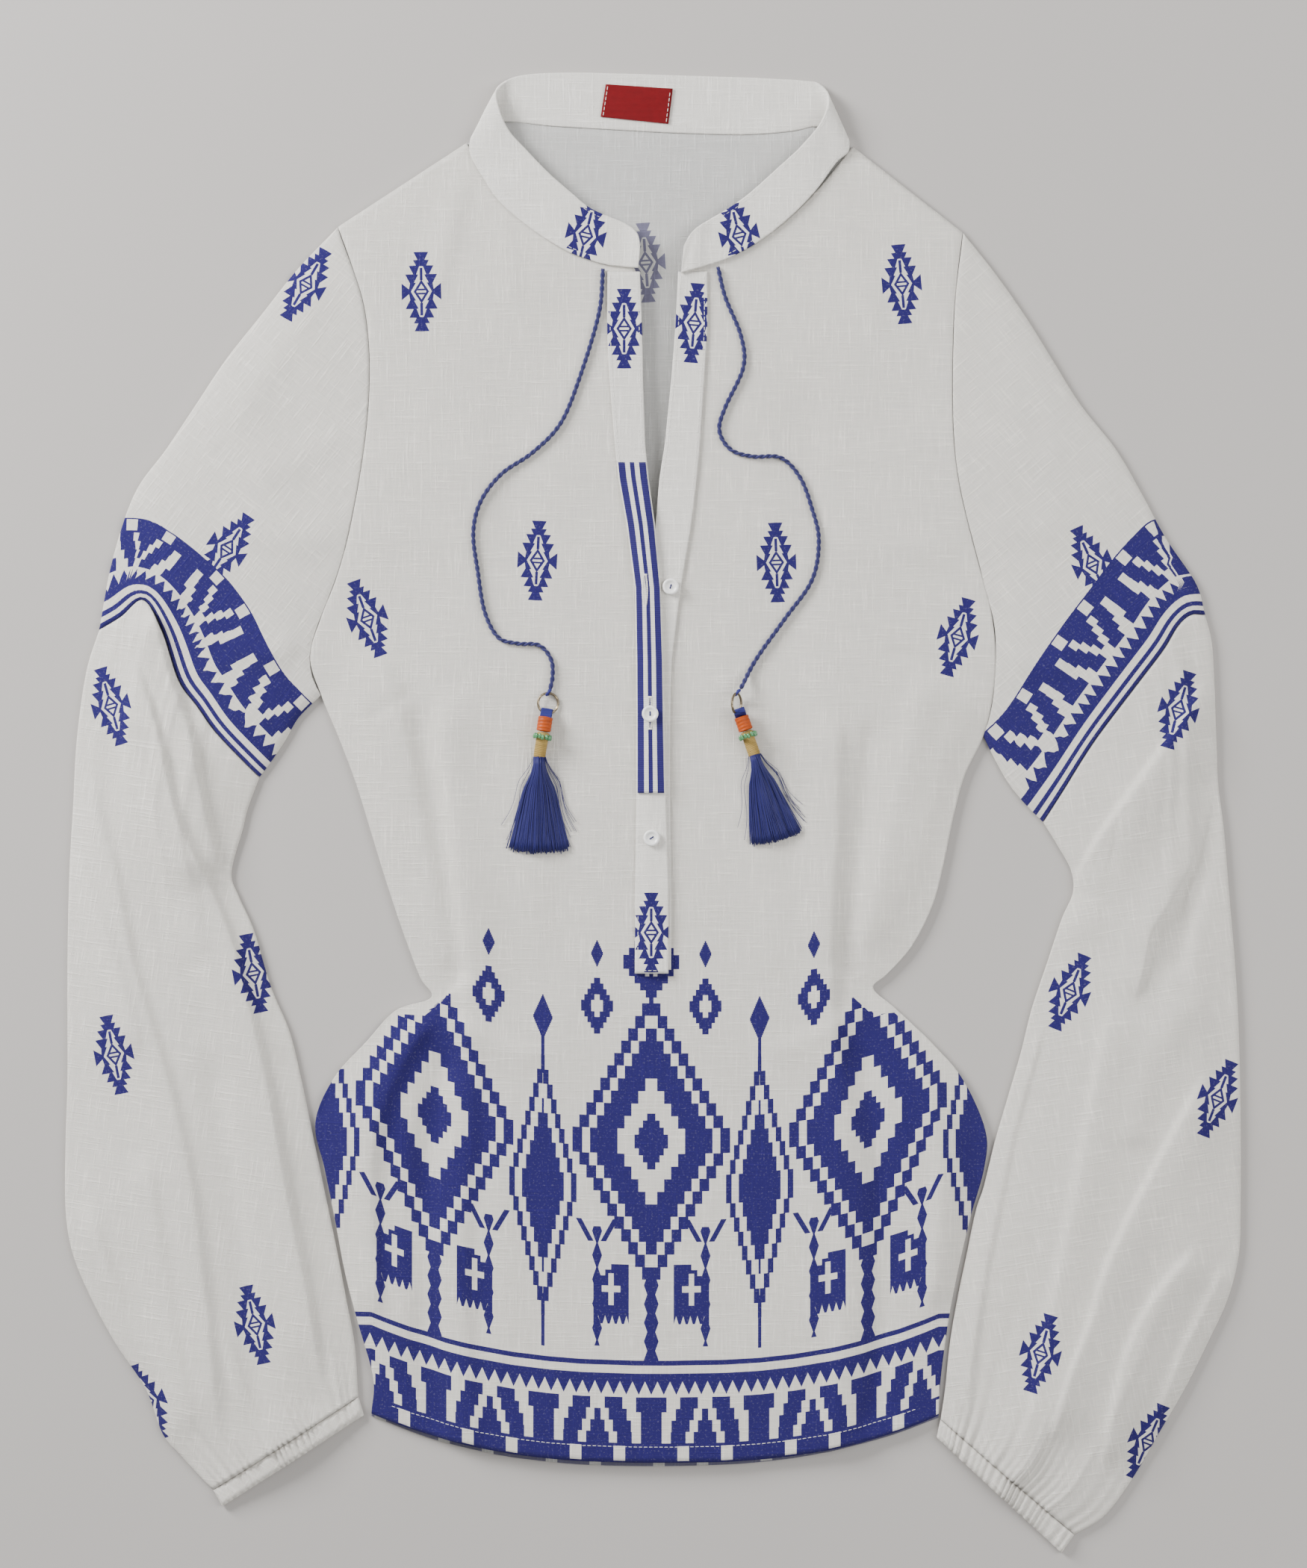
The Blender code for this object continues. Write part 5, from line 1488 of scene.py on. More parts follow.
def gather_wave(distance, side):
    """Ripple drawn in by the elastic: a cosine of uneven phase and height, fading with the distance from the
    cuff.
    """
    across = np.linspace(0, 1, LOWER_ACROSS)
    seed = 0.0 if side == "left" else 1.7
    slow, quick = np.sin(math.tau * 1.7 * across + seed), np.sin(math.tau * 4.3 * across)
    phase = CUFF_WAVES * across + 0.4 * slow + 0.25 * quick
    uneven = 0.75 + 0.35 * np.sin(math.tau * 2.3 * across + seed) + 0.2 * np.sin(math.tau * 5.1 * across)
    ripple = np.cos(math.tau * phase) * uneven * np.sin(math.pi * across) ** 0.3
    return 1.0 * ripple * np.exp(-distance / 24.0)


def make_lower_sleeve(side):
    """A Coons patch from the seam to the cuff. Height is the laid cloth's, plus the pleats from both ends,
    plus the ripple that the elastic draws in.
    """
    shares = np.linspace(0, 1, 181)
    across = np.linspace(0, 1, LOWER_ACROSS)
    seam = along(SLEEVE_SEAM[side], across)
    outward = OUTWARD[side]
    start = seam + outward * sideways(seam) * SEAM * 0.8
    finish = cuff_line(side, False)
    outer, inner = along(LOWER_OUTER[side], shares), along(LOWER_INNER[side], shares)
    outer[0], inner[0] = start[0], start[-1]
    plan = coons(start, finish, outer, inner, shares, across)
    where = "lower_" + side
    x, y = plan[..., 0], plan[..., 1]
    smooth_top = cloth_top(x, y, where, SLEEVE_LOFT)
    s, j = np.meshgrid(shares, across, indexing="ij")
    length = length_of(outer)
    gathers = sum(pleats(s, j, PLEAT_SEED[side] + k, *row) for k, row in enumerate(PLEATS))
    inside = np.min([np.abs(nearest_on(x, y, edge)[0]) for edge in outline_edges()], axis=0)
    gathers *= 1 - np.exp(-inside / 7.0)
    ripple = gather_wave((1 - s) * length, side) * (1 - np.exp(-inside / 4.0))
    top = smooth_top + 0.9 * (gathers - 0.5) * (1 - np.exp(-inside / 9.0)) + ripple
    top = np.maximum(top, RIM_TOP)
    low = np.clip(np.minimum(smooth_top - 2.2, top - CLOTH), CLOTH + SEAM, None)
    maps = plan_maps(MOTIFS["sleeve_lower_" + side], None, GRAIN_TURN["lower"][side])
    thing = tube("sleeve_lower_cloth_" + side, *tube_rings(plan, top, low), FINISH["plain"], maps)
    return dress(thing, "sleeve_lower_" + side)


def make_cuff(side):
    """A short tube between the cuff's two edges: the same ripple, less a fall towards the lower edge and a
    row of stitching.
    """
    upper, lower = cuff_line(side, False), cuff_line(side, True)
    away = unit(lower - upper)
    shares = np.linspace(0, 1, 15)[:, None, None]
    plan = (upper + away * SEAM)[None] * (1 - shares) + lower[None] * shares
    fall = np.interp(
        shares[:, 0, 0], [0.0, 0.08, 0.16, 0.75, 0.9, 1.0], [0.5, 0.0, 0.0, 0.1, 0.8, 2.2]
    )[:, None]
    stitch = 0.5 * np.exp(-(((shares[:, 0, 0] - 0.1) / 0.05) ** 2))[:, None]
    top = cloth_top(
        plan[..., 0], plan[..., 1], "cuff", SLEEVE_LOFT
    ) + gather_wave(0.0, side)[None] * 0.9 - fall - stitch
    top = np.maximum(top, RIM_TOP)
    low = np.maximum(top - 1.8, CLOTH + SEAM)
    maps = plan_maps(NO_MOTIF, None, GRAIN_TURN["cuff"][side])
    thing = tube("cuff_cloth_" + side, *tube_rings(plan, top, low), FINISH["plain"], maps)
    return dress(thing, "cuff_" + side)


LOWER = {side: make_lower_sleeve(side) for side in ARMHOLE}
CUFFS = {side: make_cuff(side) for side in ARMHOLE}
for side in LOWER:
    lay_sheet(LOWER[side], 0.31, 0.47, [])
    lay_sheet(CUFFS[side], 0.2, 0.016, [])

# %% [markdown]
# The bands are doubled cloth with a folded edge, so each is a flat profile with round ends carried along a
# path: down the slit for the two placket bands and the striped tape, and round the neck for the collar. The
# collar's path leaves the chest at each shoulder, rolls over and lies down behind the neck.

# %% Bands carried along a path
def band_ring(middle, over, thick, arc=5):
    """Rings round a band: its middle line plus or minus half the thickness along the normal, and a half
    circle past each edge.
    """
    half = thick / 2
    way = unit(middle[:, -1] - middle[:, 0])
    inset = middle.copy()
    inset[:, 0] += way * half
    inset[:, -1] -= way * half
    swing = np.linspace(90, -90, arc + 2)[1:-1]
    turn = np.radians(swing)[None, :, None]
    far = inset[:, -1:] + half * (np.sin(turn) * over[:, -1:] + np.cos(turn) * way[:, None])
    near = inset[:, :1] - half * (np.sin(turn) * over[:, :1] + np.cos(turn) * way[:, None])
    return np.concatenate([inset + over * half, far, (inset - over * half)[:, ::-1], near], axis=1)


def banded(name, rings, material, maps):
    """Closes a stack of rings into a solid band, with a face over each end."""
    rows, count = rings.shape[:2]
    skin = grid_faces(rows, count, wrap=True)[:, ::-1]
    half = count // 2
    ends = []
    for first, turned in ((0, False), ((rows - 1) * count, True)):
        top = np.arange(0, half - 1)
        back = (count - 1 - top) % count
        quads = np.stack([top, top + 1, back - 1, back], axis=-1) + first
        ends.append(quads[:, ::-1] if turned else quads)
    faces = np.concatenate([skin, *ends])
    points = rings.reshape(-1, 3)
    return add_mesh(name, points, faces, material, {key: make(points, faces) for key, make in maps.items()})


def panel_height(x, y):
    """Top of the front panel."""
    return cloth_top(x, y, "body", BODY_LOFT)


def band_base(y):
    """Where a placket band lies: the panel's height beside the placket, and the seam gap."""
    return panel_height(BESIDE_PLACKET + 0 * y, y) + SEAM


def lap(y):
    """How far the over band is lifted by the under band that it lies on."""
    return LAP_RISE * ease((LAP_START - np.asarray(y)) / (LAP_START - LAP_FULL))


def over_seam_middle(y):
    """Plan x of the over band at height y: its seam, the line where the lap begins, and its free edge."""
    seam, edge = placket_x(y, 1), placket_x(y, 2)
    return seam, seam + LAP_SHARE * (edge - seam), edge


def over_height(x, y):
    """Top of the over band: the panel's height beside it, the seam gap, the cloth and the lap."""
    seam, middle, _ = over_seam_middle(y)
    share = np.clip((x - seam) / (middle - seam), 0, 1)
    return band_base(y) + CLOTH + lap(y) * share


def chest_height(x, y):
    """Top of whatever lies at a place on the chest: panel, placket bands or tape."""
    x, y = np.broadcast_arrays(np.asarray(x, float), np.asarray(y, float))
    height = panel_height(x, y)
    seam, _, edge = over_seam_middle(y)
    over = (x > seam) & (x < edge) & (y < PLACKET_TOP) & (y > PLACKET_END)
    under = (x > placket_x(y, 3)) & (x < placket_x(y, 4)) & (y < PLACKET_TOP) & (y > UNDER_END) & ~over
    tape = over & (y < TAPE_TOP) & (y > TAPE_END)
    height = np.where(under, band_base(y) + CLOTH, height)
    height = np.where(over, over_height(x, y), height)
    return np.where(tape, over_height(x, y) + SEAM + TAPE_THICK, height)


def strip(y, left, right, low, thick, columns=13):
    """Rings of a flat strip down the placket: its middle surface runs from left to right at each y, resting
    at the height low gives.
    """
    share = np.linspace(0, 1, columns)
    x = left[:, None] + (right - left)[:, None] * share
    deep = np.broadcast_to(y[:, None], x.shape)
    z = low(x, deep) + thick / 2
    slope = np.gradient(z, axis=1) / np.gradient(x, axis=1)
    over = unit(np.stack([-slope, 0 * slope, np.ones_like(slope)], axis=-1))
    return band_ring(np.stack([x, deep, z], axis=-1), over, thick)


print("collar is", COLLAR_THICK, "mm thick")

# %% Placket bands
def make_over_band():
    """A strip from its seam to its free edge, lifted where it laps the other band."""
    y = np.linspace(PLACKET_TOP, PLACKET_END, 170)
    seam, _, edge = over_seam_middle(y)
    rings = strip(y, seam, edge, lambda x, deep: over_height(x, deep) - CLOTH, CLOTH)
    band = banded("placket_over_band", rings, FINISH["band"], plan_maps(MOTIFS["placket_over"]))
    return dress(band, "placket_over", "band")


def make_under_band():
    """A strip from its free edge to its seam. Where the other band covers it, it reaches no further than the
    lap's start.
    """
    y = np.linspace(PLACKET_TOP, UNDER_END, 170)
    _, middle, _ = over_seam_middle(y)
    free = np.where(y < LAP_FULL, np.maximum(placket_x(y, 3), middle + 1.0), placket_x(y, 3))
    rings = strip(y, free, placket_x(y, 4), lambda x, deep: band_base(deep), CLOTH)
    band = banded("placket_under_band", rings, FINISH["band"], plan_maps(MOTIFS["placket_under"]))
    return dress(band, "placket_under", "band")


OVER, UNDER = make_over_band(), make_under_band()
lay_sheet(OVER, 0.018, 0.3755, ["front_panel"])
lay_sheet(UNDER, 0.0155, 0.3735, ["front_panel"])

# %% [markdown]
# The tape is a narrow ribbon with five woven stripes and fine ribs across, sewn on with a stitch at each
# edge. Its stripes are read from a map across its width, so they follow it as it leans.

# %% Striped tape
STRIPES = [(0.02, 0.26), (0.42, 0.58), (0.74, 0.98)]
TAPE_WHITE = (0.80, 0.79, 0.76)
NAVY_STRIPE = (0.020, 0.014, 0.125)


def make_tape_finish():
    """Blue between charted shares of the width, with a sine of fine ribs along the length."""
    w, shader, material = start_material("striped_tape", 0.72, 0.1)
    axes = w.axes(w.uv("across"))
    share = w.in_mm(axes[0])
    blue = w.any(*[w.between(share, low, high) for low, high in STRIPES])
    rib = w.sine(w.times(axes[1], math.tau / 0.00062))
    grain = use_group(w, SLUB, {"Place": w.uv("grain"), "Pitch": TAPE_PITCH})
    shade = w.scaled(rib, 0.06, grain["Shade"])
    paint(w, shader, TAPE_WHITE, NAVY_STRIPE, blue, shade)
    w.bump(shader, 0.7, 0.00018, rib)
    return material


def make_tape():
    """A strip on the over band. Its own map is the share of the way across, and the height down the chest."""
    y = np.linspace(TAPE_TOP, TAPE_END, 130)
    seam, _, edge = over_seam_middle(y)
    left, right = seam + TAPE_INSET, edge - TAPE_INSET
    rings = strip(y, left, right, lambda x, deep: over_height(x, deep) + SEAM, TAPE_THICK)
    maps = plan_maps(NO_MOTIF)
    maps["across"] = lambda points, faces: np.stack(
        [
            (points[:, 0] - np.interp(-points[:, 1], -y, left)) / np.interp(-points[:, 1], -y, right - left),
            points[:, 1]
        ], axis=-1
    )[faces]
    return dress(banded("stripe_tape_ribbon", rings, make_tape_finish(), maps), "stripe_tape", "tape")


TAPE = make_tape()
lay_sheet(TAPE, 0.0165, 0.177, ["placket_over"])

# %% [markdown]
# The collar is one interlined band, so it keeps a firm round form while the cloth round it sags. Each row
# of the table is a section of the band, from its seam to its top edge, and a smooth curve runs through all
# the sections. That was chosen over bending a straight strip, because the real band is cut on a curve.

# %% Stand collar
# Columns: seam x, y, top edge x, y, height of the top edge above the seam.
COLLAR_FRONT = {
    "left": [
        (-8, 291.4, -7, 303, 0.0), (-11, 291.6, -8.5, 310, 0.0), (-17, 292.2, -15, 315.4, 0.0), (
            -25, 293.2, -26, 320, 0.1
        ),
        (-34, 295.8, -35, 324.5, 0.2), (-48, 301.4, -44, 332, 0.4), (-66, 313, -56, 342.5, 0.8), (
            -82, 327, -68, 355, 1.6
        ),
        (-91, 340, -77, 365, 2.8), (-98, 353, -82, 376, 4.2),
    ],
    "right": [
        (15, 288.6, 16.3, 303, 0.0), (18, 289.6, 19.5, 309, 0.0), (23, 291, 24, 313.5, 0.0), (
            30, 293.2, 31, 318, 0.1
        ),
        (41, 297, 41, 324, 0.2), (57, 306, 52, 332, 0.4), (73, 318.6, 66, 344.5, 0.8), (
            87, 333, 78, 355.5, 1.6
        ),
        (98, 348, 88, 367, 2.8), (104.5, 354, 92.5, 376, 4.2),
    ],
}
# The roll at each shoulder: seam x, y, z, top edge x, y, z.
COLLAR_ROLL = {
    "left": [(-97, 361.4, 4.2, -83.5, 386.5, 6.0), (-91, 366.4, 1.2, -78, 393, 1.8)],
    "right": [(103.8, 361.2, 4.2, 93.2, 384.5, 6.0), (96.5, 366, 1.2, 88.6, 391.2, 1.8)],
}


def resting_height(x, y, radius):
    """The highest chest point within a small radius."""
    turns = np.arange(8) * math.tau / 8
    return float(np.max(chest_height(
        x + radius * np.append(0, np.cos(turns)), y + radius * np.append(0, np.sin(turns))
    )))


def collar_middle():
    """The collar's middle surface: a row a section from the seam to the top edge, smoothed along the band."""
    sections = {"left": [], "right": []}
    for side, rows in COLLAR_FRONT.items():
        for seam_x, seam_y, top_x, top_y, lift in rows:
            z = resting_height(seam_x, seam_y, 2.5) + SEAM + COLLAR_THICK / 2
            sections[side].append((seam_x, seam_y, z, top_x, top_y, z + lift - 0.2))
        sections[side] += COLLAR_ROLL[side]
    flat = COLLAR_THICK / 2
    back = [(*seam, flat, *top, flat) for seam, top in zip(BACK_SEAM, BACK_SEAM_TOP)]
    table = refine(np.array([*sections["left"], *back, *sections["right"][::-1]], float), 7)
    share = np.linspace(0, 1, 15)[None, :, None]
    middle = table[:, None, :3] * (1 - share) + table[:, None, 3:] * share
    run = np.gradient(middle, axis=0)
    return middle, -unit(np.cross(run, table[:, None, 3:] - table[:, None, :3]))


def make_collar():
    """The band's ring carried round the neck. Two stitched grooves and a soft wave along the band lower and
    raise its outer face.
    """
    middle, over = collar_middle()
    s = np.linspace(0, 1, middle.shape[0])[:, None]
    j = np.linspace(0, 1, middle.shape[1])[None]
    groove = -0.16 * (np.exp(-(((j - 0.09) / 0.025) ** 2)) + np.exp(-(((j - 0.91) / 0.025) ** 2)))
    long_wave = 0.16 * np.sin(math.tau * 9 * s + 2 * j) * np.sin(math.pi * j)
    soft = long_wave + 0.1 * np.sin(math.tau * 17 * s + 4 * j)
    rings = band_ring(middle, over, COLLAR_THICK)
    columns = middle.shape[1]
    rings[:, :columns] += over * (groove + soft * np.sin(math.pi * j) ** 0.5)[..., None]
    return dress(banded("collar_band", rings, FINISH["band"], plan_maps(MOTIFS["collar"])), "collar", "band")


COLLAR = make_collar()
lay_sheet(COLLAR, 0.0265, 0.435, ["front_panel", "back_panel"])

# %% [markdown]
# Stitches are small capsules of thread, laid a stitch apart along each sewn edge. They are a few faces each
# and are made together in one mesh for each piece, because there are hundreds of them.

# %% Stitch runs
STITCH, STITCH_GAP, THREAD = 2.0, 0.75, 0.17
CAPSULE_REACH = np.array([-1.0, -0.82, 0.0, 0.82, 1.0])
CAPSULE_GIRTH = np.array([0.05, 0.8, 1.0, 0.8, 0.05])


def capsules(starts, ends, radius, sides=4, arch=0.0):
    """One spindle of rings for each start and end point: the girth follows a rounded profile and the middle
    may arch up.
    """
    middle, half = (starts + ends) / 2, (ends - starts) / 2
    way = unit(half)
    across = np.cross(way, UP)
    across /= np.maximum(np.linalg.norm(across, axis=1, keepdims=True), 1e-6)
    lift = np.cross(across, way)
    turn = np.arange(sides) * math.tau / sides
    centre = middle[:, None] + half[:, None] * CAPSULE_REACH[None, :, None]
    centre = centre + (arch * (1 - CAPSULE_REACH**2))[None, :, None] * UP
    cosine, sine = np.cos(turn)[None, None, :, None], np.sin(turn)[None, None, :, None]
    circle = across[:, None, None] * cosine + lift[:, None, None] * sine
    points = centre[:, :, None] + radius * CAPSULE_GIRTH[None, :, None, None] * circle
    rings = len(CAPSULE_REACH)
    one = grid_faces(rings, sides, wrap=True)[:, ::-1]
    caps = np.array([[0, 1, 2, 3], [3, 2, 1, 0]]) + np.array([[0], [(rings - 1) * sides]])
    first = np.arange(len(starts))[:, None, None] * rings * sides
    faces = (np.concatenate([one, caps])[None] + first).reshape(-1, 4)
    return points.reshape(-1, 3), faces


def stitches_along(line, height, skip=0.0):
    """Starts and ends of the stitches along a plan line, each resting on the height function."""
    reach = reach_along(line)
    begin = np.arange(skip, reach[-1] - STITCH, STITCH + STITCH_GAP)

    def at(distance):
        x, y = np.interp(distance, reach, line[:, 0]), np.interp(distance, reach, line[:, 1])
        return np.stack([x, y, height(x, y) + 0.05], axis=-1)

    return at(begin), at(begin + STITCH)


def make_thread_finish(name, colour, roughness=0.6):
    """Thread: its colour with fine ply marks along Object coordinates."""
    w, shader, material = start_material(name, roughness, 0.1)
    place = w.place()
    ply = w.noise(place, 2600.0, 2.0)
    shade = w.scaled(ply, 0.5, 0.74)
    paint(w, shader, colour, colour, 0.0, shade)
    w.bump(shader, 0.5, 0.0001, ply)
    return material


WHITE_THREAD = make_thread_finish("white_thread", (0.82, 0.80, 0.76))


def sew(name, runs, material, slot="band", radius=THREAD):
    """Makes all the stitches of some runs as one mesh."""
    starts = np.concatenate([run[0] for run in runs])
    ends = np.concatenate([run[1] for run in runs])
    points, faces = capsules(starts, ends, radius)
    thing = add_mesh(name, points, faces, material)
    add_trim(thing, slot)
    return len(starts)


def collar_top(row_share):
    """A line on the collar's outer face at one share of its width."""
    middle, over = collar_middle()
    k = row_share * (middle.shape[1] - 1)
    low, part = int(k), k - int(k)
    line = middle[:, low] * (1 - part) + middle[:, min(low + 1, middle.shape[1] - 1)] * part
    return line + over[:, low] * (COLLAR_THICK / 2 - 0.1)


def stitches_on(line):
    """Stitches along a line in space."""
    reach = reach_along(line)
    begin = np.arange(1.5, reach[-1] - STITCH - 1.5, STITCH + STITCH_GAP)
    return [
        np.stack([np.interp(spot, reach, axis) for axis in line.T], axis=-1)
        for spot in (begin, begin + STITCH)
    ]


def placket_runs():
    """Stitches beside each long edge of the placket, and across its lower end."""
    y = np.linspace(PLACKET_TOP - 2, PLACKET_END + 1.5, 120)
    seam, _, edge = over_seam_middle(y)
    under_y = np.linspace(PLACKET_TOP - 2, LAP_START - 6, 60)
    runs = [
        stitches_along(np.stack([seam + 1.6, y], axis=-1), over_height),
        stitches_along(np.stack([placket_x(under_y, 4) - 1.6, under_y], axis=-1), chest_height),
        stitches_along(np.stack([placket_x(under_y, 3) + 1.6, under_y], axis=-1), chest_height),
    ]
    free = np.linspace(PLACKET_TOP - 2, TAPE_TOP + 2, 40)
    runs.append(stitches_along(np.stack([placket_x(free, 2) - 1.6, free], axis=-1), over_height))
    end_x = np.linspace(placket_x(PLACKET_END, 1) + 1.5, placket_x(PLACKET_END, 2) - 1.5, 8)
    runs.append(stitches_along(np.stack([end_x, np.full(8, PLACKET_END + 1.6)], axis=-1), over_height))
    return runs


def hem_runs():
    """One row of stitches a little above the front hem."""
    x = np.linspace(-140, 142, 150)
    line = np.stack([x, hem_height(x) + 8.4], axis=-1)
    return [stitches_along(line, panel_height)]


COUNTS = [
    sew("collar_stitches", [stitches_on(collar_top(0.09)), stitches_on(collar_top(0.91))], WHITE_THREAD),
    sew("placket_stitches", placket_runs(), WHITE_THREAD),
    sew("hem_stitches", hem_runs(), WHITE_THREAD, "cloth"),
]
print("stitches", COUNTS)

# %% [markdown]
# The small parts come next: a woven label with no words, three buttons of two holes sewn on with navy
# thread, and the worked buttonholes. On a button the two holes are painted as dark discs of painted shade
# in the dish, crossed by the thread, which is how they read at this size. The label is a thin band with a
# slight bow and a stitched line at each end.

# %% Label
LABEL_CORNERS = [(-25.4, 390.6), (10.6, 388.2), (8.2, 369.2), (-28.2, 373.0)]
LABEL_THICK = 0.6
LABEL_RED = (0.15, 0.001, 0.004)


def make_label_finish():
    """Red satin: fine ribs across and a slow change of tone, read from Object coordinates."""
    w, shader, material = start_material("red_woven_label", 0.62)
    place = w.place()
    axes = w.axes(place)
    rib = w.sine(w.times(axes[1], math.tau / 0.00045))
    cloud = w.noise(place, 320.0, 3.0)
    shade = w.scaled(cloud, 0.4, w.scaled(rib, 0.07, 0.8))
    paint(w, shader, LABEL_RED, LABEL_RED, 0.0, shade)
    w.bump(shader, 0.6, 0.00012, rib)
    return material


def make_label():
    """A thin band between its two short ends, lying on the back of the collar with a slight bow."""
    corners = np.array(LABEL_CORNERS, float)
    share = np.linspace(0, 1, 25)[:, None]
    top = corners[0] * (1 - share) + corners[1] * share
    bottom = corners[3] * (1 - share) + corners[2] * share
    across = np.linspace(0, 1, 13)[None, :, None]
    plan = bottom[:, None] * (1 - across) + top[:, None] * across
    bow = 0.35 * np.sin(math.pi * share) * np.sin(math.pi * across[..., 0])
    middle = with_height(plan, COLLAR_THICK + SEAM + LABEL_THICK / 2 + bow)
    over = np.broadcast_to(UP, middle.shape)
    thing = banded("label_woven", band_ring(middle, over, LABEL_THICK), make_label_finish(), {})
    dress(thing, "label", "label")
    lay_sheet(thing, 0.0362, 0.0185, ["collar"])
    ends = []
    for near in (0.035, 0.965):
        a = bottom[0] * (1 - near) + bottom[-1] * near
        b = top[0] * (1 - near) + top[-1] * near
        ends.append(stitches_along(
            np.stack([a + (b - a) * t for t in np.linspace(0.05, 0.95, 12)]), lambda x,
            y: 0 * x + COLLAR_THICK + SEAM + LABEL_THICK + 0.05
        ))
    return sew("label_stitches", ends, WHITE_THREAD, "label")


print("label stitches", make_label())

# %% [markdown]
# Three small shell buttons hold the placket. One profile is turned round its axis on a grid, like work on a
# lathe, and each button is then laid on the highest cloth below it.

# %% Buttons
BUTTONS = [
    ("button_top", 9.4, 121.0, 70.0), ("button_middle", -1.6, 53.0, 88.0),
    ("button_bottom", -0.8, -13.4, 35.0)
]
BUTTON_RADIUS = 4.4
# The button's profile from the middle of its face over the rim to the middle of its back: radius, height.
BUTTON_PROFILE = [
    (0.0, 1.34), (1.2, 1.32), (2.3, 1.42), (2.7, 1.68), (3.05, 2.0), (3.5, 2.14), (3.95, 2.04), (4.28, 1.72),
    (4.4, 1.3), (4.34, 0.85), (4.0, 0.4), (3.4, 0.12), (2.4, 0.02), (0.0, 0.0),
]
HOLE_OFFSET, HOLE_RADIUS = 0.95, 0.42


def turned(profile, steps):
    """A profile turned round Z: x = r cos(angle), y = r sin(angle); the first and last points sit on the
    axis.
    """
    angle = np.arange(steps) * math.tau / steps
    r, z = np.array(profile).T
    ring = np.stack([r[:, None] * np.cos(angle), r[:, None] * np.sin(angle), z[:, None] + 0 * angle], axis=-1)
    return ring


def make_pearl():
    """Polished shell: cloudy white with a soft gloss. The two holes are a painted shade: the turned button has no
    holes cut through it, so each is a dark disc.
    """
    w, shader, material = start_material("shell_button", 0.22)
    shader.inputs["Specular IOR Level"].default_value = 0.5
    place = w.uv("face")
    axes = w.axes(place)
    x = w.minus(w.size(w.in_mm(axes[0])), HOLE_OFFSET)
    y = w.in_mm(axes[1])
    hole = w.less(w.calc("SQRT", w.plus(w.times(x, x), w.times(y, y))), HOLE_RADIUS)
    cloud = w.noise(place, 420.0, 3.0)
    shade = w.scaled(cloud, 0.14, 0.92)
    # Where the holes are, the colour is a painted shade.
    paint(w, shader, (0.86, 0.855, 0.84), (0.12, 0.11, 0.11), hole, shade)
    return material


PEARL = make_pearl()
NAVY_THREAD = make_thread_finish("navy_thread", (0.012, 0.014, 0.09), 0.7)


def make_button(name, x, y, tilt):
    """The turned profile at its place, resting on the highest cloth below it, with two threads over the
    holes.
    """
    steps = 48
    rings = turned(BUTTON_PROFILE, steps)
    base = resting_height(x, y, BUTTON_RADIUS) + SEAM
    points = rings.reshape(-1, 3)
    faces = grid_faces(len(BUTTON_PROFILE), steps, wrap=True)
    angle = math.radians(tilt)
    turn = np.array([[math.cos(angle), -math.sin(angle)], [math.sin(angle), math.cos(angle)]])
    placed = np.column_stack([points[:, :2] @ turn.T + (x, y), points[:, 2] + base])
    thing = add_mesh(name + "_shell", placed, faces, PEARL, {"face": points[:, :2][faces]})
    close_poles(thing)
    dress(thing, name, "button")
    bar = np.array([[-HOLE_OFFSET - 0.25, 0.12], [-HOLE_OFFSET - 0.15, -0.18]]), np.array(
        [[HOLE_OFFSET + 0.2, -0.1], [HOLE_OFFSET + 0.25, 0.2]]
    )
    ends = [np.column_stack([side @ turn.T + (x, y), np.full(2, base + 1.42)]) for side in bar]
    points, faces = capsules(*ends, 0.34, arch=0.32)
    thread = add_mesh(name + "_thread", points, faces, NAVY_THREAD)
    add_trim(thread, "navy")


def close_poles(thing):
    """Merges the points that a turned profile leaves doubled on its axis, and points the faces outwards."""
    work = bmesh.new()
    work.from_mesh(thing.data)
    bmesh.ops.remove_doubles(work, verts=work.verts, dist=1e-7)
    bmesh.ops.recalc_face_normals(work, faces=work.faces)
    work.to_mesh(thing.data)
    work.free()


for button in BUTTONS:
    make_button(*button)
print("buttons", len(BUTTONS))

# %% Worked buttonholes
# Columns: middle x, y, half length, how far the hole gapes.
BUTTONHOLES = [(-4.4, 119.0, 7.6, 1.25), (-1.7, 53.4, 7.8, 0.5)]


def make_buttonholes():
    """Close bars of thread across both lips of each slit and over its ends, with a gap between them."""
    starts, ends = [], []
    for x, y, half, gape in BUTTONHOLES:
        t = np.linspace(-1, 1, 27)
        lip = gape * (1 - t**2) / 2
        deep = y + half * t
        for way in (-1, 1):
            near = np.column_stack([x + way * (lip + 0.1), deep])
            far = np.column_stack([x + way * (lip + 1.15), deep + 0.1])
            starts.append(np.column_stack([near, chest_height(*near.T) + 0.12]))
            ends.append(np.column_stack([far, chest_height(*far.T) + 0.05]))
        for tip in (-1, 1):
            bar = np.array([[x - 1.3, y + tip * (half + 0.5)], [x - 1.3, y + tip * (half + 0.9)]])
            rest = np.column_stack([bar, chest_height(*bar.T) + 0.15])
            starts.append(rest)
            ends.append(rest + (2.6, 0, 0))
    points, faces = capsules(np.concatenate(starts), np.concatenate(ends), 0.26)
    thing = add_mesh("buttonhole_thread", points, faces, WHITE_THREAD)
    add_trim(thing, "band")
    return len(points)


print("buttonhole points", make_buttonholes())
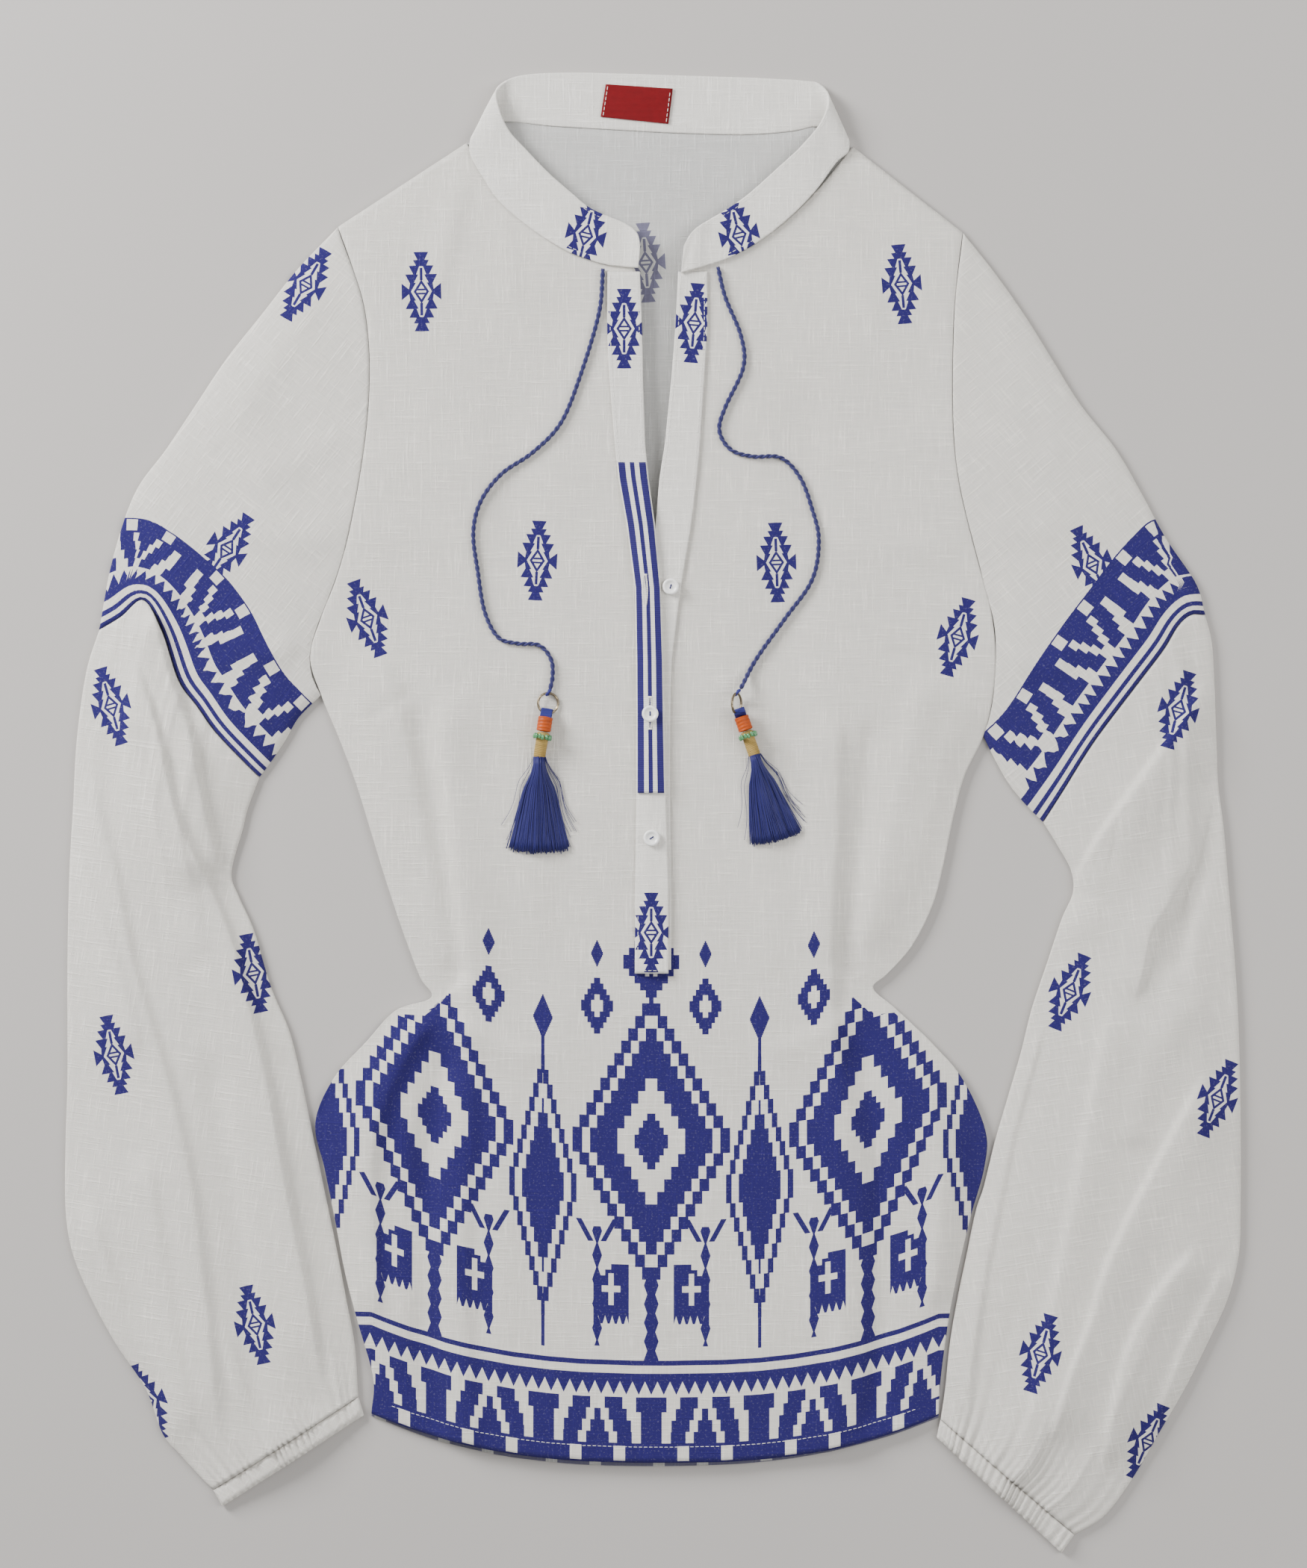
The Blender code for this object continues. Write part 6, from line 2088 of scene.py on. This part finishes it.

# %% [markdown]
# Each neck cord is two strands of navy thread twisted together. Its route is drawn on the chest and
# its height is the cloth under it, so it lies where it is laid. The strands wind round that route as
# helices, and each carries a map along and around itself for the twist of its own fibres.

# %% Neck cords
CORD_ROUTE = {
    "left": [
        (-26.8, 291.2), (-29, 267.4), (-39, 233.8), (-49.4, 208.6), (-64.2, 193), (-81, 181.4),
        (-92.2, 166.6), (
            -96.2, 149.8
        ),
        (-93.8, 129), (
            -90.2, 107.8
        ), (-83, 94), (-72.6, 90.6), (-61, 89.6), (-54.6, 82), (-53.8, 73), (-55.2, 65.6),
    ],
    "right": [
        (34.6, 292.2), (38.6, 275.8), (47, 255), (48.2, 238.2), (38.6, 217), (35.4, 204.6), (41.4, 194.4),
        (53.4, 190.6),
        (68.2, 190), (78.6, 179.4), (85, 162.6), (88.6, 145.8), (85, 124.6), (70.2, 103.4), (55.4, 82.6),
        (46.6, 66.2),
    ],
}
STRANDS, STRAND_RADIUS, STRAND_OFFSET, LAY_LENGTH = 2, 0.72, 0.56, 7.2
CORD_STEP = 0.5
RING_RISE = {"left": 0.3, "right": 3.6}
CORD_NAVY = (0.013, 0.013, 0.10)


def make_cord_finish():
    """Glossy navy yarn: fine stripes along the fibres, darker in the grooves, from the strand's own map."""
    w, shader, material = start_material("twisted_cord", 0.48, 0.25)
    axes = w.axes(w.uv("strand"))
    slant = w.plus(w.times(axes[0], math.tau / 0.0011), w.times(axes[1], 18000.0))
    fibre = w.sine(slant)
    noise = w.noise(w.place(), 1800.0, 2.0)
    shade = w.scaled(fibre, 0.16, w.scaled(noise, 0.5, 0.72))
    paint(w, shader, CORD_NAVY, CORD_NAVY, 0.0, shade)
    w.bump(shader, 0.6, 0.0001, fibre)
    return material


def frames_along(path):
    """Side and upward unit vectors at each point of a path that lies nearly flat."""
    run = unit(np.gradient(path, axis=0))
    side = unit(np.cross(run, UP))
    return side, np.cross(side, run)


def tube_round(path, radius, sides=8):
    """Points of a round tube along a path: centre + radius (cos a side + sin a up), with radius a number or
    one a point.
    """
    side, up = frames_along(path)
    turn = np.arange(sides) * math.tau / sides
    girth = np.broadcast_to(np.asarray(radius, float), (len(path),))[:, None, None]
    cosine, sine = np.cos(turn)[None, :, None], np.sin(turn)[None, :, None]
    return path[:, None] + girth * (side[:, None] * cosine + up[:, None] * sine)


def cord_path(side):
    """The route at even steps. Its height is the highest of nine chest points round each step, averaged over
    nine steps, and rises to the ring at the end.
    """
    rough = refine(CORD_ROUTE[side], 14)
    count = int(length_of(rough) / CORD_STEP) + 1
    plan = along(CORD_ROUTE[side], np.linspace(0, 1, count))
    z = np.max(
        [chest_height(plan[:, 0] + dx, plan[:, 1] + dy) for dx in (-1, 0, 1) for dy in (-1, 0, 1)], axis=0
    )
    kernel = np.ones(9) / 9
    z = np.convolve(np.pad(z, 4, mode="edge"), kernel, mode="valid")
    left_to_go = length_of(plan) * (1 - np.linspace(0, 1, count))
    z += RING_RISE[side] * ease(1 - left_to_go / 11.0)
    return with_height(plan, z + SEAM + CORD_RADIUS)


def make_cord(side, finish):
    """Strands wound round the path: centre + offset (cos a across + sin a up), where a grows by one turn a
    lay.
    """
    path = cord_path(side)
    across, up = frames_along(path)
    reach = reach_along(path)
    taper = np.minimum(1.0, 0.35 + np.minimum(reach, reach[-1] - reach) / 1.2)
    points, faces, strand_map = [], [], []
    sides = 8
    for strand in range(STRANDS):
        turn = math.tau * (reach / LAY_LENGTH + strand / STRANDS)
        centre = path + STRAND_OFFSET * (np.cos(turn)[:, None] * across + np.sin(turn)[:, None] * up)
        ring = tube_round(centre, STRAND_RADIUS * taper, sides)
        first = len(points) * len(path) * sides
        skin = grid_faces(len(path), sides, wrap=True)[:, ::-1]
        caps = np.array([[0, 1, 2, 3], [0, 3, 4, 7], [4, 5, 6, 7]])
        far = caps[:, ::-1] + (len(path) - 1) * sides
        points.append(ring.reshape(-1, 3))
        faces.append(np.concatenate([skin, caps, far]) + first)
        around = np.arange(sides)[None] * 0.35
        strand_map.append(np.stack(np.broadcast_arrays(reach[:, None], around), axis=-1).reshape(-1, 2))
    points, faces, strand_map = np.concatenate(points), np.concatenate(faces), np.concatenate(strand_map)
    thing = add_mesh("neck_cord_" + side, points, faces, finish, {"strand": strand_map[faces]})
    dress(thing, "cord_" + side, "navy")
    return thing, path


CORD_FINISH = make_cord_finish()
CORDS = {side: make_cord(side, CORD_FINISH) for side in CORD_ROUTE}
print("cord lengths", {side: round(length_of(path), 1) for side, (_, path) in CORDS.items()}, "mm")

# %% [markdown]
# Below each cord hangs a small set of fittings: an aged brass ring, a flat loop of navy ribbon, a wrap of
# orange strip, a ring of green glass beads, a binding of straw-coloured thread, and the skirt. They lie in
# a line on the chest. The wraps are coils, made by waving the radius along a short barrel.

# %% Fittings of the tassels
TASSELS = {
    "left": {
        "ring": (-56.2, 58.6), "tilt": 8.0, "axis": (-0.16, -0.987), "skirt": (-0.01, -1.0), "fan": 16.5,
        "length": 48.5
    },
    "right": {
        "ring": (44.6, 58.4), "tilt": 62.0, "axis": (0.33, -0.944), "skirt": (0.25, -0.968), "fan": 15.5,
        "length": 45.0
    },
}
RING_RADIUS, RING_WIRE = 5.4, 0.65
HITCH_RADIUS, HITCH_WIRE = 1.45, 0.72
WRAP_SPAN, BEAD_SPAN, BINDING_SPAN = (7.2, 15.4, 3.9), (15.8, 20.6, 5.2), (21.0, 29.6, 3.3)
SKIRT_HEAD_DEPTH = 4.4
BEADS, BEAD_WIDE, BEAD_TALL = 15, 0.88, 1.55
BEAD_ROWS, BEAD_SIDES = 9, 12
SKIRT_SEED = {"left": 17, "right": 23}
THREAD_GIRTH, STRAY_GIRTH = 0.29, 0.13


def make_metal():
    """Aged brass: brown with brighter rubbed places, rougher where dark."""
    w, shader, material = start_material("aged_brass", 0.4)
    shader.inputs["Metallic"].default_value = 1.0
    shader.inputs["Specular IOR Level"].default_value = 0.5
    place = w.place()
    wear = w.noise(place, 700.0, 4.0)
    bright = w.window(wear, 0.42, 0.66)
    paint(w, shader, (0.13, 0.105, 0.075), (0.42, 0.34, 0.22), bright, 1.0)
    w.put(shader.inputs["Roughness"], w.scaled(bright, -0.25, 0.52))
    w.bump(shader, 0.4, 0.0001, wear)
    return material


def make_wound(name, colour, pitch, gloss):
    """A wound finish: ribs around the barrel at the given pitch, with slight changes of tone from turn to
    turn.
    """
    w, shader, material = start_material(name, gloss)
    axes = w.axes(w.uv("barrel"))
    turns = w.scaled(axes[1], 1.0 / pitch, w.times(axes[0], 20.0))
    rib = w.sine(w.times(turns, math.tau))
    tone = w.node("ShaderNodeTexWhiteNoise", {"W": w.floor(turns)}, noise_dimensions="1D").outputs[0]
    grain = w.noise(w.place(), 1500.0, 2.0)
    shade = w.scaled(tone, 0.22, w.scaled(rib, 0.10, w.scaled(grain, 0.3, 0.68)))
    paint(w, shader, colour, colour, 0.0, shade)
    w.bump(shader, 0.7, 0.00015, rib)
    return material


def make_glass_bead_finish():
    """Glass with a clear coat, cloudy between a dark and a light green."""
    w, shader, material = start_material("green_glass", 0.12)
    shader.inputs["Specular IOR Level"].default_value = 0.5
    shader.inputs["Coat Weight"].default_value = 0.5
    swirl = w.noise(w.place(), 650.0, 3.0)
    paint(w, shader, (0.02, 0.14, 0.045), (0.085, 0.30, 0.12), swirl, 1.0)
    return material


BRASS = make_metal()
ORANGE_WRAP = make_wound("orange_wrap", (0.38, 0.058, 0.003), 0.0019, 0.5)
STRAW_BINDING = make_wound("straw_binding", (0.40, 0.27, 0.08), 0.0006, 0.55)
GREEN_GLASS = make_glass_bead_finish()
LOOP_FINISH = make_wound("navy_loop", (0.02, 0.022, 0.15), 0.0008, 0.6)
NAVY_FLOSS = make_thread_finish("navy_floss", (0.014, 0.014, 0.11), 0.42)


def torus_faces(rows, columns):
    """A grid closed both ways: the last row's strip is the first one moved, with its far points back on row
    0.
    """
    last = grid_faces(2, columns, wrap=True)
    last = np.where(last < columns, last + (rows - 1) * columns, last - columns)
    return np.concatenate([grid_faces(rows, columns, wrap=True), last])


def make_ring(side):
    """A torus: a small circle carried round a large one, with a slightly uneven wire, tilted about Y."""
    spec = TASSELS[side]
    x, y = spec["ring"]
    tilt = math.radians(spec["tilt"])
    z = resting_height(x, y, RING_RADIUS) + SEAM + RING_RADIUS * math.sin(tilt) + RING_WIRE
    a, b = np.meshgrid(np.arange(72) * math.tau / 72, np.arange(12) * math.tau / 12, indexing="ij")
    wire = RING_WIRE * (1 + 0.05 * np.sin(5 * a) + 0.03 * np.sin(11 * a + 1))
    flat = RING_RADIUS + wire * np.cos(b)
    px, py, pz = flat * np.cos(a), flat * np.sin(a), wire * np.sin(b)
    points = np.stack(
        [
            px * math.cos(tilt) + pz * math.sin(tilt) + x, py + y,
            pz * math.cos(tilt) - px * math.sin(tilt) + z
        ],
        axis=-1
    )
    rows, columns = points.shape[:2]
    thing = add_mesh("brass_ring_" + side, points.reshape(-1, 3), torus_faces(rows, columns), BRASS)
    close_poles(thing)
    return dress(thing, "ring_" + side, "brass"), np.array([x, y, z])


def make_hitch(side, ring_centre):
    """The cord's last turn round the ring: a small torus whose hole holds the wire at the ring's top, pulled
    a little towards the cord.
    """
    a, b = np.meshgrid(np.arange(28) * math.tau / 28, np.arange(10) * math.tau / 10, indexing="ij")
    girth = HITCH_WIRE * (1 + 0.12 * np.sin(3 * a + b))
    reach = HITCH_RADIUS + girth * np.cos(b)
    top = ring_centre + np.array([0.0, RING_RADIUS, 0.0])
    way = unit((CORDS[side][1][-1] - top) * (1, 1, 0))
    across = np.array([way[1], -way[0], 0.0])
    wide = girth * np.sin(b) + 0.25 * np.sin(2 * a)
    long = 0.5 + 1.15 * reach * np.cos(a)
    tall = reach * np.sin(a)
    points = top + wide[..., None] * across + long[..., None] * way + tall[..., None] * UP
    rows, columns = points.shape[:2]
    thing = add_mesh("cord_hitch_" + side, points.reshape(-1, 3), torus_faces(rows, columns), LOOP_FINISH)
    return add_trim(thing, "navy")


def barrel(name, side, start, end, radius, finish, ribs, depth, steps=56):
    """A closed barrel along the tassel's axis: the radius waves with the turns of the wrap and rounds off at
    both ends.
    """
    spec = TASSELS[side]
    axis = unit(np.array(spec["axis"]))
    t = np.linspace(0, 1, 8 * ribs + 1)
    plan = np.array(spec["ring"]) + axis * (start + (end - start) * t)[:, None]
    middle = np.array(spec["ring"]) + axis * (start + end) / 2
    z = resting_height(*middle, radius) + SEAM + radius
    girth = radius - depth * (0.5 + 0.5 * np.cos(math.tau * ribs * t))
    girth = girth * np.minimum(1.0, 0.82 + 3.0 * np.minimum(t, 1 - t))
    girth[[0, -1]] = radius * 0.4
    rings = tube_round(with_height(plan, z), girth, steps)
    skin = grid_faces(len(t), steps, wrap=True)[:, ::-1]
    fold = np.arange(steps // 2 - 1)
    caps = np.stack([fold, fold + 1, steps - 2 - fold, steps - 1 - fold], axis=-1)
    far = caps[:, ::-1] + (len(t) - 1) * steps
    faces = np.concatenate([skin, caps, far])
    turn = np.arange(steps) / steps
    place = np.stack(
        np.broadcast_arrays(turn[None] * 50.0, (t * (end - start))[:, None]), axis=-1
    ).reshape(-1, 2)
    thing = add_mesh(f"{name}_{side}", rings.reshape(-1, 3), faces, finish, {"barrel": place[faces]})
    close_poles(thing)
    return thing


def make_beads(side):
    """Glass beads threaded in a ring round the barrel: each is a small squashed ball with a hole's dimple at
    its poles.
    """
    spec = TASSELS[side]
    start, end, radius = BEAD_SPAN
    axis = unit(np.array([*spec["axis"], 0.0]))
    across = np.array([axis[1], -axis[0], 0.0])
    middle = np.array(spec["ring"]) + axis[:2] * (start + end) / 2
    centre = np.array([*middle, resting_height(*middle, radius) + SEAM + radius])
    latitude = np.linspace(0.02, math.pi - 0.02, BEAD_ROWS)
    longitude = np.arange(BEAD_SIDES) * math.tau / BEAD_SIDES
    r = BEAD_WIDE * np.sin(latitude) ** 0.8
    h = BEAD_TALL * np.cos(latitude) * (1 - 0.25 * np.exp(-((np.sin(latitude) / 0.3) ** 2)))
    local = np.stack(
        [r[:, None] * np.cos(longitude), r[:, None] * np.sin(longitude), h[:, None] + 0 * longitude], axis=-1
    )
    points, faces = [], []
    skin = grid_faces(BEAD_ROWS, BEAD_SIDES, wrap=True)
    core = radius - BEAD_WIDE
    rng = np.random.default_rng(5)
    for k in range(BEADS):
        angle = math.tau * (k + 0.15 * rng.uniform(-1, 1)) / BEADS
        out = math.cos(angle) * across + math.sin(angle) * UP
        around = np.cross(axis, out)
        place = centre + out * core + axis * rng.uniform(-0.25, 0.25)
        ball = place + local[..., :1] * out + local[..., 1:2] * around + local[..., 2:] * axis
        faces.append(skin + len(points) * BEAD_ROWS * BEAD_SIDES)
        points.append(ball.reshape(-1, 3))
    thing = add_mesh("glass_beads_" + side, np.concatenate(points), np.concatenate(faces), GREEN_GLASS)
    close_poles(thing)
    return dress(thing, "tassel_beads_" + side, "green")


def make_loop(side, ring_centre):
    """A flat ribbon loop: up from the wrap, over the ring's wire and down again."""
    spec = TASSELS[side]
    axis = unit(np.array(spec["axis"]))
    floor = resting_height(*(np.array(spec["ring"]) + axis * 8), 3.9) + SEAM
    low, high = floor + 1.2, floor + 5.4
    tall = ring_centre[2] + 1.6
    shape = np.array([
        (9.2, low + 0.6), (7.2, low + 0.4), (4.6, ring_centre[2] - 1.3), (3.2, ring_centre[2] - 0.6),
        (3.4, tall - 0.6), (5.2, tall + 0.5), (7.2, high - 0.6), (9.2, high - 1.0)
    ])
    line = refine(shape, 8)
    plan = np.array(spec["ring"]) + axis * line[:, :1]
    path = with_height(plan, line[:, 1])
    across = np.array([axis[1], -axis[0], 0.0])
    over = np.cross(unit(np.gradient(path, axis=0)), across)
    width = np.linspace(-3.1, 3.1, 9)
    middle = path[:, None] + width[None, :, None] * across
    rings = band_ring(middle, np.broadcast_to(over[:, None], middle.shape), 0.7, 3)
    def place(points, faces):
        return (points[:, :2] * 0.5)[faces]

    thing = banded("ribbon_loop_" + side, rings, LOOP_FINISH, {"barrel": place})
    return add_trim(thing, "navy")


FITTINGS = {}
for side in TASSELS:
    ring, ring_centre = make_ring(side)
    wrap = barrel("orange_wrap", side, *WRAP_SPAN, ORANGE_WRAP, 4, 0.12)
    binding = barrel("straw_binding", side, WRAP_SPAN[1] + 0.2, *BINDING_SPAN[1:], STRAW_BINDING, 24, 0.14)
    dress(wrap, "tassel_wrap_" + side, "orange")
    dress(binding, "tassel_binding_" + side, "beige")
    FITTINGS[side] = [
        ring, make_hitch(side, ring_centre), make_loop(side, ring_centre), wrap, make_beads(side), binding
    ]
print("fittings on", ", ".join(FITTINGS))

# %% [markdown]
# A skirt is a bundle of cut threads. Each thread is a four-sided tube on its own gently bent path: packed
# side by side in layers at the binding, fanning out and settling on the cloth, with the ends cut nearly
# level. A few fly loose at the sides.

# %% Tassel skirts
THREADS, STRAYS, THREAD_STEPS = 330, 9, 13


def make_skirt(side):
    """Each thread starts inside the binding and runs forwards by its length times t. Sideways it goes by its
    share of a width that opens from the binding's to the fan's, and its height eases from the binding down
    to the cloth.
    """
    spec = TASSELS[side]
    rng = np.random.default_rng(SKIRT_SEED[side])
    axis = unit(np.array(spec["axis"]))
    run = unit(np.array(spec["skirt"]))
    way = np.array([-run[1], run[0]])
    root = np.array(spec["ring"]) + axis * (BINDING_SPAN[1] - 0.6)
    count = THREADS + STRAYS
    angle = rng.uniform(0, math.tau, count)
    spread = np.sqrt(rng.uniform(0, 1, count))
    u, v = spread * np.cos(angle), spread * np.sin(angle)
    stray = np.arange(count) >= THREADS
    length = spec["length"] + 2.0 - 1.6 * u**2 + rng.normal(0, 0.7, count)
    length = np.where(stray, spec["length"] * rng.uniform(0.7, 1.0, count), length)
    loose = np.sign(rng.uniform(-0.4, 1, count)) * rng.uniform(1.02, 1.22, count)
    side_reach = np.where(stray, loose, u * rng.uniform(0.9, 1.04, count))
    t = np.linspace(0, 1, THREAD_STEPS)[None]
    bulge = ease(t * 2.6)
    widths = BINDING_SPAN[2] * 0.86 * (1 - bulge) + (
        BINDING_SPAN[2] + (spec["fan"] - BINDING_SPAN[2]) * t**0.92
    ) * bulge
    wander = 0.5 * np.sin(
        math.pi * t * rng.uniform(0.6, 1.6, count)[:, None] + rng.uniform(0, 6, count)[:, None]
    ) * t
    curl = np.where(stray, 1.4, 0.0)[:, None] * np.sin(math.pi * 2 * t) * np.sign(side_reach)[:, None]
    lateral = side_reach[:, None] * widths + wander + curl
    forward = length[:, None] * t
    x = root[0] + run[0] * forward + way[0] * lateral
    y = root[1] + run[1] * forward + way[1] * lateral
    ground = chest_height(x, y) + SEAM
    middle = resting_height(*(root + run * 2), 3.4) + SEAM + BINDING_SPAN[2]
    stack = SKIRT_HEAD_DEPTH * (1 - 0.52 * ease(t)) * np.sqrt(np.clip(
        1 - (0.9 * side_reach[:, None]) ** 2, 0.12, 1
    ))
    high = middle + v[:, None] * BINDING_SPAN[2] * 0.86
    low = ground + 0.25 + (0.5 + 0.5 * v[:, None]) * stack
    z = high * (1 - ease(t * 2.4)) + low * ease(t * 2.4)
    path = np.stack([x, y, np.maximum(z, ground + 0.15)], axis=-1)
    step = unit(np.gradient(path, axis=1))
    lateral_way = unit(np.cross(step, UP))
    upward = np.cross(lateral_way, step)
    turn = np.arange(4) * math.tau / 4 + 0.4
    girth = np.where(stray, STRAY_GIRTH, THREAD_GIRTH)[:, None, None, None]
    cosine, sine = np.cos(turn)[:, None], np.sin(turn)[:, None]
    points = path[:, :, None] + girth * (lateral_way[:, :, None] * cosine + upward[:, :, None] * sine)
    caps = np.array([[0, 1, 2, 3], [3, 2, 1, 0]]) + np.array([[0], [(THREAD_STEPS - 1) * 4]])
    one = np.concatenate([grid_faces(THREAD_STEPS, 4, wrap=True)[:, ::-1], caps])
    faces = (one[None] + np.arange(count)[:, None, None] * THREAD_STEPS * 4).reshape(-1, 4)
    thing = add_mesh("tassel_threads_" + side, points.reshape(-1, 3), faces, NAVY_FLOSS)
    return dress(thing, "tassel_skirt_" + side, "navy")


for side in TASSELS:
    print(make_skirt(side).name, THREADS + STRAYS, "threads")

# %% [markdown]
# A cord is declared with its real length and thickness, so that whoever uses the part can make it swing.
# The pieces that hang on its end are named with it.

# %% The cords' real sizes
for side, (cord, path) in CORDS.items():
    length = length_of(path) * MM
    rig.cord(cord, exit=path[0] * MM, length=length, diameter=2 * CORD_RADIUS * MM, far_end="fitting",
    stiffness="limp",
            lay="loose", path=path * MM, with_pieces=FITTINGS[side])
    print(cord.name, "is", round(length, 4), "m long")

# %% [markdown]
# Last, the box of the finished model is set beside the box of the solid frame. Cloth may stand a little
# proud of its solid but must not change the garment's size, so both boxes are kept and can be compared.

# %% Write the two boxes and finish
size_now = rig.bounds()
boxes = {"cad": CAD_BOX, "visual": size_now}
with open("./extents.json", "w") as report:
    json.dump(
        {key: [[float(value) for value in corner] for corner in box] for key, box in boxes.items()}, report
    )
print("box", size_now)
